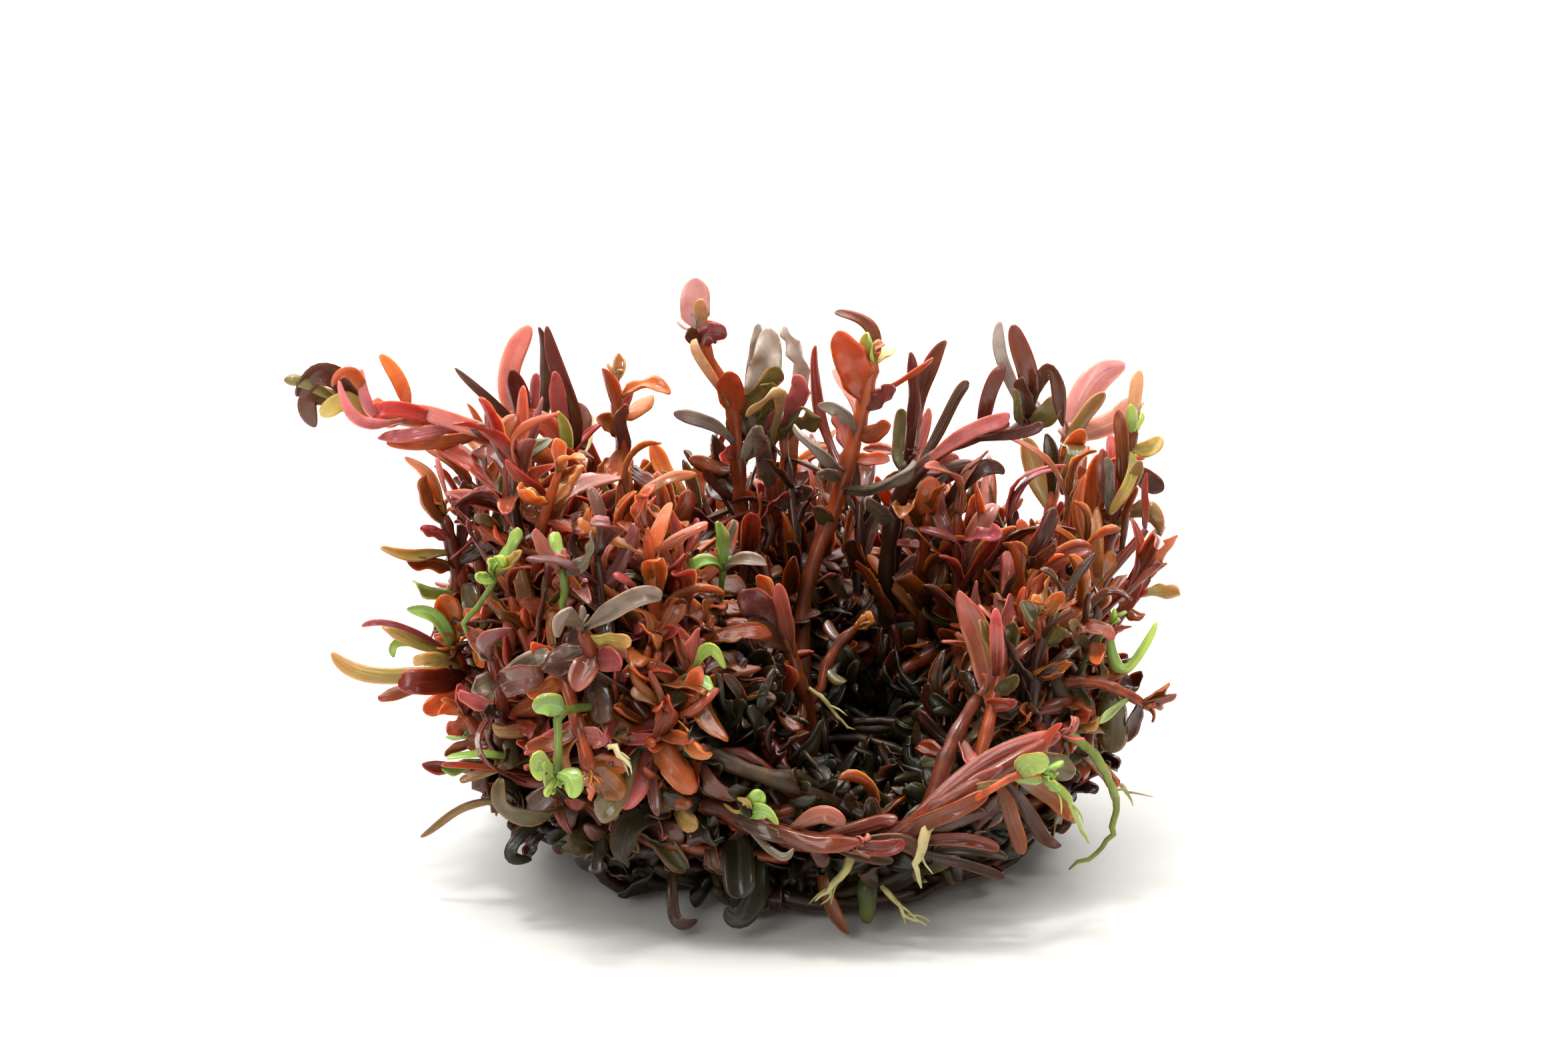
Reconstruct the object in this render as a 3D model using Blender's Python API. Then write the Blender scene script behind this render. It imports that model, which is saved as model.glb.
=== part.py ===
"""Blood red dwarf rotala: one clump of the aquarium plant, as it is lifted out of its growing cup.

The clump stands on its own cup-shaped underside. Its body is a nest of woven lower stems, open in a
hollow at the front right. Round the nest and out of it rise the separate shoots, each a stem with its
leaves grown on as one piece, and a few loose roots hang from the rim.

The tables are in millimetres, and the model is in metres. +Z is up, -Y is the front, and the origin is
on the face that the clump rests on.
"""
import math
import random
from typing import NamedTuple

import bmesh
import bpy
from mathutils import Matrix, Vector
from mathutils.bvhtree import BVHTree

MM = 0.001

# Clearances, in mm
PIECE_GAP = 0.35
STEM_STEP = 4.2
SHORTEST_STEM = 2.5
NEAR_NEST = 1.2
WELD = 0.001
BOX_SLACK = 0.02

# The nest of woven stems, in mm and degrees
NEST_RADIUS_FRONT = 21.5
NEST_RADIUS_SIDE = 25.0
NEST_OUTLINE = [(0.0, 0.70), (2.0, 0.83), (6.0, 0.93), (12.0, 1.0), (18.0, 1.0), (26.0, 0.93)]
NEST_SIDES = 32
LUMP_SIZE = 0.035
LUMP_START = 4.0
# Waves of the lumps: count round the nest, turn in radians per mm of height, turn at the foot
LUMP_WAVES = [(5, 0.25, 0.0), (8, -0.4, 1.0)]
HOLLOW_CENTRE = (5.5, -9.0)
HOLLOW_RADIUS_FLOOR = 7.5
HOLLOW_RADIUS_RIM = 10.5
HOLLOW_FLOOR_Z = 6.5
# Rings of the hollow's floor: share of its radius, height above it
FLOOR_RINGS = [(0.9, 0.3), (0.5, 0.0)]
# Rings of the wall: share of its height up the outside, then (share outward, share of height) over
# the top, then share of height down the inside
OUTER_RINGS = [0.0, 0.1, 0.3, 0.55, 0.8, 0.94]
CREST_RINGS = [(0.75, 1.0), (0.3, 0.97)]
INNER_RINGS = [0.75, 0.35]
SEARCH_REACH = 60.0
SEARCH_STEPS = 30
MOST_WALLS = 12
# Height of the nest wall by the angle round the hollow: 0 is the right, 90 the back, 270 the front
WALL_HEIGHTS = [(0, 20.0), (45, 17.5), (90, 17.0), (135, 19.5), (180, 23.0), (215, 21.0), (240, 15.5),
                (262, 10.0), (290, 9.0), (318, 9.5), (338, 15.0), (360, 20.0)]

# Leaf section, in mm
LEAF_THICKNESS = 0.4
PETIOLE_WIDTH = 0.6
FOOT_INSET = 0.5
ROLL_TRIES = (0, 4, -4, 8, -8, 13)
LEAF_STATIONS = [(0.0, None), (0.45, 1.0), (0.94, 0.5)]
LEAF_BOW = 0.10
VIEW_FACING = Vector((0.0, -0.956, 0.292))

STEM_SIDES = 4

# The ring of shoots behind the nest, which grow by one rule
BACK_SHOOTS = 8
BACK_SEED = 11
BACK_FIRST_ANGLE = 22.0
BACK_LAST_ANGLE = 158.0
BACK_ANGLE_SPREAD = 5.0
BACK_RADIUS = 27.5
BACK_FOOT_Z = 9.0
BACK_FOOT_SPREAD = 4.0
BACK_HEIGHTS = (7.0, 13.0)
BACK_LEANS = (0.3, 1.6)
BACK_SWAY = 3.0
BACK_STEM_RADII = (0.6, 0.4)
BACK_PAIR_PLACES = (0.15, 0.56, 0.98)
BACK_LEAF_LENGTHS = (4.0, 5.5)
BACK_LEAF_WIDTH = 2.3
BACK_LEAF_ROLL = 15.0
BACK_LEAF_OUT = 0.75
BACK_LEAF_UP = 0.65
BACK_COLOURS = ("red", "orange", "maroon")

# Colours: base colour and roughness of each kind of growth
COLOURS = {
    "nest": ((0.10, 0.045, 0.025, 1.0), 0.55),
    "red": ((0.24, 0.055, 0.035, 1.0), 0.35),
    "orange": ((0.38, 0.14, 0.05, 1.0), 0.35),
    "pink": ((0.42, 0.14, 0.15, 1.0), 0.35),
    "maroon": ((0.10, 0.03, 0.03, 1.0), 0.35),
    "green": ((0.30, 0.45, 0.10, 1.0), 0.4),
    "olive": ((0.17, 0.15, 0.05, 1.0), 0.4),
    "root": ((0.62, 0.56, 0.36, 1.0), 0.5),
}


class Shoot(NamedTuple):
    """A stem and its leaves: route points, (foot, tip) radii and leaf rows, all in mm.

    A leaf row is (place along the stem 0..1, tip point, width, roll in degrees from facing the front,
    and for a bent leaf the point that its middle passes through).
    """
    name: str
    route: list
    radii: tuple
    leaves: list
    colour: str = "red"


# The shoots, left to right and back to front
SHOOTS = [
    Shoot("reaching_shoot",
          [(-12.8, 5, 20), (-15.2, 4, 26.2), (-17.4, 2, 31.2), (-20.8, 0, 34), (-24, -1, 35.4),
           (-27.2, -2, 36.6), (-30.2, -3, 37.6), (-33.4, -4, 38.2), (-35, -5, 39)],
          (0.77, 0.44), [
              (0.85, (-32.2, -4, 43.2), 2.0, 50),
              (0.86, (-33.6, -2, 39.4), 2.5, 0),
              (0.80, (-34, -6, 36.6), 2.0, 20),
              (0.92, (-36.2, -7, 42.2), 2.0, 20),
              (0.96, (-34, -3, 41.6), 2.0, 50),
              (1.00, (-39.8, -8, 41.8), 2.0, 0, (-37.6, -8, 41.6)),
              (1.00, (-38.4, -3, 36.8), 2.0, 20),
              (0.56, (-26.2, -6, 38), 2.0, 55),
              (0.67, (-28.6, 3, 33.8), 2.0, 50),
              (0.58, (-24, 4, 36.4), 2.0, 20),
              (0.25, (-18.8, -1, 33.4), 2.3, 0),
          ], "orange"),
    Shoot("pink_blade_shoot",
          [(-20.2, 6, 21), (-20.8, 6, 26.2), (-21.4, 6, 30.2), (-21.4, 6, 33.8)],
          (0.49, 0.38), [
              (0.98, (-21.2, 6, 43), 2.4, 0, (-23.2, 6, 38.4)),
              (0.93, (-21, 9, 42.2), 2.0, 60, (-20, 9, 36.4)),
              (0.91, (-27, 1, 40.8), 2.0, 75, (-23, 2, 37)),
              (0.96, (-22.4, 3, 39.8), 2.0, 50),
              (0.41, (-22.4, 2, 32.6), 2.1, 0),
              (0.39, (-20.2, 1, 32.6), 2.0, 35),
          ], "red"),
    Shoot("dark_blade_shoot",
          [(-19, 9, 18.8), (-19, 9, 24.2), (-18.6, 8, 28), (-18, 8, 30.8)],
          (0.60, 0.44), [
              (0.99, (-19.4, 7, 42.8), 2.0, 45),
              (0.88, (-19.2, 4, 39.6), 2.0, 50),
              (0.81, (-19, 2, 36.8), 2.0, 55),
              (0.95, (-17.4, 11, 35), 2.0, 55),
          ], "red"),
    Shoot("amber_shoot",
          [(-13, 9, 19.4), (-13, 9, 24.2), (-13.4, 8, 28.6), (-13.8, 7, 32.8), (-14.2, 7, 36.4),
           (-14.2, 7, 38)],
          (0.66, 0.38), [
              (0.78, (-15, 5, 39.6), 2.0, 45),
              (0.78, (-12.8, 9, 37.4), 2.0, 45),
              (0.75, (-15.8, 5, 35.2), 2.0, 20),
              (0.69, (-14, 2, 31), 2.4, 0),
              (0.89, (-9.6, 5, 37.4), 2.0, 70, (-11.8, 6, 37.8)),
              (0.85, (-11.2, 11, 35.6), 2.0, 45),
              (0.58, (-13, 3, 37.2), 2.0, 50),
              (0.59, (-10.8, 3, 30), 2.0, 40),
              (0.28, (-10, 6, 30.2), 2.0, 45),
              (0.25, (-17.4, 4, 26.6), 2.0, 45),
          ], "orange"),
    Shoot("copper_leaf_shoot",
          [(-6.8, 12, 17.2), (-7.2, 12, 21.4), (-8, 12, 25)],
          (0.60, 0.44), [
              (0.96, (-11.6, 15, 30.4), 2.0, 25),
              (0.98, (-7.4, 14, 28.6), 2.0, 20),
              (0.84, (-10, 8, 27.6), 2.0, 55),
              (0.61, (-11.8, 7, 25.6), 2.0, 35),
          ], "pink"),
    Shoot("tall_centre_shoot",
          [(-1.6, 3, 13.6), (-2.6, 6, 19.2), (-3.6, 8, 24.4), (-4, 8, 29.2), (-4.2, 8, 32.8),
           (-4.6, 8, 35.6), (-5.4, 8, 37.8), (-6.4, 8, 39.6), (-7, 8, 41.4), (-7.4, 8, 42.4)],
          (0.71, 0.44), [
              (1.00, (-7.8, 8, 46.6), 2.5, 0),
              (0.99, (-6.8, 6, 45.4), 2.0, 55),
              (0.94, (-5.2, 10, 41.4), 2.0, 35),
              (0.95, (-7.8, 5, 43), 2.0, 55),
              (0.75, (-4.8, 3, 40), 2.3, 0),
              (0.64, (-9.2, 5, 35.8), 2.0, 65, (-6.6, 5, 35.6)),
              (0.58, (-8, 10, 30.2), 2.0, 50),
              (0.49, (-6.8, 11, 29.8), 2.1, 0),
              (0.60, (-1.8, 6, 33.8), 2.0, 45),
          ], "orange"),
    Shoot("grey_crumpled_shoot",
          [(-0.2, 9, 18.2), (-0.8, 10, 22.6), (-1.2, 10, 27.4), (-1.4, 10, 31.6)],
          (0.55, 0.44), [
              (0.98, (-0.8, 9, 42), 3.1, 0),
              (1.00, (-2.4, 10, 42), 2.0, 50, (-2.8, 10, 37.8)),
              (0.98, (0.2, 8, 42), 2.0, 50, (0, 8, 38.4)),
              (0.97, (-2.6, 6, 38.6), 2.2, 0),
              (0.98, (-0.8, 5, 39.4), 2.0, 45),
              (0.47, (-0.2, 12, 35.6), 2.0, 50, (1, 12, 29.8)),
              (0.60, (2.2, 6, 28.6), 2.0, 45),
              (0.69, (-2.8, 4, 31.4), 2.0, 35),
          ], "red"),
    Shoot("long_stem",
          [(2, -3, 9.8), (1.4, 0, 14.6), (1.4, 2, 19.6), (2.4, 3, 23.8), (3.8, 4, 27.2),
           (4.8, 4, 30.6), (5.8, 4, 34.4), (6.6, 4, 37.6), (7.2, 4, 40.4)],
          (0.77, 0.49), [
              (0.90, (4.2, 2, 43.6), 2.9, 0),
              (0.84, (4, 8, 38.8), 2.0, 35),
              (0.70, (2.4, 8, 40.8), 2.0, 60, (3, 8, 35)),
              (0.81, (2.4, 1, 37.4), 2.0, 70, (4.6, 1, 37)),
              (0.99, (4, 5, 44.4), 2.0, 60, (6.6, 5, 42.8)),
              (0.75, (4, 6, 35.8), 2.0, 55),
              (0.71, (0.6, 0, 36.2), 2.0, 65, (2.6, 0, 33.8)),
              (0.89, (9, 2, 38.4), 2.0, 25),
              (0.81, (8.6, 2, 35.4), 2.0, 0),
              (0.74, (8.6, 5, 31.8), 2.0, 45),
              (0.66, (10.4, 1, 32.8), 2.0, 65, (8.2, 0, 31.4)),
              (0.92, (12.2, 5, 40.4), 2.0, 70, (9.4, 5, 38.6)),
              (0.56, (2.8, -1, 29.4), 2.0, 35),
          ], "orange"),
    Shoot("dark_pair_shoot",
          [(9, 9, 19.4), (9.4, 8, 24.4), (9.8, 7, 28.2), (10.2, 7, 31)],
          (0.55, 0.44), [
              (0.99, (10.2, 6, 40.8), 2.0, 50),
              (0.94, (13.4, 8, 41.2), 2.0, 50),
              (0.89, (9.4, 10, 34.8), 2.0, 20),
              (0.84, (12, 11, 34.6), 2.0, 50),
              (0.62, (7.6, 4, 30.6), 2.0, 50),
          ], "maroon"),
    Shoot("arching_right_shoot",
          [(8.4, 5, 19.4), (8.6, 4, 25), (9.6, 3, 29.4), (11.4, 2, 32.2), (13.6, 2, 33.8),
           (16.2, 2, 34.8), (18.6, 2, 35), (20, 2, 36)],
          (0.77, 0.44), [
              (0.99, (18.8, 4, 43.4), 2.0, 30),
              (0.70, (18, -1, 38.2), 2.0, 25),
              (0.81, (18, 5, 39.8), 2.0, 20),
              (1.00, (22, 0, 36), 2.0, 40, (22.8, 0, 45.6)),
              (0.70, (15.4, 5, 38.2), 2.0, 55),
              (0.53, (14.4, 5, 31.8), 2.1, 0),
              (0.98, (21, 6, 37.2), 2.0, 50),
              (0.84, (15.2, 6, 33.2), 2.0, 50),
              (0.37, (6.8, 0, 30), 2.0, 50),
          ], "orange"),
    Shoot("brown_bow_shoot",
          [(13.6, 6, 19.2), (13, 5, 23.6), (12.8, 4, 27.6)],
          (0.55, 0.44), [
              (0.98, (18, 2, 31.4), 2.0, 20, (15.8, 2, 31.6)),
              (0.92, (10.8, 6, 29.2), 2.0, 50),
              (0.74, (15, 8, 27.6), 2.0, 0),
              (0.60, (10, 0, 27.4), 2.0, 55),
          ], "maroon"),
    Shoot("far_pink_shoot",
          [(21.6, 12, 17.2), (22.2, 14, 22), (23.2, 16, 26.2), (24, 17, 29.8)],
          (0.55, 0.38), [
              (0.99, (29.4, 21, 35.6), 2.4, 0),
              (0.97, (29.4, 18, 34), 2.0, 40),
              (0.89, (25.4, 13, 32.4), 2.0, 20),
              (0.66, (22, 12, 32), 2.0, 50),
              (0.55, (20.6, 18, 30), 2.1, 0),
              (0.68, (23.4, 10, 30.2), 2.0, 20),
          ], "orange"),
    Shoot("tall_right_shoot",
          [(25.4, 3, 16), (26, 3, 21.2), (27, 3, 26), (28, 3, 30), (28.4, 3, 33.2), (28.6, 3, 35.2)],
          (0.77, 0.44), [
              (0.99, (29.2, 3, 40), 2.0, 50),
              (0.93, (28, 1, 37), 2.0, 50),
              (0.91, (31, 2, 34.6), 2.0, 25),
              (0.70, (27, 0, 37.6), 2.0, 45),
              (0.60, (26, 1, 33.6), 2.0, 35),
              (0.52, (24.4, 4, 31.2), 2.0, 50),
              (0.52, (25.8, 6, 28.8), 2.0, 40),
              (0.81, (31.2, 4, 29), 2.0, 40),
              (0.53, (31, 1, 26.6), 2.0, 45, (29.4, 1, 28.8)),
          ], "red"),
    Shoot("right_side_shoot",
          [(24.8, -4, 16), (26.4, -3, 19.2), (28.2, -2, 21.4), (29.8, -2, 23.6)],
          (0.60, 0.38), [
              (1.00, (32.2, -1, 27), 2.0, 55),
              (0.78, (32.2, -3, 23), 2.0, 55),
              (0.84, (30, 0, 25.4), 2.0, 35),
              (0.58, (28.8, -6, 25.4), 2.0, 40),
              (0.48, (25, -6, 24), 2.0, 20),
          ], "red"),
    Shoot("hooked_green_leaf_shoot",
          [(23.6, -10, 18), (25, -9, 20.4), (26.2, -9, 22)],
          (0.44, 0.38), [
              (0.97, (29.8, -10, 22.4), 2.0, 55, (27.2, -10, 18.6)),
              (0.60, (25, -13, 20), 2.0, 20),
              (0.50, (22.4, -13, 23), 2.0, 0),
          ], "green"),
    Shoot("right_arm_shoot",
          [(20.4, -11, 16), (21.4, -12, 17.4), (22.8, -12, 18), (25, -12, 18), (27, -12, 17.2),
           (28.8, -12, 16.2)],
          (0.49, 0.38), [
              (0.96, (27.6, -10, 12.2), 2.0, 20),
              (0.71, (26, -12, 12), 2.4, 0),
              (0.42, (23.8, -10, 13.4), 2.5, 0),
          ], "orange"),
    Shoot("rim_runner",
          [(7.2, -23, 8.2), (10.4, -24, 11), (13.6, -24, 13), (16.6, -23, 14.6), (19.4, -22, 16),
           (21.4, -21, 16.8)],
          (0.66, 0.49), [
              (0.50, (12, -25, 11), 2.0, 55),
              (0.75, (18.4, -23, 8.6), 2.0, 50),
              (0.92, (22.2, -20, 13.2), 2.4, 0),
              (0.68, (22, -20, 8.4), 2.0, 35),
          ], "pink"),
    Shoot("rim_green_sprig",
          [(15.4, -26, 13.8), (17.2, -26, 15), (18.6, -26, 15.4), (19.8, -26, 15.4)],
          (0.44, 0.33), [
              (0.65, (20.2, -27, 16.8), 2.0, 50),
          ], "green"),
    Shoot("red_fork_shoot",
          [(11.2, -21, 10.6), (12.6, -19, 14), (14, -17, 16.4), (15.2, -16, 18.2)],
          (0.88, 0.49), [
              (0.64, (14.8, -21, 14), 2.0, 55),
              (0.99, (13.8, -14, 19.6), 2.0, 50),
              (0.42, (10.4, -16, 14), 2.0, 55),
          ], "pink"),
    Shoot("rose_leaf_shoot",
          [(14.2, -19, 11.2), (15.6, -18, 15), (16.4, -16, 17.6), (17, -15, 19.8), (17.4, -14, 21.2)],
          (0.66, 0.38), [
              (0.62, (13.6, -14, 26.4), 2.5, 0),
              (0.76, (15.2, -12, 26.6), 2.0, 70, (15, -12, 22.2)),
              (0.69, (18.2, -17, 20.4), 2.0, 35),
              (0.99, (18, -15, 24.2), 2.0, 0),
              (0.97, (18, -11, 25.2), 2.0, 50),
              (0.99, (16.8, -9, 24.6), 2.0, 50),
              (0.92, (20.2, -12, 21.6), 2.0, 20),
              (0.45, (19, -15, 17), 2.0, 35),
          ], "orange"),
    Shoot("orange_tongue_shoot",
          [(20.6, -12, 19.4), (20.2, -14, 22.8), (20, -15, 24.8)],
          (0.49, 0.44), [
              (0.98, (22, -16, 26.8), 2.0, 50),
              (0.70, (18.4, -17, 26.4), 2.0, 35),
              (0.39, (22.2, -17, 24), 2.0, 25),
          ], "orange"),
    Shoot("front_rim_stem",
          [(-9, -19, 11.4), (-5.4, -22, 11), (-1.6, -24, 10.2), (1.6, -25, 9.4), (5, -26, 9.6)],
          (0.77, 0.66), [
              (0.69, (4.4, -24, 10.4), 2.0, 40),
              (0.42, (-1.6, -21, 11.8), 2.0, 45),
              (0.22, (-4, -18, 11.8), 2.0, 35),
              (0.09, (-6.2, -16, 12.4), 2.0, 35),
              (0.34, (0, -26, 9.2), 2.0, 50),
              (0.80, (3.2, -25, 7.4), 2.0, 20),
          ], "red"),
    Shoot("copper_fall_shoot",
          [(-17.4, -20, 22.2), (-16.8, -22, 20), (-16, -24, 17.8), (-15.2, -25, 15)],
          (0.55, 0.49), [
              (0.94, (-15.4, -26, 14.4), 2.0, 50),
              (0.13, (-20.2, -23, 21), 2.0, 20),
              (0.07, (-19.6, -22, 25), 2.0, 20),
              (0.88, (-12.4, -23, 14.8), 2.4, 0),
              (0.64, (-13.8, -25, 17.8), 2.0, 20),
              (0.58, (-20, -26, 17.2), 2.0, 45),
              (0.94, (-13, -24, 12.4), 2.2, 0),
          ], "orange"),
    Shoot("left_grey_leaf_shoot",
          [(-22.8, -13, 13), (-22.6, -16, 16.8), (-22.8, -18, 20.4), (-23.2, -19, 22.6)],
          (0.55, 0.44), [
              (0.77, (-24.6, -20, 20), 2.0, 45),
              (0.87, (-18.4, -21, 23.6), 2.0, 35),
              (0.97, (-21.6, -21, 25.6), 2.0, 40),
              (0.98, (-25.2, -17, 24.4), 2.0, 45),
              (0.43, (-26, -16, 18.8), 2.0, 55),
              (0.30, (-19.8, -21, 17.2), 2.0, 50),
              (0.34, (-19.6, -20, 19.4), 2.0, 55),
              (0.13, (-21.8, -17, 12.6), 2.0, 20),
          ], "red"),
    Shoot("left_front_shoot",
          [(-14.8, -19, 17.8), (-15, -21, 21.4), (-15.4, -22, 24.4), (-15.8, -22, 26)],
          (0.55, 0.44), [
              (0.95, (-17.6, -25, 26.2), 2.0, 20, (-16.8, -25, 27.8)),
              (0.97, (-9.6, -22, 28.2), 2.0, 0, (-12.4, -23, 28.6)),
              (0.81, (-18.6, -23, 22.8), 2.4, 0),
              (0.74, (-16.2, -25, 21.8), 2.4, 0),
              (0.67, (-12.8, -25, 24.6), 2.2, 0),
              (0.84, (-12.4, -22, 23.6), 2.0, 50),
              (0.56, (-14.2, -24, 18.8), 2.4, 0),
              (0.91, (-12, -24, 25.4), 2.0, 50),
          ], "orange"),
    Shoot("left_back_leaf_shoot",
          [(-26.8, -4, 22.4), (-27, -4, 25.2), (-27.4, -4, 27.4), (-27.8, -4, 29.6)],
          (0.55, 0.44), [
              (0.56, (-32.8, -8, 28.4), 2.0, 50),
              (0.48, (-26, -2, 32), 2.0, 50),
              (0.40, (-23.6, -7, 29), 2.0, 20),
          ], "red"),
    Shoot("violet_left_shoot",
          [(-24.4, 0, 22.8), (-24.8, 0, 26.4), (-25.2, 0, 29.2)],
          (0.49, 0.38), [
              (0.95, (-27.4, 1, 31.4), 2.0, 35),
              (0.86, (-24.2, 3, 32.4), 2.0, 35),
              (0.55, (-22.8, 1, 29.4), 2.0, 35),
          ], "green"),
    Shoot("orange_paddle_shoot",
          [(-26.2, -6, 16.8), (-26.6, -8, 18.6), (-27.2, -9, 20)],
          (0.44, 0.38), [
              (0.97, (-27.6, -10, 24.8), 2.3, 0),
              (0.50, (-29.8, -7, 25.6), 2.0, 75, (-30.2, -7, 24)),
              (0.50, (-36.4, -11, 20), 2.0, 35, (-32.2, -11, 17.8)),
              (0.17, (-31, -10, 17.4), 2.4, 0),
              (0.14, (-29.4, -9, 14.6), 2.2, 0),
          ], "orange"),
    Shoot("lower_left_shoot",
          [(-22.4, -8, 7.6), (-23.8, -9, 10.4), (-25, -10, 13), (-26.2, -10, 14.6)],
          (0.60, 0.38), [
              (0.99, (-28.2, -11, 15), 2.0, 50),
              (0.87, (-27.6, -10, 13), 2.0, 45),
              (0.08, (-25.8, -12, 10.2), 2.0, 50),
          ], "orange"),
    Shoot("tan_blade_shoot",
          [(-18.8, -15, 6.2), (-20.4, -14, 7.2), (-22, -13, 8)],
          (0.60, 0.44), [
              (0.99, (-29.6, -14, 5.6), 2.0, 60, (-25.8, -14, 8)),
              (0.50, (-22, -14, 4.8), 2.0, 35),
              (0.68, (-18.2, -19, 11.8), 2.2, 0),
          ], "olive"),
    Shoot("left_green_plantlet",
          [(-25.2, -17, 24), (-24.2, -18, 26.4), (-23.2, -18, 28), (-22.8, -18, 29)],
          (0.33, 0.38), [
              (1.00, (-21, -17, 32.6), 2.0, 45),
              (0.94, (-24.2, -20, 29.6), 2.0, 50),
          ], "green"),
    Shoot("second_green_plantlet",
          [(-17.6, -16, 25.2), (-17.4, -17, 27.4), (-17.6, -17, 29.2)],
          (0.44, 0.44), [
              (0.97, (-19.8, -17, 32.4), 2.0, 40),
              (0.95, (-18.2, -15, 31.6), 2.0, 35),
              (0.92, (-15.2, -18, 32.6), 2.0, 70, (-15.4, -18, 30.2)),
          ], "green"),
    Shoot("bright_green_sprig",
          [(-17.2, -25, 20.2), (-17.6, -26, 18.8), (-17.6, -27, 17), (-17.8, -27, 15.6)],
          (0.44, 0.33), [
              (0.04, (-19.6, -26, 20.8), 2.0, 50),
              (0.98, (-18.8, -28, 15.6), 2.0, 45, (-19.2, -28, 17.2)),
              (0.98, (-16.6, -28, 14.2), 2.0, 40),
              (0.94, (-18.6, -26, 14.6), 2.0, 50),
          ], "green"),
    Shoot("centre_green_fork",
          [(-5.4, -9, 23.8), (-5.2, -10, 26), (-5, -10, 27)],
          (0.38, 0.38), [
              (0.97, (-5.6, -11, 31.2), 2.0, 50),
              (0.97, (-1.6, -12, 28), 2.0, 50, (-3.2, -12, 28.4)),
              (0.94, (-8.4, -11, 24.2), 2.0, 60, (-7, -11, 27.4)),
          ], "green"),
    Shoot("front_green_plantlet",
          [(-6.8, -22, 16.8), (-7, -22, 18.6), (-7.2, -21.6, 20.4), (-7.2, -21, 22.2)],
          (0.38, 0.33), [
              (0.98, (-4.8, -23, 23), 2.0, 50, (-5.8, -23, 24.8)),
              (0.98, (-9, -23, 19.8), 2.0, 20),
              (1.00, (-6.6, -22, 26), 2.0, 40),
          ], "green"),
    Shoot("mauve_centre_shoot",
          [(1.6, -10, 13.6), (0.8, -11, 18.4), (0, -11, 21.2), (-1, -11, 23.8)],
          (0.71, 0.49), [
              (0.79, (-3.6, -14, 26.4), 2.9, 0),
              (0.68, (-1.6, -14, 20.2), 2.7, 0, (-2.8, -14, 22.8)),
              (0.98, (-2.2, -11, 26.8), 2.0, 35),
              (0.55, (-0.6, -14, 27), 2.0, 40),
              (0.42, (-2.6, -14, 19.6), 2.0, 35),
              (0.42, (-3.2, -16, 18.6), 2.0, 50),
              (0.24, (0.4, -14, 15), 2.0, 50),
          ], "orange"),
    Shoot("orange_tip_shoot",
          [(2.2, -8, 15.2), (3.2, -7, 17.6), (4.4, -6, 19.4), (5.6, -6, 20.6)],
          (0.49, 0.38), [
              (0.98, (7, -6, 21.8), 2.0, 50),
              (0.75, (3.4, -4, 20.6), 2.0, 55),
          ], "red"),
]

# Bare roots and stubs: name, (foot, tip) radii, route
ROOTS = [
    ("front_root", (0.60, 0.33),
     [(5.2, -23, 7.8), (4.8, -24, 6.6), (3.6, -24, 5.4), (2.2, -24, 4)]),
    ("rim_root", (0.49, 0.27),
     [(11.4, -24.4, 10.6), (10.8, -25, 9.4), (10.2, -25, 7.6), (10.6, -24, 5.2)]),
    ("floor_root", (0.44, 0.22),
     [(7.4, -23, 4.8), (8.6, -23.6, 3.8), (9.8, -24, 2.4), (11.2, -24, 2)]),
    ("long_green_root", (0.44, 0.27),
     [(22.2, -15, 15), (24.6, -15, 13), (26.2, -14, 9.8), (26.6, -13, 6.6), (25.6, -13, 4.2),
      (23, -14, 2.8)]),
    ("hanging_green_root", (0.44, 0.27),
     [(20.4, -23, 13.6), (22, -23, 12.2), (23, -22, 9.8), (23.8, -22, 8)]),
    ("pale_side_root", (0.27, 0.22),
     [(26.6, -11, 9.2), (27.6, -11, 8.2), (28.4, -11, 7.2)]),
    ("hollow_root", (0.38, 0.27),
     [(1.8, -11, 17.2), (3.2, -11.6, 16.2), (4.4, -12, 14.8), (5.6, -12, 14)]),
    ("left_root", (0.33, 0.27),
     [(-13.8, -26, 17.6), (-12.8, -26.4, 17.2), (-12, -26.4, 16)]),
    ("stem_stub", (0.82, 0.82),
     [(6.2, -21.8, 5), (6.4, -22, 3.4), (6.4, -22, 1.4)]),
]


def clear_scene():
    """Remove every object of the start-up scene."""
    for thing in list(bpy.data.objects):
        bpy.data.objects.remove(thing, do_unlink=True)


def make_material(name, colour):
    """Make one piece's own material from a named colour."""
    base, roughness = COLOURS[colour]
    material = bpy.data.materials.new(name + "_finish")
    material.use_nodes = True
    shader = material.node_tree.nodes["Principled BSDF"]
    shader.inputs["Base Color"].default_value = base
    shader.inputs["Roughness"].default_value = roughness
    shader.inputs["Metallic"].default_value = 0.0
    return material


def interpolate(table, x):
    """Read a value from (x, value) pairs, smoothly between them."""
    for (x0, v0), (x1, v1) in zip(table, table[1:]):
        if x <= x1:
            share = max(0.0, (x - x0) / (x1 - x0))
            eased = share * share * (3 - 2 * share)
            return v0 + (v1 - v0) * eased
    return table[-1][1]


def add_object(name, bm, colour):
    """Turn a bmesh in mm into a named object in metres with its own material."""
    bmesh.ops.recalc_face_normals(bm, faces=bm.faces)
    bmesh.ops.scale(bm, vec=Vector((MM, MM, MM)), verts=bm.verts)
    mesh = bpy.data.meshes.new(name)
    bm.to_mesh(mesh)
    bm.free()
    thing = bpy.data.objects.new(name, mesh)
    bpy.context.scene.collection.objects.link(thing)
    mesh.materials.append(make_material(name, colour))
    mesh.shade_smooth()
    return thing


# The nest


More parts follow.
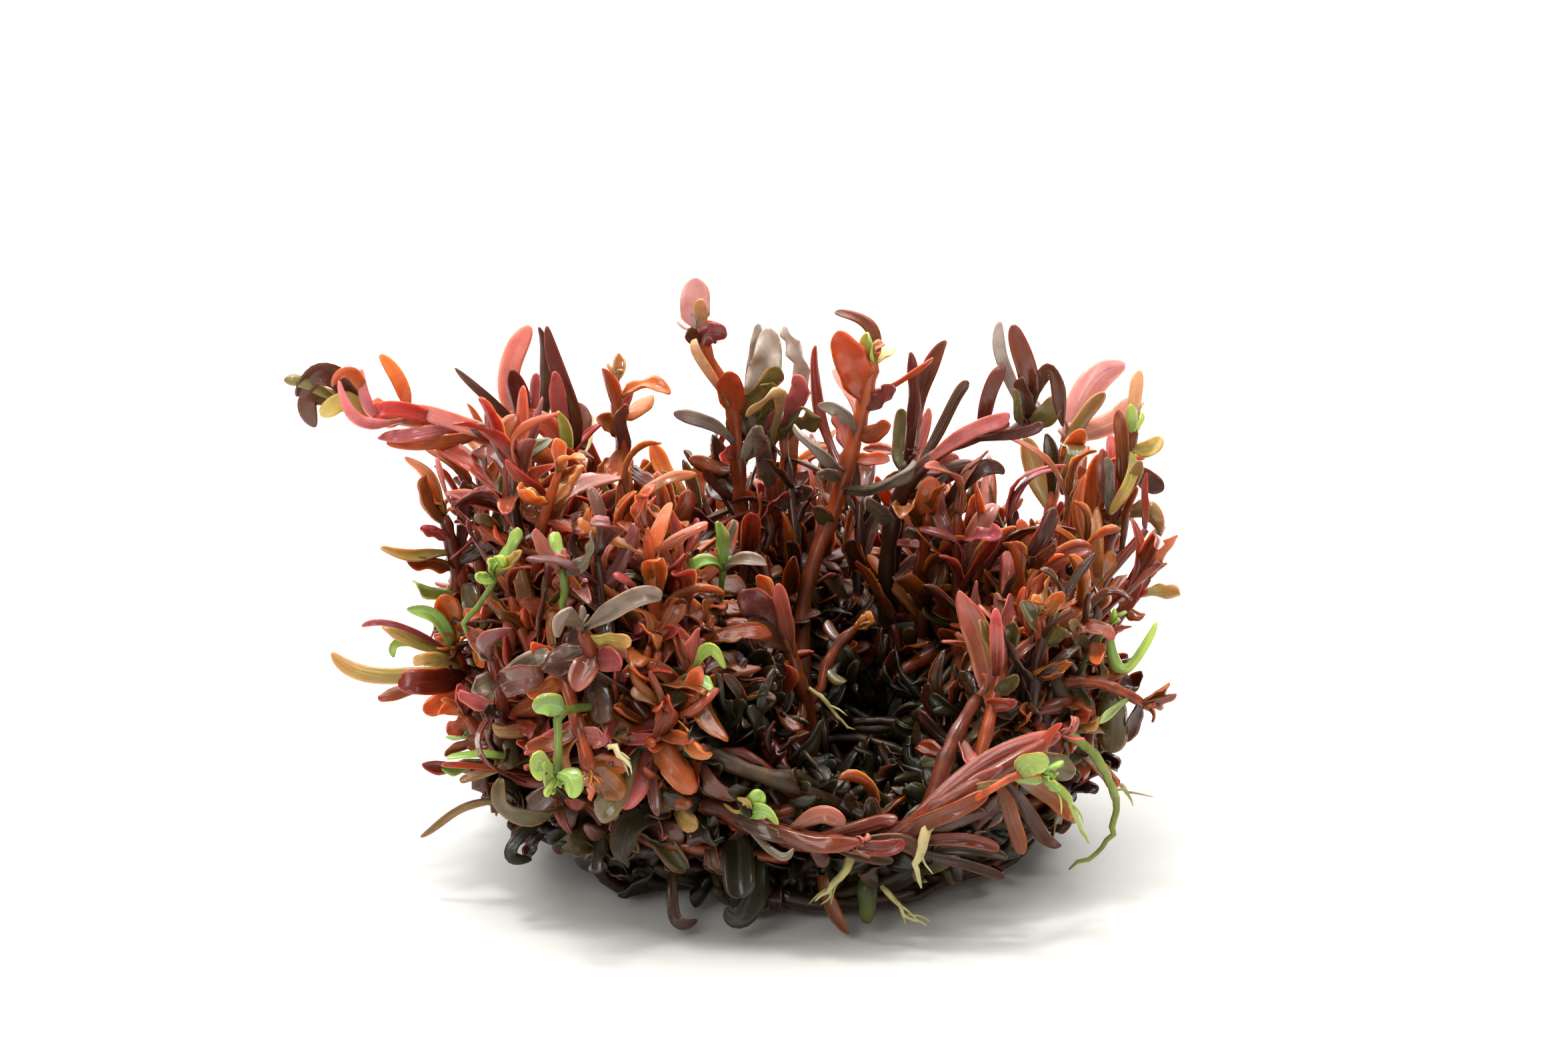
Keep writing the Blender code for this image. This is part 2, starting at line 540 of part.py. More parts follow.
def nest_radius(angle, height):
    """Outer radius of the nest about its own axis, with shallow lumps."""
    side = abs(math.cos(angle))
    reach = NEST_RADIUS_FRONT + (NEST_RADIUS_SIDE - NEST_RADIUS_FRONT) * max(side, math.sin(angle))
    lumps = sum(math.sin(count * angle + turn * height + start) for count, turn, start in LUMP_WAVES)
    ease = min(1.0, height / LUMP_START)
    return reach * interpolate(NEST_OUTLINE, height) * (1 + LUMP_SIZE * ease * lumps)


def distance_to_outline(angle, height):
    """Distance from the hollow's centre to the nest's outside, in one direction."""
    cx, cy = HOLLOW_CENTRE
    near, far = 0.0, SEARCH_REACH
    for _ in range(SEARCH_STEPS):
        middle = (near + far) / 2
        x = cx + middle * math.cos(angle)
        y = cy + middle * math.sin(angle)
        inside = math.hypot(x, y) < nest_radius(math.atan2(y, x), height)
        near, far = (middle, far) if inside else (near, middle)
    return near


def hollow_point(angle, distance, height):
    """A point at a distance and angle from the hollow's centre."""
    cx, cy = HOLLOW_CENTRE
    return Vector((cx + distance * math.cos(angle), cy + distance * math.sin(angle), height))


def nest_rings():
    """Rings of points from the foot, up the outside, over the wall and down into the hollow."""
    columns = []
    for k in range(NEST_SIDES):
        angle = math.tau * k / NEST_SIDES
        wall = interpolate(WALL_HEIGHTS, math.degrees(angle))
        column = []
        for share in OUTER_RINGS:
            height = wall * share
            column.append(hollow_point(angle, distance_to_outline(angle, height), height))
        outer = distance_to_outline(angle, wall)
        for across, share in CREST_RINGS:
            distance = HOLLOW_RADIUS_RIM + (outer - HOLLOW_RADIUS_RIM) * across
            column.append(hollow_point(angle, distance, wall * share))
        for share in INNER_RINGS:
            height = HOLLOW_FLOOR_Z + (wall - HOLLOW_FLOOR_Z) * share
            distance = HOLLOW_RADIUS_FLOOR + (HOLLOW_RADIUS_RIM - HOLLOW_RADIUS_FLOOR) * share
            column.append(hollow_point(angle, distance, height))
        for share, lift in FLOOR_RINGS:
            column.append(hollow_point(angle, HOLLOW_RADIUS_FLOOR * share, HOLLOW_FLOOR_Z + lift))
        columns.append(column)
    return list(zip(*columns))


def build_nest():
    """The nest as one closed solid with a flat foot and a hollow."""
    bm = bmesh.new()
    rings = [[bm.verts.new(p) for p in ring] for ring in nest_rings()]
    for lower, upper in zip(rings, rings[1:]):
        for k in range(NEST_SIDES):
            j = (k + 1) % NEST_SIDES
            bm.faces.new((lower[k], lower[j], upper[j], upper[k]))
    bm.faces.new(reversed(rings[0]))
    bm.faces.new(rings[-1])
    return bm


# Stems, leaves and roots


def smooth_route(points, step):
    """Points at about one step apart on a smooth curve through the route's own points."""
    pts = [Vector(p) for p in points]
    ends = [pts[0] * 2 - pts[1]] + pts + [pts[-1] * 2 - pts[-2]]
    curve = []
    for a, b, c, d in zip(ends, ends[1:], ends[2:], ends[3:]):
        pieces = max(1, round((c - b).length / step))
        for k in range(pieces):
            t = k / pieces
            curve.append(0.5 * (2 * b + (c - a) * t + (2 * a - 5 * b + 4 * c - d) * t * t
                                + (3 * b - a - 3 * c + d) * t * t * t))
    curve.append(pts[-1])
    return curve


def place_on(curve, along):
    """The point at a share of the length of a curve."""
    lengths = [(b - a).length for a, b in zip(curve, curve[1:])]
    target = along * sum(lengths)
    for a, b, length in zip(curve, curve[1:], lengths):
        if target <= length:
            return a.lerp(b, target / length)
        target -= length
    return curve[-1].copy()


def side_frames(curve):
    """A side vector square to the curve at each point, turning as little as it can."""
    heading = (curve[1] - curve[0]).normalized()
    side = heading.orthogonal().normalized()
    sides = []
    for k in range(len(curve)):
        ahead = curve[min(k + 1, len(curve) - 1)]
        behind = curve[max(k - 1, 0)]
        new_heading = (ahead - behind).normalized()
        side = heading.rotation_difference(new_heading) @ side
        heading = new_heading
        sides.append((side, heading))
    return sides


def skin_rings(bm, rings):
    """Join rings of points into one closed tube with flat ends."""
    verts = [[bm.verts.new(p) for p in ring] for ring in rings]
    count = len(verts[0])
    for lower, upper in zip(verts, verts[1:]):
        for k in range(count):
            j = (k + 1) % count
            bm.faces.new((lower[k], lower[j], upper[j], upper[k]))
    bm.faces.new(reversed(verts[0]))
    bm.faces.new(verts[-1])


def tube_mesh(curve, radii, sides):
    """A tapering tube along a curve."""
    rings = []
    last = len(curve) - 1
    for k, (point, (side, heading)) in enumerate(zip(curve, side_frames(curve))):
        radius = radii[0] + (radii[1] - radii[0]) * k / last
        ring = []
        for j in range(sides):
            turn = Matrix.Rotation(math.tau * j / sides, 3, heading)
            ring.append(point + turn @ side * radius)
        rings.append(ring)
    bm = bmesh.new()
    skin_rings(bm, rings)
    return bm


def leaf_mesh(foot, tip, width, roll, middle=None, facing=VIEW_FACING):
    """A thin leaf from a point in its stem to its tip, with a low ridge along its face."""
    foot = Vector(foot)
    tip = Vector(tip)
    axis = (tip - foot).normalized()
    out = (facing - axis * facing.dot(axis)).normalized()
    out = Matrix.Rotation(math.radians(roll), 3, axis) @ out
    if middle is None:
        middle = foot.lerp(tip, 0.5) - out * (tip - foot).length * LEAF_BOW
    pull = 2 * Vector(middle) - (foot + tip) / 2
    rings = []
    for share, part in LEAF_STATIONS:
        point = foot * (1 - share) ** 2 + pull * 2 * share * (1 - share) + tip * share ** 2
        heading = (pull - foot) * (1 - share) + (tip - pull) * share
        heading.normalize()
        across = heading.cross(out).normalized()
        normal = across.cross(heading)
        half_width = (PETIOLE_WIDTH if part is None else width * part) / 2
        rings.append([point - across * half_width, point + across * half_width,
                      point + normal * LEAF_THICKNESS])
    bm = bmesh.new()
    skin_rings(bm, rings)
    return bm


def tree_of(bm):
    """A collision tree of a bmesh in mm, with half of the gap round it."""
    return BVHTree.FromBMesh(bm, epsilon=PIECE_GAP / 2)


def is_clear(bm, trees):
    """True when a mesh keeps the gap to every tree."""
    own = tree_of(bm)
    return not any(own.overlap(tree) for tree in trees)


def inside_nest(point, nest_tree):
    """True when a point is inside the nest, by counting the walls above it."""
    crossings = 0
    start = Vector(point)
    up = Vector((0.0, 0.0, 1.0))
    for _ in range(MOST_WALLS):
        hit, _, _, _ = nest_tree.ray_cast(start, up)
        if hit is None:
            break
        crossings += 1
        start = hit + up * WELD
    return crossings % 2 == 1


def free_stretch(curve, radii, nest_tree, trees):
    """The stretch of a stem from its tip down to the nest or to another stem in its way.

    Returns the tube and the share of the route where it starts, or None.
    """
    last = len(curve) - 1
    first = last
    for k in range(last - 1, -1, -1):
        radius = radii[0] + (radii[1] - radii[0]) * k / last
        piece = tube_mesh(curve[k:k + 2], (radius, radius), STEM_SIDES)
        blocked = inside_nest(curve[k], nest_tree) or not is_clear(piece, trees + [nest_tree])
        piece.free()
        if blocked:
            break
        first = k
    kept = curve[first:]
    length = sum((b - a).length for a, b in zip(kept, kept[1:]))
    if length < SHORTEST_STEM:
        return None
    start_radius = radii[0] + (radii[1] - radii[0]) * first / last
    return tube_mesh(kept, (start_radius, radii[1]), STEM_SIDES), first / last


def is_one_closed_body(mesh):
    """True when a mesh is closed and all of it hangs together."""
    bm = bmesh.new()
    bm.from_mesh(mesh)
    closed = len(bm.verts) > 0 and all(edge.is_manifold for edge in bm.edges)
    seen = set(bm.verts[:1])
    front = bm.verts[:1]
    while front:
        vert = front.pop()
        for edge in vert.link_edges:
            other = edge.other_vert(vert)
            if other not in seen:
                seen.add(other)
                front.append(other)
    whole = len(seen) == len(bm.verts)
    bm.free()
    return closed and whole


def box_of(mesh):
    """The lowest and highest corner of a mesh."""
    points = [vert.co for vert in mesh.vertices]
    low = Vector([min(p[k] for p in points) for k in range(3)])
    high = Vector([max(p[k] for p in points) for k in range(3)])
    return low, high


def reaches_as_far(grown, meshes):
    """True when a grown mesh fills the same box as the meshes it grew from."""
    low, high = box_of(grown)
    slack = Vector((BOX_SLACK * MM,) * 3)
    for mesh in meshes:
        part_low, part_high = box_of(mesh)
        below = part_low - low + slack
        above = high - part_high + slack
        if min(below) < 0 or min(above) < 0:
            return False
    return True


def tidy_mesh(mesh):
    """Merge points that a union leaves on top of each other, and faces that lie flat together."""
    bm = bmesh.new()
    bm.from_mesh(mesh)
    bmesh.ops.remove_doubles(bm, verts=bm.verts, dist=WELD * MM)
    bmesh.ops.dissolve_degenerate(bm, edges=bm.edges, dist=WELD * MM)
    bmesh.ops.triangulate(bm, faces=bm.faces)
    bm.to_mesh(mesh)
    bm.free()


def union_with(thing, blade):
    """The mesh of one object grown together with another, by an exact union."""
    union = thing.modifiers.new("leaf", "BOOLEAN")
    union.operation = "UNION"
    union.object = blade
    union.solver = "EXACT"
    graph = bpy.context.evaluated_depsgraph_get()
    grown = bpy.data.meshes.new_from_object(thing.evaluated_get(graph))
    thing.modifiers.clear()
    tidy_mesh(grown)
    return grown


def join_leaves(name, stem, leaves, colour):
    """Grow the leaves onto the stem one by one, as one closed piece.

    A union that leaves a torn edge is tried again with the leaf rolled a little further.
    """
    thing = add_object(name, stem, colour)
    for foot, tip, width, roll, middle, facing in leaves:
        for turn in ROLL_TRIES:
            leaf = leaf_mesh(foot, tip, width, roll + turn, middle, facing)
            blade = add_object(name + "_leaf", leaf, colour)
            grown = union_with(thing, blade)
            whole = is_one_closed_body(grown) and reaches_as_far(grown, [thing.data, blade.data])
            bpy.data.objects.remove(blade, do_unlink=True)
            if whole:
                thing.data = grown
                break
    return thing


def rooted_route(route, nest_tree):
    """The route with its foot led back to the nest, where it starts outside it."""
    foot = Vector(route[0])
    hold, normal, _, distance = nest_tree.find_nearest(foot)
    if distance < NEAR_NEST or inside_nest(foot, nest_tree):
        return route
    return [hold - normal * NEAR_NEST] + route


def build_shoot(shoot, nest_tree, trees, facing=VIEW_FACING):
    """Build one shoot clear of the nest and of the pieces that stand already."""
    curve = smooth_route(rooted_route(shoot.route, nest_tree), STEM_STEP)
    stretch = free_stretch(curve, shoot.radii, nest_tree, trees)
    if stretch is None:
        return None
    stem, start = stretch
    route_length = sum((b - a).length for a, b in zip(curve, curve[1:]))
    own_length = sum((Vector(b) - Vector(a)).length for a, b in zip(shoot.route, shoot.route[1:]))
    kept_trees = [tree_of(stem)]
    leaves = []
    others = trees + [nest_tree]
    for along, tip, width, roll, *bend in shoot.leaves:
        along = 1 - (1 - along) * own_length / route_length
        if along < start:
            continue
        foot = place_on(curve, min(along, 1 - FOOT_INSET / route_length))
        middle = bend[0] if bend else None
        leaf = leaf_mesh(foot, tip, width, roll, middle, facing)
        buried = any(inside_nest(vert.co, nest_tree) for vert in leaf.verts)
        if not buried and is_clear(leaf, others):
            leaves.append((foot, tip, width, roll, middle, facing))
            kept_trees.append(tree_of(leaf))
    trees.extend(kept_trees)
    return join_leaves(shoot.name, stem, leaves, shoot.colour)


def back_shoot(index, rng):
    """One of the shoots behind the nest: it rises and leans out, with leaves in crossed pairs."""
    share = index / (BACK_SHOOTS - 1)
    angle = BACK_FIRST_ANGLE + (BACK_LAST_ANGLE - BACK_FIRST_ANGLE) * share
    angle = math.radians(angle + rng.uniform(-BACK_ANGLE_SPREAD, BACK_ANGLE_SPREAD))
    outward = Vector((math.cos(angle), math.sin(angle), 0.0))
    round_way = Vector((-outward.y, outward.x, 0.0))
    up = Vector((0.0, 0.0, 1.0))
    spread = rng.uniform(-BACK_FOOT_SPREAD, BACK_FOOT_SPREAD)
    foot = outward * BACK_RADIUS + up * (BACK_FOOT_Z + spread)
    rise = up * rng.uniform(*BACK_HEIGHTS)
    lean = outward * rng.uniform(*BACK_LEANS)
    sway = round_way * rng.uniform(-BACK_SWAY, BACK_SWAY)
    route = [foot, foot + (rise + lean) * 0.5, foot + rise + lean + sway]
    leaves = []
    for pair, along in enumerate(BACK_PAIR_PLACES):
        place = foot.lerp(route[-1], along)
        across = round_way if pair % 2 == 0 else outward
        for way in (-1, 1):
            length = rng.uniform(*BACK_LEAF_LENGTHS)
            tip = place + across * way * length * BACK_LEAF_OUT + up * length * BACK_LEAF_UP
            roll = rng.uniform(-BACK_LEAF_ROLL, BACK_LEAF_ROLL)
            leaves.append((along, tip, BACK_LEAF_WIDTH, roll))
    colour = rng.choice(BACK_COLOURS)
    return Shoot("back_shoot_%d" % (index + 1), route, BACK_STEM_RADII, leaves, colour), outward


def main():
    """Build the nest, the hand-placed shoots, the shoots behind and the roots."""
    clear_scene()
    nest = build_nest()
    nest_tree = tree_of(nest)
    add_object("stem_tangle", nest, "nest")
    trees = []
    for shoot in SHOOTS:
        build_shoot(shoot, nest_tree, trees)
    rng = random.Random(BACK_SEED)
    for index in range(BACK_SHOOTS):
        shoot, outward = back_shoot(index, rng)
        build_shoot(shoot, nest_tree, trees, outward)
    for name, radii, route in ROOTS:
        build_shoot(Shoot(name, route, radii, [], "root"), nest_tree, trees)


main()
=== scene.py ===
"""Blood red dwarf rotala: the looks of one clump of the plant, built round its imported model.

The clump is a nest of woven stems with an open hollow, and shoots with small opposite leaves rise all
round it. Every leaf is a thin closed blade with its own bend, cup and twist, and every stem is a tube
that swells at its nodes. Tables and sizes are in millimetres, and meshes are made in metres.
"""
import logging
import math
import random
from collections.abc import Iterator
from dataclasses import KW_ONLY, dataclass, field
from enum import Enum
from functools import cache

import bpy
import numpy as np
from mathutils import Matrix, Vector
from mathutils.bvhtree import BVHTree


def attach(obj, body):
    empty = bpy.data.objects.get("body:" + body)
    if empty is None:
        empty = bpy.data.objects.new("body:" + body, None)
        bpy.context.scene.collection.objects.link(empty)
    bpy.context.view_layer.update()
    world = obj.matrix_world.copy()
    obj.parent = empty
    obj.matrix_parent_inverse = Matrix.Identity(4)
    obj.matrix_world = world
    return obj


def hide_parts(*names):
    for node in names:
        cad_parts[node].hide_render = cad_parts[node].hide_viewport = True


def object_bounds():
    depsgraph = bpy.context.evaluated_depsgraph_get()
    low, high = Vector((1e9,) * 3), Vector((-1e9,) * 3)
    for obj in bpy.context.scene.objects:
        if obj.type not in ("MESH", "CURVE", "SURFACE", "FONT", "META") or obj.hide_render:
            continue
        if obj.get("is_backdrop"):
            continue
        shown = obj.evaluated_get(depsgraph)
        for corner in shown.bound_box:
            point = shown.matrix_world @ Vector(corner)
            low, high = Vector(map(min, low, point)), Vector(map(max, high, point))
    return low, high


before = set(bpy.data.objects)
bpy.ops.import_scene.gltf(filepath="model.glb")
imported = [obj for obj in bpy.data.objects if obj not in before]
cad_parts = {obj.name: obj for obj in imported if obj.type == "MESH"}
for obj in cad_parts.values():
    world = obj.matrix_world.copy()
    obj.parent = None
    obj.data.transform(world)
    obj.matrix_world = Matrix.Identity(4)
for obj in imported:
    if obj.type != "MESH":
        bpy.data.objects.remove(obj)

LOG = logging.getLogger("rotala")
CAD_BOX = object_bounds()

MM = 0.001
BODY = "root"
UP = Vector((0.0, 0.0, 1.0))
WHITE = (1.0, 1.0, 1.0, 1.0)
LEAF_IOR = 1.4
WATER_IOR = 1.33

# A colour as seen on a screen, each channel 0 to 255, a place in mm, and a pair of values: the least and
# the most, or those at two ends
Tint = tuple[int, int, int]
Place = tuple[float, float, float]
Span = tuple[float, float]

Socket = bpy.types.NodeSocket

# The least gap over the floor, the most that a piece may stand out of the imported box, and the longest
# shift that may keep it to both, in mm
FLOOR_GAP = 0.15
BOX_MARGIN = 0.6
LONGEST_SHIFT = 2.2

# A leaf's seed is a whole number of these steps, so that the finish can read it back exactly
SEED_STEPS = 4096

# Keeps divisions by a length away from 0, and the least length that a direction is read from
TINY = 1e-9
SLIGHT = 1e-3

# The direction that the listed leaves turn their faces to before they roll
VIEW_FACING = Vector((0.0, -0.956, 0.292))


class Tone(Enum):
    """The look of one leaf, by the letter that the shoot tables use."""

    ROSE = "P"
    BLUSH = "H"
    AMBER = "A"
    ORANGE = "O"
    RED = "R"
    MAROON = "M"
    VIOLET = "V"
    GREEN = "G"
    OLIVE = "L"
    YELLOW = "Y"
    # Grey-olive leaves whose pale grey is partly a painted wet sheen
    GREY_AND_PAINTED_SHEEN = "S"
    BROWN = "B"
    TAN = "T"
    MOSS = "D"


class Zone(Enum):
    """Where on the clump a leaf of the fill grows."""

    FOOT = "foot"
    WALL = "wall"
    SHOULDER = "shoulder"
    CREST = "crest"
    HOLLOW = "hollow"


def linear(red: int, green: int, blue: int) -> tuple[float, float, float, float]:
    """Turn a colour as seen on a screen, 0 to 255, into the linear values and alpha that shaders use."""
    shares = (channel / 255 for channel in (red, green, blue))
    return (*(s / 12.92 if s <= 0.04045 else ((s + 0.055) / 1.055) ** 2.4 for s in shares), 1.0)


class NodeDesk:
    """Short ways to place and join nodes in one node tree."""

    # The numbers of the sockets where a Mix node takes two colours and gives the mixed one
    mix_colours = (6, 7)
    mixed_colour = 2

    def __init__(self, tree: bpy.types.NodeTree) -> None:
        """Keep the tree that nodes are placed in, a material's or a group's."""
        self.tree = tree

    def place(self, kind: str, **settings: object) -> bpy.types.Node:
        """Place one node.

        Args:
            kind: The node's type name.
            settings: Properties of the node, set by name.

        Returns:
            The new node.
        """
        node = self.tree.nodes.new(kind)
        for name, value in settings.items():
            setattr(node, name, value)
        return node

    def feed(self, socket: Socket, value: object) -> None:
        """Link an output to a socket, or set the socket to a plain value.

        Args:
            socket: The input to feed.
            value: An output socket or a plain value.
        """
        if isinstance(value, Socket):
            self.tree.links.new(value, socket)
        else:
            socket.default_value = value

    def math(self, operation: str, *values: object) -> Socket:
        """Place a Math node.

        Args:
            operation: The Math node's operation.
            values: Its inputs in order, sockets or numbers.

        Returns:
            The node's output.
        """
        node = self.place("ShaderNodeMath", operation=operation)
        for socket, value in zip(node.inputs, values):
            self.feed(socket, value)
        return node.outputs[0]

    def blend(self, share: object, first: object, second: object, how: str = "MIX") -> Socket:
        """Mix two colours.

        Args:
            share: How much of the second colour shows, 0 to 1.
            first: The first colour.
            second: The second colour.
            how: The Mix node's blend type.

        Returns:
            The mixed colour.
        """
        node = self.place("ShaderNodeMix", data_type="RGBA", blend_type=how)
        self.feed(node.inputs[0], share)
        for number, colour in zip(self.mix_colours, (first, second)):
            self.feed(node.inputs[number], colour)
        return node.outputs[self.mixed_colour]

    def shade(self, share: object, colour: object, by: object) -> Socket:
        """Multiply a colour by a shade where the share, 0 to 1, says."""
        return self.blend(share, colour, self.blend(1.0, colour, by, "MULTIPLY"))

    def ramp(self, value: object, low: object, high: object, to_low: object = 0.0,
             to_high: object = 1.0) -> Socket:
        """Map a number smoothly from one range to another.

        Args:
            value: The number to map.
            low: Where the range starts.
            high: Where the range ends.
            to_low: The result at the start.
            to_high: The result at the end.

        Returns:
            The mapped number.
        """
        node = self.place("ShaderNodeMapRange", interpolation_type="SMOOTHSTEP")
        for socket, number in zip(node.inputs, (value, low, high, to_low, to_high)):
            self.feed(socket, number)
        return node.outputs[0]

    def attribute(self, name: str) -> Socket:
        """Read a number that the mesh carries at each point, by its name."""
        return self.place("ShaderNodeAttribute", attribute_name=name).outputs["Fac"]

    def noise(self, scale: object, detail: float, stretch: tuple[float, float, float] = (1, 1, 1),
              shift: object = None) -> Socket:
        """Place a noise that is fixed to the object.

        Args:
            scale: The noise's scale, per metre.
            detail: Its detail.
            stretch: How much finer it is along each axis.
            shift: A vector added to the coordinates, so that each leaf has its own pattern.

        Returns:
            The noise, about 0 to 1.
        """
        mapping = self.place("ShaderNodeMapping")
        self.feed(mapping.inputs["Vector"], self.place("ShaderNodeTexCoord").outputs["Object"])
        self.feed(mapping.inputs["Scale"], stretch)
        if shift is not None:
            self.feed(mapping.inputs["Location"], shift)
        node = self.place("ShaderNodeTexNoise")
        self.feed(node.inputs["Vector"], mapping.outputs[0])
        self.feed(node.inputs["Scale"], scale)
        self.feed(node.inputs["Detail"], detail)
        return node.outputs["Fac"]


@dataclass(frozen=True)
class Port:
    """One named input or output of a node group."""

    name: str
    kind: str = "NodeSocketFloat"
    value: object = None


def colour_ports(*names: str) -> tuple[Port, ...]:
    """The ports of a node group that carry a colour, by name."""
    return tuple(Port(name, "NodeSocketColor") for name in names)


class SharedGroup:
    """A node group that is built once and placed in many materials."""

    title = ""
    takes: tuple[Port, ...] = ()
    gives: tuple[Port, ...] = ()

    def tree(self) -> bpy.types.NodeTree:
        """Find the group, or build it the first time.

        Returns:
            The group's node tree.
        """
        found = bpy.data.node_groups.get(self.title)
        if found is not None:
            return found
        tree = bpy.data.node_groups.new(self.title, "ShaderNodeTree")
        for port, way in [(p, "INPUT") for p in self.takes] + [(p, "OUTPUT") for p in self.gives]:
            socket = tree.interface.new_socket(name=port.name, in_out=way, socket_type=port.kind)
            if port.value is not None:
                socket.default_value = port.value
        desk = NodeDesk(tree)
        taken = desk.place("NodeGroupInput")
        given = desk.place("NodeGroupOutput")
        results = self.fill(desk, taken.outputs)
        for port in self.gives:
            desk.feed(given.inputs[port.name], results[port.name])
        return tree

    def fill(self, desk: NodeDesk, taken: bpy.types.NodeOutputs) -> dict[str, object]:
        """Place the group's own nodes between the inputs taken and a socket for each output, by name."""
        raise NotImplementedError

    def use(self, desk: NodeDesk, **values: object) -> bpy.types.NodeOutputs:
        """Place the group in a material.

        Args:
            desk: The desk of the material's tree.
            values: Input values by name, with _ for each space.

        Returns:
            The placed group's outputs.
        """
        node = desk.place("ShaderNodeGroup")
        node.node_tree = self.tree()
        for name, value in values.items():
            desk.feed(node.inputs[name.replace("_", " ")], value)
        return node.outputs


class GrowthAgeAndShade(SharedGroup):
    """How young or old the growth is, and its painted shade: clear and young at the top, darker at the foot
    from old growth and painted shade, and darker in the hollow and on buried growth from painted shade.

    Its places and lengths are in metres, as the shader has them.
    """

    title = "growth age"
    takes = (Port("Young From", value=0.028), Port("Young To", value=0.046), Port("Old And Painted Shade To", value=0.014))
    gives = (Port("Young"), *colour_ports("Shade"))
    # Colours that multiply the growth: old growth and painted shade at the foot, painted shade in the hollow
    # and on buried growth; then the reach of the hollow's painted shade, in metres
    old_foot_and_painted_shade = (0.42, 0.47, 0.33, 1.0)
    painted_hollow_shade = (0.68, 0.73, 0.50, 1.0)
    painted_buried_shade = (0.42, 0.38, 0.26, 1.0)
    hollow_centre = (0.0040, -0.0075)
    hollow_spans = (0.0140, 0.0165)
    hollow_edge = (0.6, 1.5, 1.0, 0.0)
    hollow_depths = (0.0205, 0.0285, 1.0, 0.0)

    def fill(self, desk: NodeDesk, taken: bpy.types.NodeOutputs) -> dict[str, object]:
        """Place the group's own nodes.

        Args:
            desk: The desk of the group's tree.
            taken: The group's inputs, by name.

        Returns:
            How young the growth is and the painted shade to multiply its colour by.
        """
        axes = desk.place("ShaderNodeSeparateXYZ")
        desk.feed(axes.inputs[0], desk.place("ShaderNodeTexCoord").outputs["Object"])
        height = axes.outputs[2]
        young = desk.ramp(height, taken["Young From"], taken["Young To"])
        # Darker towards the floor: partly old growth, partly a painted shade
        age_and_shade = desk.ramp(height, 0.0, taken["Old And Painted Shade To"])
        shade = desk.blend(age_and_shade, self.old_foot_and_painted_shade, WHITE)
        # A painted shade in the hollow and on the stretch of wall in front of it
        spans = []
        for axis, (middle, reach) in enumerate(zip(self.hollow_centre, self.hollow_spans)):
            off = desk.math("DIVIDE", desk.math("SUBTRACT", axes.outputs[axis], middle), reach)
            spans.append(desk.math("MULTIPLY", off, off))
        inside = desk.ramp(desk.math("ADD", *spans), *self.hollow_edge)
        inside = desk.math("MULTIPLY", inside, desk.ramp(height, *self.hollow_depths))
        shade = desk.blend(inside, shade, self.painted_hollow_shade)
        # A painted shade where growth is buried in the nest or under thick growth
        buried = desk.blend(desk.attribute("buried"), WHITE, self.painted_buried_shade)
        return {"Young": young, "Shade": desk.blend(1.0, shade, buried, "MULTIPLY")}


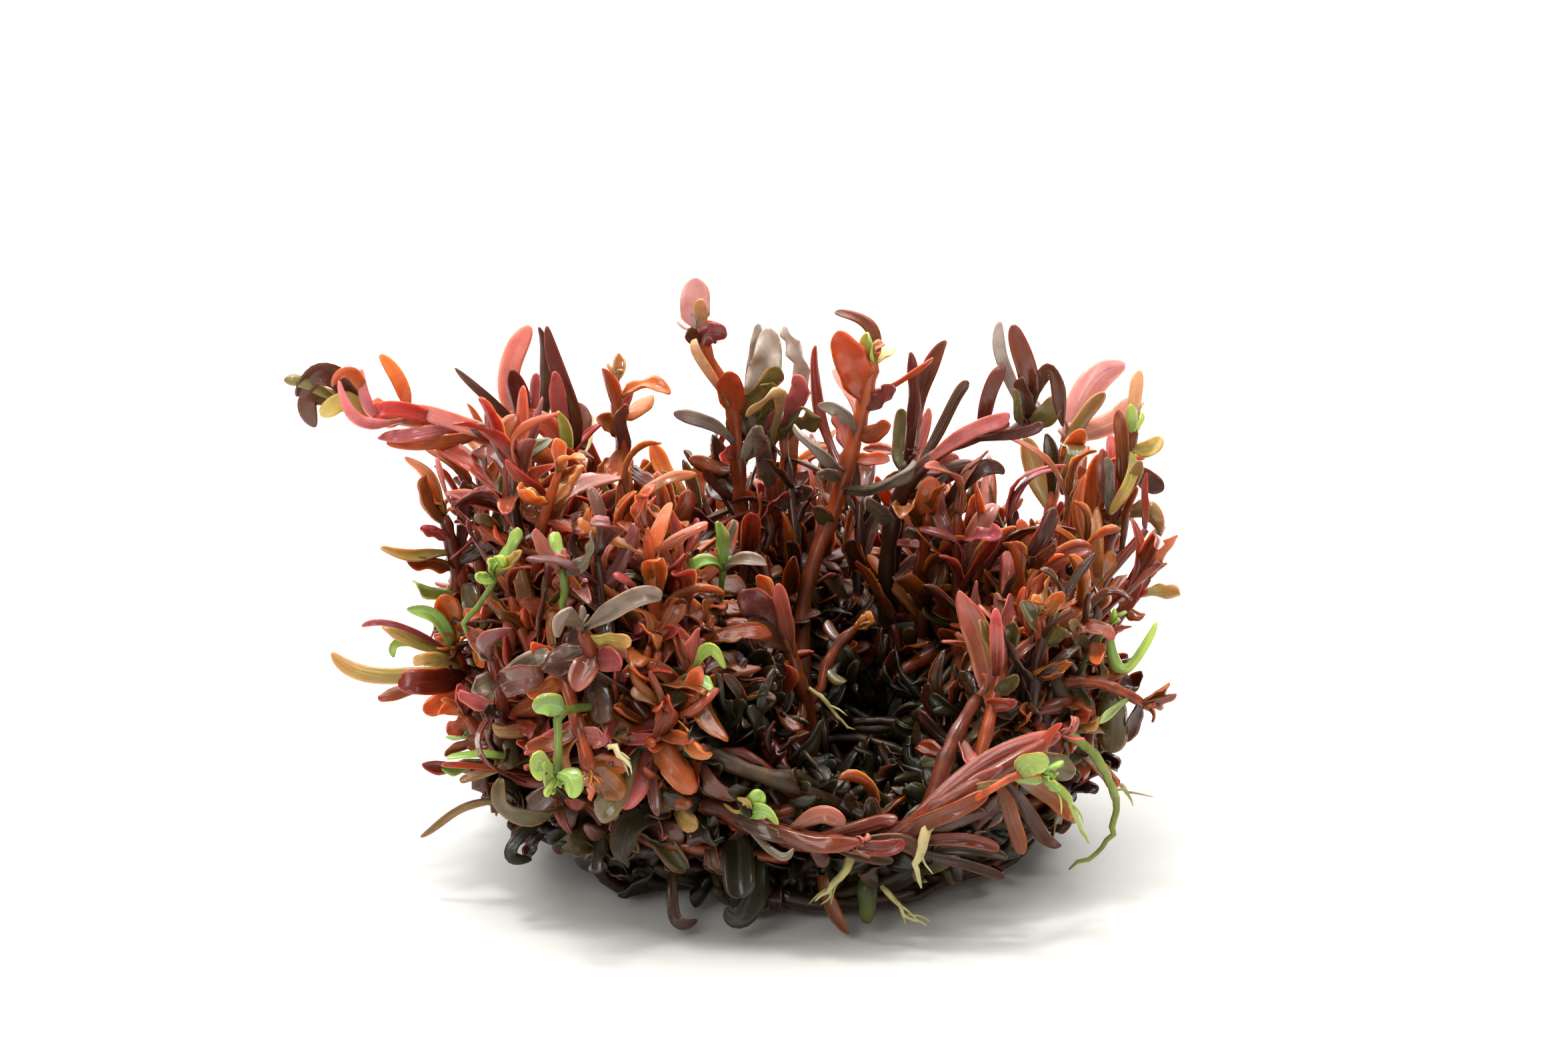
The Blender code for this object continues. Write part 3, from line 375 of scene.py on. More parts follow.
class LeafTint(SharedGroup):
    """Colour of a leaf: heart to tip, a pale margin that is partly a painted edge highlight, midrib,
    mottling, dark streaks, a painted shade on one half and at the base, pale underside, and the painted
    shade of the growth.

    A range is (from, to) and, where given, the values there. A scaling is (times, plus).
    """

    title = "leaf tint"
    takes = (
        *colour_ports("Heart", "Tip", "Margin", "Vein", "Under", "Young"),
        Port("Mottle Scale", value=900.0),
        Port("Mottle Amount", value=0.5),
        Port("Spread", value=0.3),
    )
    gives = (*colour_ports("Colour"), Port("Vein Mask"))
    tip_start_scaling = (0.35, 0.1)
    tip_cloud_scaling = (0.5, -0.25)
    rim_cloud = 0.3
    rim_range = (0.72, 1.2)
    rim_share = 0.6
    painted_half_range = (-0.14, 0.14)
    painted_half_chance = (0.45, 0.9, 0.0, 0.75)
    painted_half_shade = (0.45, 0.42, 0.34, 1.0)
    vein_share = 0.5
    patch_range = (0.42, 0.68)
    patch_shade = (0.42, 0.34, 0.36, 1.0)
    streak_range = (0.46, 0.66, 0.0, 0.75)
    streak_shade = (0.44, 0.40, 0.34, 1.0)
    painted_base_shade_range = (0.0, 0.55, 0.75, 0.0)
    under_share = 0.45
    young_cloud_scaling = (-0.9, 1.25)
    hue_scaling = (0.03, 0.489)
    midrib_range = (0.03, 0.16, 1.0, 0.0)
    midrib_fade = (0.55, 1.0, 1.0, 0.2)
    side_vein_slant = -0.16
    side_vein_gap = 0.065
    side_vein_range = (0.0, 0.02, 1.0, 0.0)
    side_vein_fade = (0.1, 0.9, 0.5, 0.0)
    side_vein_share = 0.45
    streak_stretch = (1.3, 0.37)
    streak_scale = 1.7
    streak_detail = 3.0

    def fill(self, desk: NodeDesk, taken: bpy.types.NodeOutputs) -> dict[str, object]:
        """Place the group's own nodes.

        Args:
            desk: The desk of the group's tree.
            taken: The group's inputs, by name.

        Returns:
            The colour and the vein mask.
        """
        along = desk.attribute("along")
        side = desk.attribute("across")
        across = desk.math("ABSOLUTE", side)
        seed = desk.math("ROUND", desk.math("MULTIPLY", desk.attribute("leaf_seed"), float(SEED_STEPS)))
        chance = desk.place("ShaderNodeTexWhiteNoise", noise_dimensions="1D")
        desk.feed(chance.inputs["W"], seed)
        chances = desk.place("ShaderNodeSeparateColor")
        desk.feed(chances.inputs[0], chance.outputs["Color"])
        first, second, third = chances.outputs[:3]
        cloud = desk.noise(taken["Mottle Scale"], 4.0, shift=chance.outputs["Color"])
        start = desk.math("MULTIPLY_ADD", first, *self.tip_start_scaling)
        reach = desk.math("ADD", along, desk.math("MULTIPLY_ADD", cloud, *self.tip_cloud_scaling))
        colour = desk.blend(desk.ramp(reach, start, 1.0), taken["Heart"], taken["Tip"])
        # A pale margin, partly the leaf's own thin edge and partly a painted highlight along the edge
        rim = desk.ramp(desk.math("MULTIPLY_ADD", cloud, self.rim_cloud, across), *self.rim_range)
        colour = desk.blend(desk.math("MULTIPLY", rim, self.rim_share), colour, taken["Margin"])
        # A painted shade on one half of some leaves, as if the fold turned that half from the light
        lean = desk.ramp(second, *self.painted_half_chance)
        painted_half = desk.math("MULTIPLY", desk.ramp(side, *self.painted_half_range), lean)
        colour = desk.shade(painted_half, colour, self.painted_half_shade)
        veins = self.veins(desk, along, across)
        colour = desk.blend(desk.math("MULTIPLY", veins, self.vein_share), colour, taken["Vein"])
        patches = desk.math("MULTIPLY", desk.ramp(cloud, *self.patch_range), taken["Mottle Amount"])
        colour = desk.shade(patches, colour, self.patch_shade)
        # One darker colour makes the leaf's own dark streaks and a painted shade at its base
        dim = desk.blend(1.0, colour, self.streak_shade, "MULTIPLY")
        streaks = desk.ramp(self.streak_noise(desk, along, side, seed), *self.streak_range)
        colour = desk.blend(streaks, colour, dim)
        colour = desk.blend(desk.ramp(along, *self.painted_base_shade_range), colour, dim)
        under = desk.math("MULTIPLY", desk.attribute("under"), self.under_share)
        colour = desk.blend(under, colour, taken["Under"])
        age_and_shade = GrowthAgeAndShade().use(desk)
        clear = desk.math("MULTIPLY_ADD", cloud, *self.young_cloud_scaling)
        colour = desk.blend(desk.math("MULTIPLY", age_and_shade["Young"], clear), colour, taken["Young"])
        # The painted shade at the foot, in the hollow and on buried growth
        colour = desk.blend(1.0, colour, age_and_shade["Shade"], "MULTIPLY")
        vary = desk.place("ShaderNodeHueSaturation")
        desk.feed(vary.inputs["Hue"], desk.math("MULTIPLY_ADD", second, *self.hue_scaling))
        spread = desk.math("MULTIPLY", desk.math("SUBTRACT", third, 0.5), taken["Spread"])
        desk.feed(vary.inputs["Value"], desk.math("ADD", desk.math("MULTIPLY", spread, 2.0), 1.0))
        desk.feed(vary.inputs["Color"], colour)
        return {"Colour": vary.outputs[0], "Vein Mask": veins}

    def veins(self, desk: NodeDesk, along: object, across: object) -> object:
        """Draw the midrib and the slanting side veins.

        Args:
            desk: The desk of the group's tree.
            along: The place along the leaf, 0 to 1.
            across: The distance from the leaf's middle line, 0 to 1.

        Returns:
            The mask of the veins.
        """
        slant = desk.math("ADD", desk.math("MULTIPLY", across, self.side_vein_slant), along)
        rows = desk.math("PINGPONG", slant, self.side_vein_gap)
        side_veins = desk.math("MULTIPLY", desk.ramp(rows, *self.side_vein_range),
                               desk.ramp(across, *self.side_vein_fade))
        midrib = desk.math("MULTIPLY", desk.ramp(across, *self.midrib_range),
                           desk.ramp(along, *self.midrib_fade))
        return desk.math("MAXIMUM", midrib, desk.math("MULTIPLY", side_veins, self.side_vein_share))

    def streak_noise(self, desk: NodeDesk, along: object, side: object, seed: object) -> object:
        """Place a noise that runs along the leaf and differs from leaf to leaf.

        Args:
            desk: The desk of the group's tree.
            along: The place along the leaf, 0 to 1.
            side: The place across it, -1 to 1.
            seed: The leaf's own number.

        Returns:
            The noise, 0 to 1.
        """
        across, apart = (desk.math("MULTIPLY", *pair) for pair in zip((side, seed), self.streak_stretch))
        spot = desk.place("ShaderNodeCombineXYZ")
        for socket, value in zip(spot.inputs, (along, across, apart)):
            desk.feed(socket, value)
        node = desk.place("ShaderNodeTexNoise")
        desk.feed(node.inputs["Vector"], spot.outputs[0])
        desk.feed(node.inputs["Scale"], self.streak_scale)
        desk.feed(node.inputs["Detail"], self.streak_detail)
        return node.outputs["Fac"]


class LeafRelief(SharedGroup):
    """Relief of a leaf: a sunk midrib, fine side veins and soft wrinkles."""

    title = "leaf relief"
    takes = (Port("Veins"), Port("Vein Depth", value=0.5), Port("Wrinkle Scale", value=1500.0))
    gives = (Port("Height"),)

    def fill(self, desk: NodeDesk, taken: bpy.types.NodeOutputs) -> dict[str, object]:
        """Place the group's own nodes.

        Args:
            desk: The desk of the group's tree.
            taken: The group's inputs, by name.

        Returns:
            The height.
        """
        wrinkles = desk.noise(taken["Wrinkle Scale"], 5.0)
        sunk = desk.math("MULTIPLY", taken["Veins"], taken["Vein Depth"])
        return {"Height": desk.math("SUBTRACT", wrinkles, sunk)}


class WetFilm(SharedGroup):
    """A film of water in patches, thin on buried growth: it makes the surface smoother and coats it."""

    title = "wet film"
    takes = (
        Port("Dry Roughness", value=0.5),
        Port("Wet Roughness", value=0.2),
        Port("Film Scale", value=350.0),
        Port("Coat", value=0.6),
    )
    gives = (Port("Roughness"), Port("Coat Weight"))
    film_range = (0.35, 0.62)
    buried_range = (0.0, 1.0, 1.0, 0.3)

    def fill(self, desk: NodeDesk, taken: bpy.types.NodeOutputs) -> dict[str, object]:
        """Place the group's own nodes.

        Args:
            desk: The desk of the group's tree.
            taken: The group's inputs, by name.

        Returns:
            The roughness and the coat weight.
        """
        film = desk.ramp(desk.noise(taken["Film Scale"], 2.0), *self.film_range)
        film = desk.math("MULTIPLY", film, desk.ramp(desk.attribute("buried"), *self.buried_range))
        gap = desk.math("SUBTRACT", taken["Wet Roughness"], taken["Dry Roughness"])
        rough = desk.math("MULTIPLY_ADD", film, gap, taken["Dry Roughness"])
        return {"Roughness": rough, "Coat Weight": desk.math("MULTIPLY", film, taken["Coat"])}


class StemTint(SharedGroup):
    """Colour of a stem: lower to upper growth, dark rings at the nodes, fine streaks along it, and the
    painted shade of the growth.
    """

    title = "stem tint"
    takes = (*colour_ports("Lower", "Upper", "Ring", "Young"), Port("Streaks", value=0.5))
    gives = (*colour_ports("Colour"), Port("Streak Height"))
    cloud_scale = 500.0
    cloud_scaling = (0.6, -0.3)
    upper_range = (0.1, 0.85)
    ring_share = 0.6
    young_share = 0.8
    streak_scale = 1400.0
    streak_stretch = (1.0, 1.0, 0.12)
    streak_range = (0.4, 0.66)
    streak_shade = (0.35, 0.3, 0.3, 1.0)
    value_scaling = (0.6, 0.7)

    def fill(self, desk: NodeDesk, taken: bpy.types.NodeOutputs) -> dict[str, object]:
        """Place the group's own nodes.

        Args:
            desk: The desk of the group's tree.
            taken: The group's inputs, by name.

        Returns:
            The colour and the height of the streaks.
        """
        cloud = desk.math("MULTIPLY_ADD", desk.noise(self.cloud_scale, 4.0), *self.cloud_scaling)
        reach = desk.math("ADD", desk.attribute("along"), cloud)
        colour = desk.blend(desk.ramp(reach, *self.upper_range), taken["Lower"], taken["Upper"])
        rings = desk.math("MULTIPLY", desk.attribute("node_ring"), self.ring_share)
        colour = desk.blend(rings, colour, taken["Ring"])
        age_and_shade = GrowthAgeAndShade().use(desk)
        colour = desk.blend(desk.math("MULTIPLY", age_and_shade["Young"], self.young_share), colour, taken["Young"])
        # The painted shade at the foot, in the hollow and on buried growth
        colour = desk.blend(1.0, colour, age_and_shade["Shade"], "MULTIPLY")
        streaks = desk.noise(self.streak_scale, 2.0, self.streak_stretch)
        share = desk.math("MULTIPLY", desk.ramp(streaks, *self.streak_range), taken["Streaks"])
        vary = desk.place("ShaderNodeHueSaturation")
        value = desk.math("MULTIPLY_ADD", desk.attribute("leaf_seed"), *self.value_scaling)
        desk.feed(vary.inputs["Value"], value)
        desk.feed(vary.inputs["Color"], desk.shade(share, colour, self.streak_shade))
        return {"Colour": vary.outputs[0], "Streak Height": streaks}


def principled(name: str) -> tuple[bpy.types.Material, NodeDesk, bpy.types.Node]:
    """Make an empty material with one Principled shader.

    Args:
        name: The material's name.

    Returns:
        The material, a desk for its tree and its shader node.
    """
    material = bpy.data.materials.new(name)
    material.use_nodes = True
    shader = material.node_tree.nodes["Principled BSDF"]
    return material, NodeDesk(material.node_tree), shader


def add_bump(desk: NodeDesk, shader: bpy.types.Node, height: object, depth: float, strength: float) -> None:
    """Feed a height to a shader's normal.

    Args:
        desk: The desk of the material's tree.
        shader: The Principled node.
        height: The height, 0 to 1.
        depth: What a height of 1 stands for, in mm.
        strength: The Bump node's strength.
    """
    bump = desk.place("ShaderNodeBump")
    for name, value in (("Strength", strength), ("Distance", depth * MM), ("Height", height)):
        desk.feed(bump.inputs[name], value)
    desk.feed(shader.inputs["Normal"], bump.outputs[0])


@dataclass(frozen=True)
class WetFinish:
    """What leaves and stems share: a skin that light gets into, under a film of water. Depths are in mm."""

    name: str
    slot: str
    _: KW_ONLY
    glow: float
    glow_depth: float
    glow_reach: tuple[float, float, float]
    roughness: float
    wet_roughness: float
    coat: float
    coat_roughness: float
    # How strongly the painted shade darkens this finish where the growth is buried, 0 to 1
    shaded: float = 1.0

    def dress(self, desk: NodeDesk, shader: bpy.types.Node, colour: object) -> None:
        """Give a shader the skin's colour, its inner light and its film of water.

        Args:
            desk: The desk of the material's tree.
            shader: The Principled node.
            colour: The skin's colour.
        """
        desk.feed(shader.inputs["Base Color"], colour)
        film = WetFilm().use(desk, Dry_Roughness=self.roughness, Wet_Roughness=self.wet_roughness,
                             Coat=self.coat)
        for name in ("Roughness", "Coat Weight"):
            desk.feed(shader.inputs[name], film[name])
        plain = {"IOR": LEAF_IOR, "Coat IOR": WATER_IOR, "Coat Roughness": self.coat_roughness,
                 "Subsurface Weight": self.glow, "Subsurface Radius": self.glow_reach,
                 "Subsurface Scale": self.glow_depth * MM}
        for name, value in plain.items():
            desk.feed(shader.inputs[name], value)


@dataclass(frozen=True)
class LeafFinish(WetFinish):
    """The finish of one tone of leaf."""

    heart: Tint
    tip: Tint
    margin: Tint
    vein: Tint
    under: Tint
    young: Tint
    _: KW_ONLY
    glow: float = 0.6
    glow_depth: float = 0.5
    glow_reach: tuple[float, float, float] = (1.0, 0.42, 0.22)
    roughness: float = 0.42
    wet_roughness: float = 0.2
    coat: float = 0.9
    coat_roughness: float = 0.05
    mottle: float = 0.5
    spread: float = 0.28
    relief: Span = (0.12, 0.42)

    @cache
    def material(self) -> bpy.types.Material:
        """Build the material of this tone, once."""
        material, desk, shader = principled(self.name)
        tint = LeafTint().use(desk, Heart=linear(*self.heart), Tip=linear(*self.tip),
                              Margin=linear(*self.margin), Vein=linear(*self.vein),
                              Under=linear(*self.under), Young=linear(*self.young),
                              Mottle_Amount=self.mottle, Spread=self.spread)
        self.dress(desk, shader, tint["Colour"])
        relief = LeafRelief().use(desk, Veins=tint["Vein Mask"])
        add_bump(desk, shader, relief["Height"], *self.relief)
        return material


@dataclass(frozen=True)
class StemFinish(WetFinish):
    """The finish of one kind of stem or root."""

    lower: Tint
    upper: Tint
    ring: Tint
    young: Tint
    _: KW_ONLY
    glow: float = 0.3
    glow_depth: float = 0.6
    glow_reach: tuple[float, float, float] = (1.0, 0.4, 0.25)
    roughness: float = 0.45
    wet_roughness: float = 0.25
    coat: float = 0.4
    coat_roughness: float = 0.15
    streaks: float = 0.5
    relief: Span = (0.1, 0.5)

    @cache
    def material(self) -> bpy.types.Material:
        """Build the material of this kind of stem, once."""
        material, desk, shader = principled(self.name)
        tint = StemTint().use(desk, Lower=linear(*self.lower), Upper=linear(*self.upper),
                              Ring=linear(*self.ring), Young=linear(*self.young), Streaks=self.streaks)
        self.dress(desk, shader, tint["Colour"])
        add_bump(desk, shader, tint["Streak Height"], *self.relief)
        return material


# Each tone's colours: heart, tip, margin, vein, underside and young growth; the pale margin is partly the
# leaf's own edge and partly a painted edge highlight
LEAF_FINISHES = {
    Tone.ROSE: LeafFinish("rose_leaf", "pink_leaf", (132, 62, 42), (180, 74, 72), (206, 112, 100),
                          (190, 104, 94), (176, 96, 90), (222, 134, 136), glow=0.7),
    Tone.BLUSH: LeafFinish("blush_leaf", "pink_leaf", (178, 104, 72), (206, 142, 132), (222, 178, 168),
                           (216, 158, 146), (206, 144, 134), (230, 190, 186), glow=0.7, mottle=0.4),
    Tone.AMBER: LeafFinish("amber_leaf", "orange_leaf", (152, 80, 26), (210, 94, 42), (226, 122, 64),
                           (206, 126, 60), (192, 110, 56), (230, 138, 88), glow=0.75, glow_depth=0.8),
    Tone.ORANGE: LeafFinish("orange_brown_leaf", "orange_leaf", (122, 60, 20), (174, 74, 28), (198, 96, 44),
                            (172, 96, 46), (150, 82, 40), (212, 108, 58), glow=0.65),
    Tone.RED: LeafFinish("red_leaf", "red_leaf", (102, 44, 18), (154, 52, 28), (178, 72, 42),
                         (160, 74, 44), (140, 64, 40), (194, 78, 52), glow=0.65),
    Tone.MAROON: LeafFinish("maroon_leaf", "maroon_leaf", (56, 32, 16), (86, 36, 24), (116, 54, 38),
                            (100, 56, 38), (90, 52, 40), (118, 52, 42), glow=0.45),
    Tone.VIOLET: LeafFinish("violet_leaf", "maroon_leaf", (84, 46, 34), (118, 58, 52), (140, 78, 68),
                            (126, 80, 70), (116, 72, 64), (158, 92, 92), glow=0.4),
    Tone.GREEN: LeafFinish("green_leaf", "green_leaf", (118, 152, 46), (168, 200, 84), (180, 210, 98),
                           (184, 212, 114), (162, 190, 104), (192, 216, 112), glow=0.6, mottle=0.3,
                           spread=0.16, shaded=0.2),
    Tone.OLIVE: LeafFinish("olive_leaf", "olive_leaf", (80, 76, 34), (104, 78, 42), (126, 96, 54),
                           (120, 108, 62), (104, 94, 60), (122, 108, 58), glow=0.45),
    Tone.YELLOW: LeafFinish("yellow_leaf", "green_leaf", (150, 148, 62), (184, 130, 66), (206, 158, 88),
                            (194, 180, 106), (180, 160, 92), (218, 200, 112), glow=0.65, mottle=0.35,
                            spread=0.15, shaded=0.4),
    # Grey-olive leaves whose pale grey is partly a painted wet sheen
    Tone.GREY_AND_PAINTED_SHEEN: LeafFinish("grey_leaf_and_painted_sheen", "olive_leaf", (92, 82, 60), (136, 118, 100), (186, 170, 152),
                            (150, 132, 112), (128, 112, 94), (200, 188, 178), glow=0.3, roughness=0.5,
                            mottle=0.9),
    Tone.BROWN: LeafFinish("brown_leaf", "maroon_leaf", (52, 36, 22), (74, 42, 28), (104, 64, 44),
                           (90, 62, 46), (76, 52, 40), (104, 60, 44), glow=0.35, coat=0.7),
    Tone.TAN: LeafFinish("tan_leaf", "orange_leaf", (146, 116, 66), (168, 110, 66), (190, 140, 94),
                         (184, 152, 106), (168, 134, 88), (226, 186, 136), glow=0.6, mottle=0.35),
    Tone.MOSS: LeafFinish("moss_leaf", "olive_leaf", (42, 40, 23), (52, 44, 26), (70, 62, 40),
                          (66, 62, 40), (54, 50, 34), (64, 58, 36), glow=0.3, coat=0.45,
                          wet_roughness=0.3),
}

YOUNG_STEM = StemFinish("young_stem", "orange_leaf", (136, 62, 28), (182, 80, 36), (100, 38, 19),
                        (226, 112, 56))
RED_STEM = StemFinish("red_stem", "red_leaf", (104, 44, 24), (146, 60, 34), (70, 27, 17), (194, 84, 50))
DARK_STEM = StemFinish("dark_stem", "maroon_leaf", (54, 32, 21), (78, 38, 27), (36, 20, 14),
                       (128, 58, 40))
GREEN_STEM = StemFinish("green_stem", "green_leaf", (92, 92, 42), (114, 134, 54), (84, 94, 38),
                        (134, 154, 70), shaded=0.6)
WOVEN_STEM = StemFinish("woven_stem", "woven_stems", (66, 55, 34), (90, 62, 38), (44, 34, 22),
                        (112, 66, 40), glow=0.2, roughness=0.6, wet_roughness=0.4, coat=0.2)
MATTED_HEART = StemFinish("matted_heart", "woven_stems", (72, 62, 42), (80, 64, 42), (48, 40, 26),
                          (196, 92, 50), glow=0.0, roughness=0.75, wet_roughness=0.5, coat=0.1,
                          streaks=0.8)
PALE_ROOT = StemFinish("pale_root", "root", (186, 168, 118), (206, 194, 150), (156, 138, 92),
                       (214, 204, 164), streaks=0.35)
GREEN_ROOT = StemFinish("green_root", "root", (136, 150, 66), (164, 176, 90), (116, 126, 56),
                        (176, 186, 104), streaks=0.3)
STUB_STEM = StemFinish("stub_stem", "olive_leaf", (74, 84, 32), (96, 106, 44), (58, 64, 26),
                       (110, 120, 56), streaks=0.3)

# The stem that goes with each tone of leaf, by the tones' letters
STEM_FINISHES = {Tone(letter): stem for letters, stem in (
    ("PHR", RED_STEM), ("AOT", YOUNG_STEM), ("MVLSB", DARK_STEM), ("GY", GREEN_STEM), ("D", WOVEN_STEM),
) for letter in letters}


def smooth_route(points: list[Vector], step: float) -> np.ndarray:
    """Lay points about one step apart on a smooth curve through a route.

    Args:
        points: The route's own points, in mm.
        step: The distance between the curve's points, in mm.

    Returns:
        The curve, one row for each point.
    """
    route = np.array([tuple(p) for p in points], float)
    ends = np.vstack([2 * route[0] - route[1], route, 2 * route[-1] - route[-2]])
    curve = []
    for a, b, c, d in zip(ends, ends[1:], ends[2:], ends[3:]):
        pieces = max(2, round(float(np.linalg.norm(c - b)) / step))
        for t in np.arange(pieces) / pieces:
            curve.append(0.5 * (2 * b + (c - a) * t + (2 * a - 5 * b + 4 * c - d) * t * t
                                + (3 * b - a - 3 * c + d) * t * t * t))
    curve.append(route[-1])
    return np.array(curve)


def lengths_along(curve: np.ndarray) -> np.ndarray:
    """The length of a curve up to each of its points."""
    return np.concatenate([[0.0], np.cumsum(np.linalg.norm(np.diff(curve, axis=0), axis=1))])


def place_on(curve: np.ndarray, share: float) -> tuple[Vector, Vector]:
    """Find a place on a curve by its share of the curve's length.

    Args:
        curve: The curve's points.
        share: The share of its length, 0 to 1.

    Returns:
        The place and the curve's heading there.
    """
    lengths = lengths_along(curve)
    target = share * lengths[-1]
    k = min(int(np.searchsorted(lengths, target, side="right")) - 1, len(curve) - 2)
    rest = (target - lengths[k]) / max(lengths[k + 1] - lengths[k], TINY)
    place = curve[k] + (curve[k + 1] - curve[k]) * rest
    return Vector(place), Vector(curve[k + 1] - curve[k]).normalized()


def chance_vector(rng: random.Random, *spreads: float) -> Vector:
    """Draw a vector with a normal spread along each of the first axes."""
    return Vector([rng.gauss(0, spread) for spread in spreads] + [0.0] * (3 - len(spreads)))


def chance_seed(rng: random.Random) -> float:
    """Draw a leaf's own number."""
    return rng.randrange(1, SEED_STEPS - 1) / SEED_STEPS


def unit_rows(rows: np.ndarray) -> np.ndarray:
    """Each row made one long."""
    return rows / np.maximum(np.linalg.norm(rows, axis=-1, keepdims=True), TINY)


def carried_side(headings: np.ndarray, start: np.ndarray, first: int) -> np.ndarray:
    """Carry a side vector along a curve with as little turning as it can.

    Args:
        headings: The curve's heading at each point.
        start: The side vector at one of the points.
        first: The number of that point.

    Returns:
        A vector square to the heading at each point.
    """
    sides = np.zeros_like(headings)
    for order in (range(first, len(headings)), range(first, -1, -1)):
        side = start
        for k in order:
            side = side - headings[k] * float(side @ headings[k])
            side = side / max(float(np.linalg.norm(side)), TINY)
            sides[k] = side
    return sides


@cache
def blade_faces(stations: int, lanes: int) -> np.ndarray:
    """The faces of a closed blade: its upper grid, then its lower one, which share their outer points.

    Args:
        stations: How many steps the grid has along the leaf.
        lanes: How many steps it has across the leaf.

    Returns:
        Point numbers, four in each row.
    """
    upper = np.arange((stations + 1) * (lanes + 1)).reshape(stations + 1, lanes + 1)
    lower = upper.copy()
    inner = (stations - 1) * (lanes - 1)
    lower[1:-1, 1:-1] = upper.size + np.arange(inner).reshape(stations - 1, lanes - 1)
    top = np.stack([upper[:-1, :-1], upper[1:, :-1], upper[1:, 1:], upper[:-1, 1:]], axis=-1)
    bottom = np.stack([lower[:-1, :-1], lower[:-1, 1:], lower[1:, 1:], lower[1:, :-1]], axis=-1)
    return np.concatenate([top.reshape(-1, 4), bottom.reshape(-1, 4)])


# How high the thick growth stands in the photo: place across it and height above the floor, in mm, for
# growth at the middle of the clump, and how much lower it is for each mm further back
THICK_GROWTH = [(-32, 32.0), (-28, 35.0), (-20, 37.5), (-15, 35.5), (-11, 32.0), (-6, 34.5), (2, 36.5),
                (8, 34.5), (13, 35.0), (20, 34.0), (26, 34.5), (32, 32.0)]
THICK_FALL = 0.3


def thick_height(across: np.ndarray, back: np.ndarray) -> np.ndarray:
    """The heights that the thick growth reaches at places across and back, in mm."""
    return np.interp(across, *zip(*THICK_GROWTH)) - THICK_FALL * back


@cache
def nest_tree() -> BVHTree:
    """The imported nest's surface in mm, to measure distances from."""
    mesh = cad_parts["stem_tangle"].data
    mesh.calc_loop_triangles()
    points = [tuple(v.co / MM) for v in mesh.vertices]
    return BVHTree.FromPolygons(points, [tuple(t.vertices) for t in mesh.loop_triangles])


@dataclass
class Marks:
    """The numbers that every point of a piece carries for its finish."""

    along: np.ndarray
    across: np.ndarray
    leaf_seed: float
    under: np.ndarray
    node_ring: np.ndarray


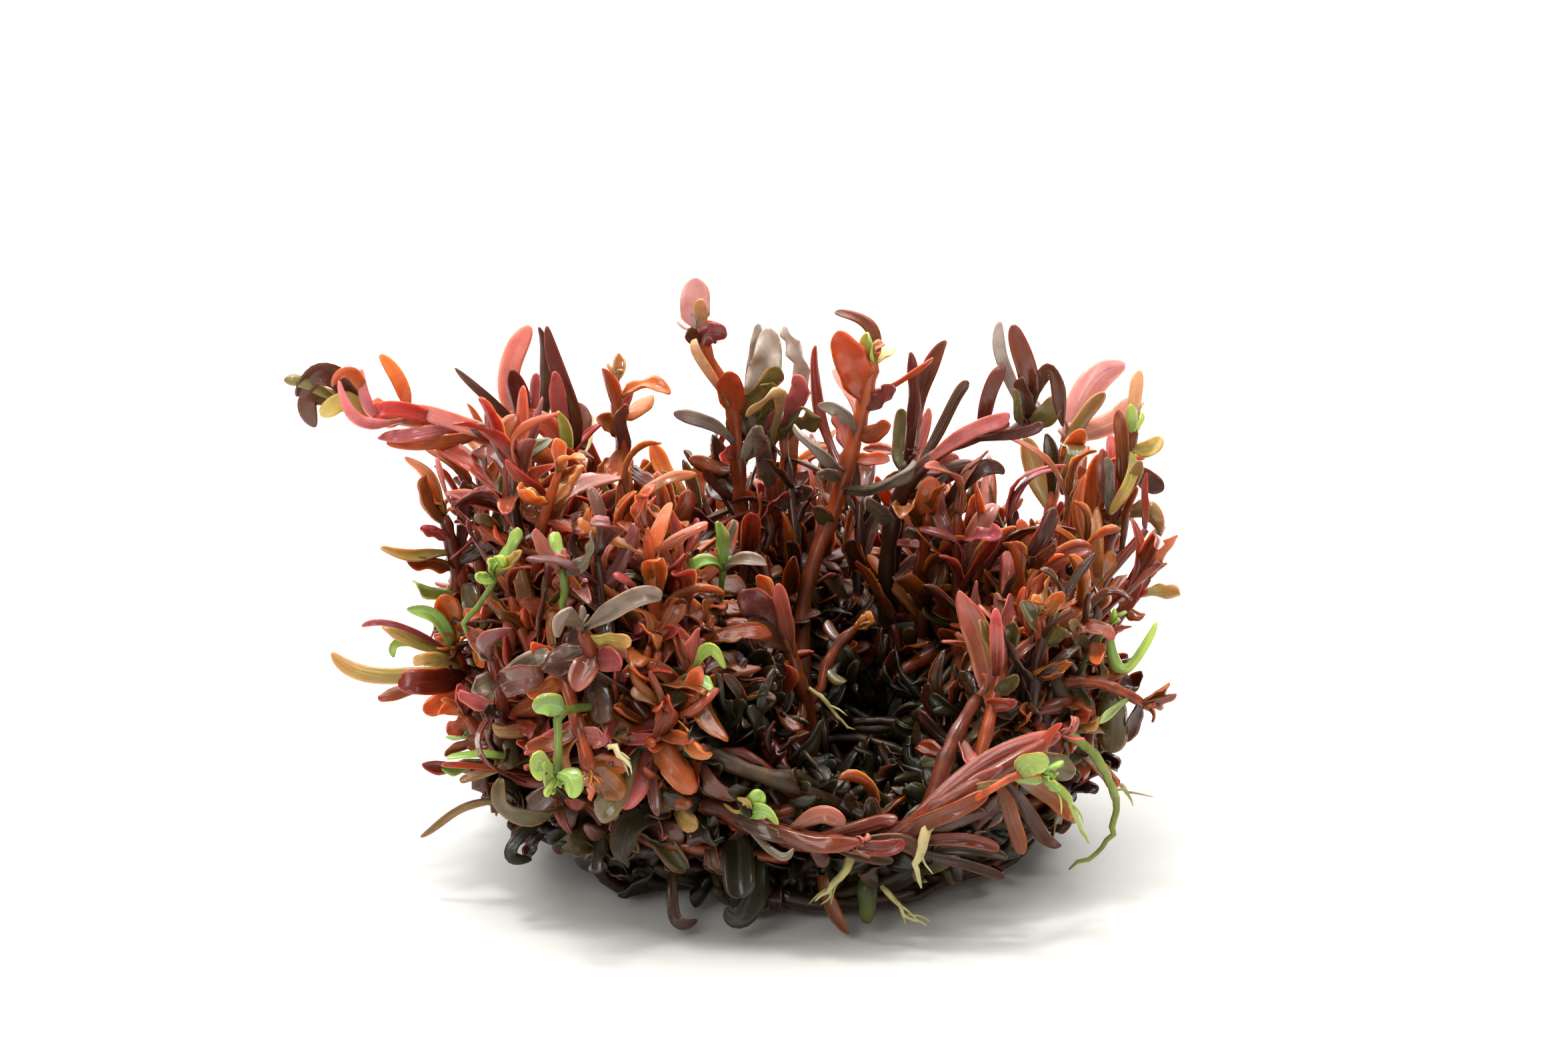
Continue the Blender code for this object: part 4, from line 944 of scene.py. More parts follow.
@dataclass
class Blade:
    """One thin leaf, in mm and radians, from its foot in a stem to its tip."""

    foot: Vector
    tip: Vector
    width: float
    facing: Vector
    tone: Tone
    roll: float = 0.0
    middle: Vector | None = None
    curl: float = 0.7
    twist: float = 0.0
    ripple: float = 0.05
    waves: float = 1.6
    phase: float = 0.0
    sway: float = 0.03
    seed: float = 0.0
    bow: float = 0.10
    thickness: float = 0.17
    petiole: float = 0.34
    full_from: float = 0.36
    full_to: float = 0.62
    fold: float = 0.0
    point: float = 0.5
    stations: int = 14
    lanes: int = 6

    # How the stations are spaced, the turns of the sway, the flattest cup, how the cup opens towards the
    # tip, and the shape of the waves at the edges
    crowding: float = 1.6
    sway_turns: float = 0.8
    flattest: float = 0.02
    cup_start: float = 1.15
    cup_fall: float = 0.45
    wave_power: float = 1.5
    wave_lag: float = 0.9

    # How much thicker the blade is at its foot and at its rib, and how far each of them reaches
    foot_swell: float = 0.9
    foot_reach: float = 0.18
    rib_swell: float = 0.9
    rib_reach: float = 0.22
    rib_fall: float = 0.7

    def frames(self) -> tuple[np.ndarray, np.ndarray, np.ndarray, np.ndarray]:
        """Lay out the leaf's middle line.

        Returns:
            The shares of its length, its points, and the side and face directions at each of them.
        """
        foot, tip = self.foot, self.tip
        axis = (tip - foot).normalized()
        out = self.facing - axis * self.facing.dot(axis)
        if out.length < SLIGHT:
            out = axis.orthogonal()
        out = Matrix.Rotation(self.roll, 3, axis) @ out.normalized()
        length = (tip - foot).length
        middle = self.middle if self.middle is not None else foot.lerp(tip, 0.5) - out * length * self.bow
        pull = middle * 2 - (foot + tip) / 2
        share = 1 - (1 - np.linspace(0, 1, self.stations + 1)) ** self.crowding
        u = share[:, None]
        a, b, c = np.array(foot), np.array(pull), np.array(tip)
        side = np.array(axis.cross(out))
        points = a * (1 - u) ** 2 + b * 2 * u * (1 - u) + c * u ** 2
        swing = np.sin(u * math.tau * self.sway_turns + self.phase) - math.sin(self.phase)
        points = points + side * swing * (self.sway * length)
        headings = unit_rows(np.gradient(points, axis=0))
        faces = carried_side(headings, np.array(out), len(points) // 2)
        sides = np.cross(headings, faces)
        return share, points, sides, faces

    def surface(self) -> tuple[np.ndarray, np.ndarray, np.ndarray]:
        """Shape the blade's middle surface.

        Returns:
            The shares along it, the shares across it and the grid of points.
        """
        u, points, sides, faces = self.frames()
        v = np.linspace(-1, 1, self.lanes + 1)
        grown = np.clip((u - 0.02) / self.full_from, 0, 1)
        grown = grown * grown * (3 - 2 * grown)
        past = np.clip((u - self.full_to) / (1 - self.full_to), 0, 1)
        rounding = np.clip(1 - past ** 2, 0.01, 1) ** self.point
        width = self.width * (self.petiole + (1 - self.petiole) * grown) * rounding
        bend = self.curl * (self.cup_start - self.cup_fall * u)
        bend = np.where(np.abs(bend) < self.flattest, self.flattest, bend)
        angle = bend[:, None] * v[None, :] / 2
        x = (width / bend)[:, None] * np.sin(angle)
        z = (width / bend)[:, None] * (1 - np.cos(angle))
        lag = np.sign(v)[None, :] * self.wave_lag
        wave = np.sin(self.waves * math.tau * u[:, None] + self.phase + lag)
        edge = np.abs(v[None, :]) ** self.wave_power
        z = z + self.ripple * width[:, None] * edge * wave + self.fold * np.abs(x)
        turn = (self.twist * (u - 0.5))[:, None]
        x, z = x * np.cos(turn) - z * np.sin(turn), x * np.sin(turn) + z * np.cos(turn)
        grid = points[:, None, :] + sides[:, None, :] * x[..., None] + faces[:, None, :] * z[..., None]
        return u, v, grid

    def build(self) -> tuple[np.ndarray, np.ndarray, Marks]:
        """Give the blade its thickness, with a thicker rib along the underside.

        Returns:
            Its points, its faces and its marks.
        """
        u, v, grid = self.surface()
        normals = unit_rows(np.cross(np.gradient(grid, axis=0), np.gradient(grid, axis=1)))
        swell = self.foot_swell * np.exp(-(u / self.foot_reach) ** 2)
        thick = self.thickness * (1 + swell)[:, None]
        ridge = np.exp(-(v / self.rib_reach) ** 2)[None, :] * (1 - self.rib_fall * u)[:, None]
        rib = self.rib_swell * self.thickness * ridge
        upper = grid.copy()
        inner = (slice(1, -1), slice(1, -1))
        upper[inner] += (normals * (thick / 2)[..., None])[inner]
        lower = (grid - normals * (thick / 2 + rib)[..., None])[inner]
        points = np.concatenate([upper.reshape(-1, 3), lower.reshape(-1, 3)])
        along = np.broadcast_to(u[:, None], grid.shape[:2])
        across = np.broadcast_to(v[None, :], grid.shape[:2])
        marks = Marks(
            np.concatenate([along.ravel(), along[inner].ravel()]),
            np.concatenate([across.ravel(), across[inner].ravel()]),
            self.seed,
            np.concatenate([np.zeros(along.size), np.ones(lower.size // 3)]),
            np.zeros(len(points)),
        )
        return points, blade_faces(self.stations, self.lanes), marks


@dataclass
class Tube:
    """A stem or root along a curve, in mm: it tapers, and swells at its nodes."""

    curve: np.ndarray
    radii: Span
    nodes: list[float] = field(default_factory=list)
    seed: float = 0.5
    sides: int = 8
    swelling: float = 0.32
    ridge: float = 0.05

    # How far a node's swelling reaches, how much the stem wavers, and how far its two ends close
    node_reach: float = 0.55
    waver: float = 0.05
    ends: Span = (0.7, 0.55)

    def build(self) -> tuple[np.ndarray, list[np.ndarray], Marks]:
        """Skin the tube and close both of its ends.

        Returns:
            Its points, its faces and its marks.
        """
        curve = self.curve
        lengths = lengths_along(curve)
        share = lengths / lengths[-1]
        headings = unit_rows(np.gradient(curve, axis=0))
        start = np.array(Vector(headings[0]).orthogonal())
        sides = carried_side(headings, start, 0)
        others = np.cross(headings, sides)
        radius = self.radii[0] + (self.radii[1] - self.radii[0]) * share
        ring = np.zeros(len(curve))
        for place in self.nodes:
            ring = np.maximum(ring, np.exp(-((lengths - place * lengths[-1]) / self.node_reach) ** 2))
        wobble = 1 + self.waver * np.sin(lengths * 1.7 + self.seed * 40)
        radius = radius * wobble * (1 + self.swelling * ring)
        radius[[0, -1]] *= self.ends
        turn = math.tau * np.arange(self.sides) / self.sides
        out = 1 + self.ridge * np.cos(turn * 2 + self.seed * 9)
        x, y = np.cos(turn) * out, np.sin(turn) * out
        points = (curve[:, None, :] + sides[:, None, :] * (radius[:, None] * x[None, :])[..., None]
                  + others[:, None, :] * (radius[:, None] * y[None, :])[..., None])
        count = len(curve)
        number = np.arange(count * self.sides).reshape(count, self.sides)
        nxt = np.roll(number, -1, axis=1)
        walls = np.stack([number[:-1], nxt[:-1], nxt[1:], number[1:]], axis=-1).reshape(-1, 4)
        caps = np.array([number[0][::-1], number[-1]])
        spread = np.broadcast_to(np.abs(turn / math.pi - 1)[None, :], number.shape).ravel()
        marks = Marks(np.repeat(share, self.sides), spread, self.seed, np.zeros(number.size),
                      np.repeat(ring, self.sides))
        return points.reshape(-1, 3), [walls, caps], marks


def set_mark(mesh: bpy.types.Mesh, name: str, values: np.ndarray) -> None:
    """Let every point of a mesh carry a number for its finish."""
    mesh.attributes.new(name, "FLOAT", "POINT").data.foreach_set("value", values.astype(np.float32))


def hand_over(thing: bpy.types.Object, slot: str, *nodes: str) -> None:
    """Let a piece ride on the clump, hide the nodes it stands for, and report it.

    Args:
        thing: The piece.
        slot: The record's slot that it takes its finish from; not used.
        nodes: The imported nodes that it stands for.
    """
    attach(thing, BODY)
    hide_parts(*nodes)
    LOG.info("%s: %d faces", thing.name, len(thing.data.polygons))


@dataclass
class Sheaf:
    """Gathers blades and tubes, and makes one mesh piece of them.

    How strongly the painted shade darkens the piece where it is buried is its `shaded`, 0 to 1.
    """

    name: str
    shaded: float = 1.0

    # How near to the nest a point counts as buried, how far under the tops and how far back the thick
    # growth covers it, and where its rim lets light in, in mm, and the most that the cover buries; buried
    # points take a painted shade
    buried_reach: float = 3.6
    thicket_cover: Span = (5.0, 14.0)
    thicket_front: Span = (-4.0, 3.0)
    thicket_rim: Span = (21.0, 26.0)
    deepest_cover: float = 0.9

    points: list[np.ndarray] = field(default_factory=list)
    faces: list[list[int]] = field(default_factory=list)
    looks: list[int] = field(default_factory=list)
    shades: list[np.ndarray] = field(default_factory=list)
    finishes: list[WetFinish] = field(default_factory=list)
    marks: dict[str, list[np.ndarray]] = field(default_factory=dict)
    count: int = 0

    def add(self, points: np.ndarray, face_sets: list[np.ndarray], marks: Marks, finish: WetFinish) -> bool:
        """Add one closed body if it stays over the floor and inside the object's box.

        Args:
            points: Its points, in mm.
            face_sets: Its faces, in arrays of equal-sided ones.
            marks: Its marks.
            finish: Its finish.

        Returns:
            True if it was added.
        """
        points = kept_inside(points)
        if points is None:
            return False
        if finish not in self.finishes:
            self.finishes.append(finish)
        look = self.finishes.index(finish)
        for faces in face_sets:
            self.faces.extend((faces + self.count).tolist())
            self.looks.extend([look] * len(faces))
        self.points.append(points)
        self.shades.append(np.full(len(points), finish.shaded))
        for name, values in vars(marks).items():
            self.marks.setdefault(name, []).append(np.broadcast_to(values, len(points)))
        self.count += len(points)
        return True

    def add_blade(self, blade: Blade) -> bool:
        """Add a leaf if there is room for it, and say whether there was."""
        points, faces, marks = blade.build()
        return self.add(points, [faces], marks, LEAF_FINISHES[blade.tone])

    def add_tube(self, tube: Tube, finish: WetFinish) -> bool:
        """Add a stem or root if there is room for it, and say whether there was."""
        return self.add(*tube.build(), finish)

    def buried(self) -> np.ndarray:
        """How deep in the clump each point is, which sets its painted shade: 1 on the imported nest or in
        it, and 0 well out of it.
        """
        tree = nest_tree()
        points = np.concatenate(self.points)
        depths = np.empty(self.count)
        for k, point in enumerate(points.tolist()):
            near, normal, _, distance = tree.find_nearest(point)
            depths[k] = -distance if (Vector(point) - near).dot(normal) < 0 else distance
        near_nest = np.clip(1 - depths / self.buried_reach, 0, 1)
        below_tops = thick_height(points[:, 0], points[:, 1]) - points[:, 2]
        cover = np.interp(below_tops, self.thicket_cover, (0, self.deepest_cover))
        cover *= np.interp(points[:, 1], self.thicket_front, (0, 1))
        cover *= np.interp(np.hypot(points[:, 0], points[:, 1]), self.thicket_rim, (1, 0))
        return np.maximum(near_nest, cover) * self.shaded * np.concatenate(self.shades)

    def piece(self, slot: str, *nodes: str) -> None:
        """Make the piece, if anything was gathered for it.

        Args:
            slot: The record's slot that the piece takes its finish from.
            nodes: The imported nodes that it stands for.
        """
        if not self.faces:
            return
        mesh = bpy.data.meshes.new(self.name)
        mesh.from_pydata(np.concatenate(self.points) * MM, [], self.faces)
        for name, values in self.marks.items():
            set_mark(mesh, name, np.concatenate(values))
        # Each point carries how buried it is, for the painted shade of its finish
        set_mark(mesh, "buried", self.buried())
        for finish in self.finishes:
            mesh.materials.append(finish.material())
        mesh.polygons.foreach_set("material_index", self.looks)
        mesh.shade_smooth()
        mesh.update()
        thing = bpy.data.objects.new(self.name, mesh)
        bpy.context.scene.collection.objects.link(thing)
        hand_over(thing, slot, *nodes)


def kept_inside(points: np.ndarray) -> np.ndarray | None:
    """Shift a small body so that it stays over the floor and inside the object's box.

    Args:
        points: Its points, in mm.

    Returns:
        The shifted points, or None where the shift would be too long.
    """
    low = np.array(CAD_BOX[0]) / MM - BOX_MARGIN
    high = np.array(CAD_BOX[1]) / MM + BOX_MARGIN
    low[2] = FLOOR_GAP
    below = np.maximum(low - points.min(axis=0), 0)
    above = np.minimum(high - points.max(axis=0), 0)
    shift = below + above
    if float(np.abs(shift).max()) > LONGEST_SHIFT or bool(((below > 0) & (above < 0)).any()):
        return None
    return points + shift


@dataclass
class Shoot:
    """One listed shoot: route points, (foot, tip) radii, stem tone and leaf rows, all in mm.

    A leaf row is (place along the stem 0..1, tip point, width, roll in degrees from facing the front,
    tone, and for a bent leaf where its middle is, across and up, or with its depth between the two
    where that isn't the tip's own).
    """

    name: str
    route: list[Place]
    radii: Span
    stem_tone: str
    leaves: list[tuple]
    facing: Vector = VIEW_FACING
    crumple: float = 1.0


SHOOTS = [
    Shoot("reaching_shoot", [(-12.8, 5, 20), (-15.2, 4, 26.2), (-17.4, 2, 31.2), (-20.8, 0, 34),
          (-24, -1, 35.4), (-27.2, -2, 36.6), (-30.2, -3, 37.6), (-33.4, -4, 38.2), (-35, -5, 39)],
          (0.8, 0.62), "A", [
        (1, (-40, -8, 42), 1.1, 0, "L", (-38.2, 41.4)),
        (0.97, (-39, -7.4, 40.6), 1.9, 10, "B", (-36.8, 42.6)),
        (0.97, (-37.8, -6.6, 37.8), 1.5, 5, "B", (-38, 40.4)),
        (0.96, (-37.2, -7.2, 39), 1.6, 0, "Y", (-35.6, 40.2)),
        (0.94, (-36.2, -8, 41.6), 1.2, 0, "R", (-34.6, 42.6)),
        (0.85, (-35.4, -8.6, 42.6), 1, 10, "P", (-33.4, 39)),
        (0.87, (-34, -6.4, 42.6), 1.1, 0, "P", (-33.4, 39.2)),
        (0.84, (-33, -5, 39.8), 2, 0, "A", (-32.2, 38.2)),
        (0.85, (-32.6, -4, 43.2), 1.2, 0, "O", (-31.2, 40.8)),
        (0.59, (-31.2, -3.6, 38.6), 1.4, 0, "P", (-26.4, 37.6)),
        (0.7, (-33, -5, 36.6), 1.3, 10, "P", (-30, 37.4)),
        (0.66, (-32.4, -4, 35.8), 1.1, 10, "O", (-28.6, 35.8)),
        (0.76, (-33.6, -5.6, 38.4), 1.4, 0, "R", (-31, 39)),
        (0.51, (-26.4, -3, 36.8), 1.3, 5, "M", (-23.8, 36.2)), (0.6, (-23.4, 2, 37), 1.2, 10, "A"),
        (0.25, (-18.8, -1, 33.4), 1.8, 0, "O")]),
    Shoot("pink_blade_shoot", [(-20.2, 6, 21), (-20.8, 6, 26.2), (-21.4, 6, 30.2), (-21.4, 6, 33.8)],
          (0.49, 0.38), "R", [
        (0.98, (-21.4, 6, 43), 2.1, 0, "P", (-23.2, 38.6)),
        (0.93, (-20.8, 8, 42.4), 1.4, 10, "B", (-20, 36.6)),
        (0.91, (-27, 1, 40.8), 0.9, 10, "B", (-23.4, 37.4)), (0.96, (-22.6, 4, 39.8), 1.7, 10, "M"),
        (0.97, (-20.6, 5, 39.2), 1, 10, "P"), (0.41, (-22.4, 2, 32.6), 2.1, 0, "L"),
        (0.39, (-20.2, 1, 32.6), 2, 35, "B")]),
    Shoot("dark_blade_shoot", [(-19, 9, 18.8), (-19, 9, 24.2), (-18.6, 8, 28), (-18, 8, 30.8)],
          (0.6, 0.44), "R", [
        (0.99, (-19.4, 7, 42.8), 1.4, 5, "M", (-18.4, 36.4)), (0.88, (-19.2, 4, 39.6), 1.5, 10, "P"),
        (0.81, (-19, 2, 36.8), 1.3, 20, "G"), (0.95, (-17.4, 11, 35), 1.9, 40, "V"),
        (0.93, (-16.8, 14, 33.2), 1.4, 40, "Y"), (0.65, (-20.6, 8, 28.2), 2, 65, "R")]),
    Shoot("amber_shoot", [(-13, 9, 19.4), (-13, 9, 24.2), (-13.4, 8, 28.6), (-13.8, 7, 32.8),
          (-14.2, 7, 36.4), (-14.2, 7, 38)], (0.66, 0.38), "O", [
        (0.96, (-14, 7, 40.4), 1.6, 65, "T"), (0.78, (-15, 5, 39.6), 1.6, 45, "O"),
        (0.78, (-12.8, 9, 37.4), 1.6, 45, "R"), (0.75, (-15.8, 5, 35.2), 1.6, 20, "O"),
        (0.69, (-14, 2, 31), 2.4, 0, "O"), (0.89, (-9.6, 5, 37.4), 1.6, 70, "O", (-11.8, 6, 37.8)),
        (0.85, (-11.2, 11, 35.6), 1.6, 45, "A"), (0.58, (-13, 3, 37.2), 1.6, 50, "V"),
        (0.59, (-10.8, 3, 30), 1.6, 40, "V"), (0.28, (-10, 6, 30.2), 1.6, 45, "R"),
        (0.25, (-17.4, 4, 26.6), 1.6, 45, "A")]),
    Shoot("copper_leaf_shoot", [(-6.8, 12, 17.2), (-7.2, 12, 21.4), (-8, 12, 25)], (0.6, 0.44), "P", [
        (0.96, (-11.6, 15, 30.4), 1.6, 25, "A"), (0.98, (-7.4, 14, 28.6), 1.6, 20, "O"),
        (0.84, (-10, 8, 27.6), 1.6, 55, "P"), (0.61, (-11.8, 7, 25.6), 1.6, 35, "P"),
        (0.77, (-8.6, 10, 30.2), 1.6, 75, "L")]),
    Shoot("tall_centre_shoot", [(-1.6, 3, 13.6), (-2.6, 6, 19.2), (-3.6, 8, 24.4), (-4, 8, 29.2),
          (-4.2, 8, 32.8), (-4.6, 8, 35.6), (-5.4, 8, 37.8), (-6.4, 8, 39.6), (-7, 8, 41.4),
          (-7.4, 8, 42.4)], (0.71, 0.44), "A", [
        (1, (-7.8, 8, 46.6), 2.5, 0, "H"), (0.99, (-6.8, 6, 45.2), 1.3, 0, "T"),
        (0.94, (-5, 5.4, 42.2), 2.2, 0, "M", (-6.4, 42.6)), (0.95, (-8, 5, 43), 1.4, 10, "B"),
        (0.74, (-7.2, 5, 42.2), 0.9, 0, "T", (-6.8, 40.2)), (0.72, (-4.6, 4, 39.6), 2.4, 0, "R"),
        (0.64, (-9.2, 5, 35.8), 1.2, 10, "S", (-6.8, 35.6)), (0.56, (-2.4, 7, 34.2), 1, 10, "S"),
        (0.63, (-5.4, 3, 32.4), 1.3, 20, "R"), (0.58, (-8.2, 8, 30.8), 1.3, 20, "R"),
        (0.49, (-6.8, 9, 30.4), 2.1, 0, "M"), (0.6, (-1.8, 6, 33.8), 1.5, 30, "V")]),
    Shoot("grey_crumpled_shoot", [(-0.2, 9, 18.2), (-0.8, 10, 22.6), (-1.2, 10, 27.4), (-1.4, 10, 31.6)],
          (0.55, 0.44), "R", [
        (0.98, (-2.4, 9, 42), 3, 0, "S", (-2.8, 36.6)), (1, (-3, 9.6, 42.2), 1.4, 10, "S", (-3.4, 37.6)),
        (0.98, (0.2, 8, 42.4), 1.5, 10, "S", (0.2, 38.4)), (0.97, (-2.2, 6, 39.4), 2, 0, "L"),
        (0.98, (-0.8, 5, 39.2), 1.7, 0, "P"), (0.95, (-3.2, 5, 37.8), 1.6, 0, "L"),
        (0.94, (-3.4, 4, 35.6), 1.2, 10, "T", (-2, 36)), (0.79, (-2.4, 12, 40.6), 1.1, 10, "V", (-4, 36.8)),
        (0.47, (-0.2, 12, 35.6), 1.5, 10, "O", (1, 30.2)), (0.95, (-0.4, 4, 37), 1.7, 0, "L"),
        (0.6, (2.2, 6, 28.6), 2, 45, "B"), (0.69, (-2.8, 4, 34.8), 1.6, 10, "S")], crumple=3.0),
    Shoot("long_stem", [(2, -3, 9.8), (1.4, 0, 14.6), (1.4, 2, 19.6), (2.4, 3, 23.8), (3.8, 4, 27.2),
          (4.8, 4, 30.6), (5.8, 4, 34.4), (6.6, 4, 37.6), (7.2, 4, 40.4)], (0.77, 0.49), "O", [
        (0.9, (4.2, 2, 43.6), 2.9, 0, "O"), (0.84, (4, 8, 38.8), 1.6, 35, "P"),
        (0.7, (2.4, 8, 40.8), 1.6, 60, "R", (3, 35)), (0.81, (2.4, 1, 37.4), 1.6, 70, "S", (4.6, 37)),
        (0.99, (4, 5, 44.4), 1.6, 60, "M", (6.6, 42.8)), (0.99, (6.6, 3, 43.2), 1.6, 60, "G"),
        (1, (9, 6, 41), 1.6, 65, "Y"), (0.75, (4, 6, 35.8), 1.6, 55, "P"),
        (0.71, (0.6, 0, 36.2), 1.6, 65, "S", (2.6, 33.8)), (0.68, (2.4, 0, 32), 1.6, 70, "S"),
        (0.89, (9, 2, 38.4), 1.6, 25, "M"), (0.81, (8.6, 2, 35.4), 1.6, 0, "R"),
        (0.74, (8.6, 5, 31.8), 1.6, 45, "A"), (0.66, (10.4, 1, 32.8), 1.6, 65, "S", (8.2, 0, 31.4)),
        (0.92, (12.2, 5, 40.4), 0.8, 70, "R", (9.4, 38.6)), (0.56, (2.8, -1, 29.4), 1.6, 35, "L")]),
    Shoot("dark_pair_shoot", [(9, 9, 19.4), (9.4, 8, 24.4), (9.8, 7, 28.2), (10.2, 7, 31)],
          (0.55, 0.44), "M", [
        (0.99, (10.2, 6, 40.8), 1.6, 50, "M"), (0.94, (13.4, 8, 41.2), 1.6, 50, "M"),
        (0.89, (9.4, 10, 34.8), 1.6, 20, "L"), (0.84, (12, 11, 34.6), 1.6, 50, "P"),
        (0.62, (7.6, 4, 30.6), 1.6, 50, "A")]),
    Shoot("arching_right_shoot", [(8.4, 5, 19.4), (8.6, 4, 25), (9.6, 3, 29.4), (11.4, 2, 32.2),
          (13.6, 2, 33.8), (16.2, 2, 34.8), (18.6, 2, 35), (20, 2, 36)], (0.77, 0.44), "M", [
        (0.98, (17.8, 1.6, 44.6), 1.1, 0, "S", (18.2, 40.4)),
        (0.99, (18.6, 1, 44.4), 1.9, 0, "M", (19, 40.2)), (0.99, (19.2, 0, 40.2), 1.6, 0, "B"),
        (0.97, (18.4, -1, 39.4), 0.8, 10, "L"), (0.99, (22.6, 0, 36), 1.4, 0, "B", (21.6, 41)),
        (1, (22.4, 0.6, 38.6), 2.1, 0, "L", (21.4, 36.8)), (1, (20.4, 2, 40), 1.2, 10, "R"),
        (0.8, (17.8, 1, 41), 1.5, 0, "M", (17.2, 38.2)), (0.52, (18, 0, 37), 1.4, 5, "P", (15.6, 36.2)),
        (0.56, (18.2, 0.4, 36), 1.2, 0, "R", (16, 35.4)),
        (0.76, (20.8, -0.4, 36.6), 1, 0, "M", (19.2, 35.4)), (0.48, (15.2, 4, 38.6), 1, 10, "B", (14, 36.2)),
        (0.53, (14.4, 5, 31.8), 1.8, 0, "P"), (0.42, (16, 3, 31.8), 1.6, 10, "M"),
        (0.3, (6.8, 0, 30), 1.6, 30, "S")]),
    Shoot("brown_bow_shoot", [(13.6, 6, 19.2), (13, 5, 23.6), (12.8, 4, 27.6)], (0.55, 0.44), "M", [
        (0.98, (18, 2, 31.4), 1.6, 20, "B", (15.8, 31.6)), (0.92, (10.8, 6, 29.2), 1.6, 50, "R"),
        (0.74, (15, 8, 27.6), 1.6, 0, "A"), (0.6, (10, 0, 27.4), 1.6, 55, "S")]),
    Shoot("far_pink_shoot", [(21.6, 12, 17.2), (22.2, 14, 22), (23.2, 16, 26.2), (24, 17, 29.8)],
          (0.55, 0.38), "A", [
        (0.99, (29.4, 19, 36), 2.5, 0, "H", (26.4, 33.8)), (0.97, (29.2, 17, 34.2), 1.9, 0, "H", (27, 32.4)),
        (0.98, (27.2, 15, 34.8), 1.3, 10, "T"), (0.89, (25.4, 13, 32), 1.7, 10, "A"),
        (0.66, (22, 12, 32), 1.6, 30, "L"), (0.55, (20.6, 18, 30), 2.1, 0, "T"),
        (0.97, (23.4, 12, 26.6), 1.8, 0, "L", (24.4, 30.2)), (0.46, (24.2, 10, 25.6), 2, 45, "R")]),
    Shoot("tall_right_shoot", [(25.4, 3, 16), (26, 3, 21.2), (27, 3, 26), (28, 3, 30), (28.4, 3, 33.2),
          (28.6, 3, 35.2)], (0.77, 0.44), "R", [
        (0.99, (29.2, 3, 40), 1.2, 0, "T", (28.6, 37.2)), (0.93, (28.2, 1, 37.6), 1, 0, "G"),
        (0.97, (29.6, 5, 35.8), 1, 10, "G"), (0.91, (30.8, 2, 34.6), 1.5, 0, "Y", (29.8, 33.6)),
        (0.72, (27, 0, 37.4), 1.2, 0, "R"), (0.6, (25.8, 1, 33.8), 1.4, 10, "P"),
        (0.9, (26.8, 0, 28.4), 1, 10, "Y", (28, 31.4)), (0.52, (24.2, 4, 31.4), 1.6, 0, "R"),
        (0.52, (25.8, 6, 28.8), 1.8, 30, "O"), (0.81, (31.4, 4, 29.4), 1.9, 10, "M"),
        (0.55, (28.8, -1, 33.4), 1.2, 10, "T"), (0.58, (25.8, 0, 33.2), 1, 10, "S"),
        (0.53, (31, 1, 26.6), 1.7, 20, "T", (29.4, 28.8))]),
    Shoot("right_side_shoot", [(24.8, -4, 16), (26.4, -3, 19.2), (28.2, -2, 21.4), (29.8, -2, 23.6)],
          (0.6, 0.38), "R", [
        (1, (32.2, -1, 27), 1.6, 55, "A"), (0.78, (32.2, -3, 23), 1.6, 55, "Y"),
        (0.84, (30, 0, 25.4), 1.6, 35, "L"), (1, (31.6, 4, 26.2), 1.6, 60, "M"),
        (0.58, (28.8, -6, 25.4), 1.6, 40, "P"), (0.48, (25, -6, 24), 1.6, 20, "V"),
        (0.67, (29.4, -3, 20.6), 1.6, 70, "O")]),
    Shoot("hooked_green_leaf_shoot", [(23.6, -10, 18), (25, -9, 20.4), (26.2, -9, 22)], (0.3, 0.24), "G", [
        (0.97, (29.8, -10, 22.4), 1.2, 55, "G", (27.2, 18.6)), (0.6, (25, -13, 20), 1.4, 20, "A"),
        (0.5, (22.4, -13, 23), 1.4, 0, "L")]),
    Shoot("right_arm_shoot", [(20.4, -11, 16), (21.4, -12, 17.4), (22.8, -12, 18), (25, -12, 18),
          (27, -12, 17.2), (28.8, -12, 16.2)], (0.49, 0.38), "T", [
        (1, (30.8, -12, 18), 1.2, 70, "O"), (1, (31.4, -12, 17), 1.2, 70, "R"),
        (0.96, (27.6, -10, 12.2), 1.6, 20, "M"), (0.89, (25, -14, 15.4), 1.1, 70, "G"),
        (0.71, (26, -12, 12), 2.4, 0, "L"), (0.42, (23.8, -10, 13.4), 2.5, 0, "L"),
        (0.27, (27.8, -10, 18.4), 1.6, 60, "R"), (0.22, (20.4, -12, 19), 1.6, 70, "G")]),
    Shoot("rim_runner", [(7.2, -23, 8.2), (10.4, -24, 11), (13.6, -24, 13), (16.6, -23, 14.6),
          (19.4, -22, 16), (21.4, -21, 16.8)], (0.66, 0.49), "P", [
        (0.1, (21.4, -21.6, 17.2), 1.7, 0, "P", (16.2, 14.2)),
        (0.05, (15.6, -25, 13.6), 1.4, 0, "R", (12.4, 12)), (0.35, (16.8, -24.4, 15.4), 1.1, 10, "P"),
        (0.5, (21.6, -22, 18), 1.2, 15, "R", (18.2, 15.4)), (0.12, (15.6, -25, 11.8), 1.3, 5, "M"),
        (0.02, (16.6, -24, 8.4), 1.2, 5, "R", (13.6, 9)), (0.04, (17.2, -23, 5.4), 0.9, 5, "B", (13.6, 6.6)),
        (0.02, (17.4, -22, 6.6), 0.9, 10, "B", (14.2, 7)), (0.62, (18.6, -23, 7.6), 1.3, 5, "R", (18.2, 11)),
        (0.66, (22, -21, 7.8), 1.4, 10, "M", (19.8, 9.4)), (0.8, (22.8, -19, 12.8), 2.4, 0, "L"),
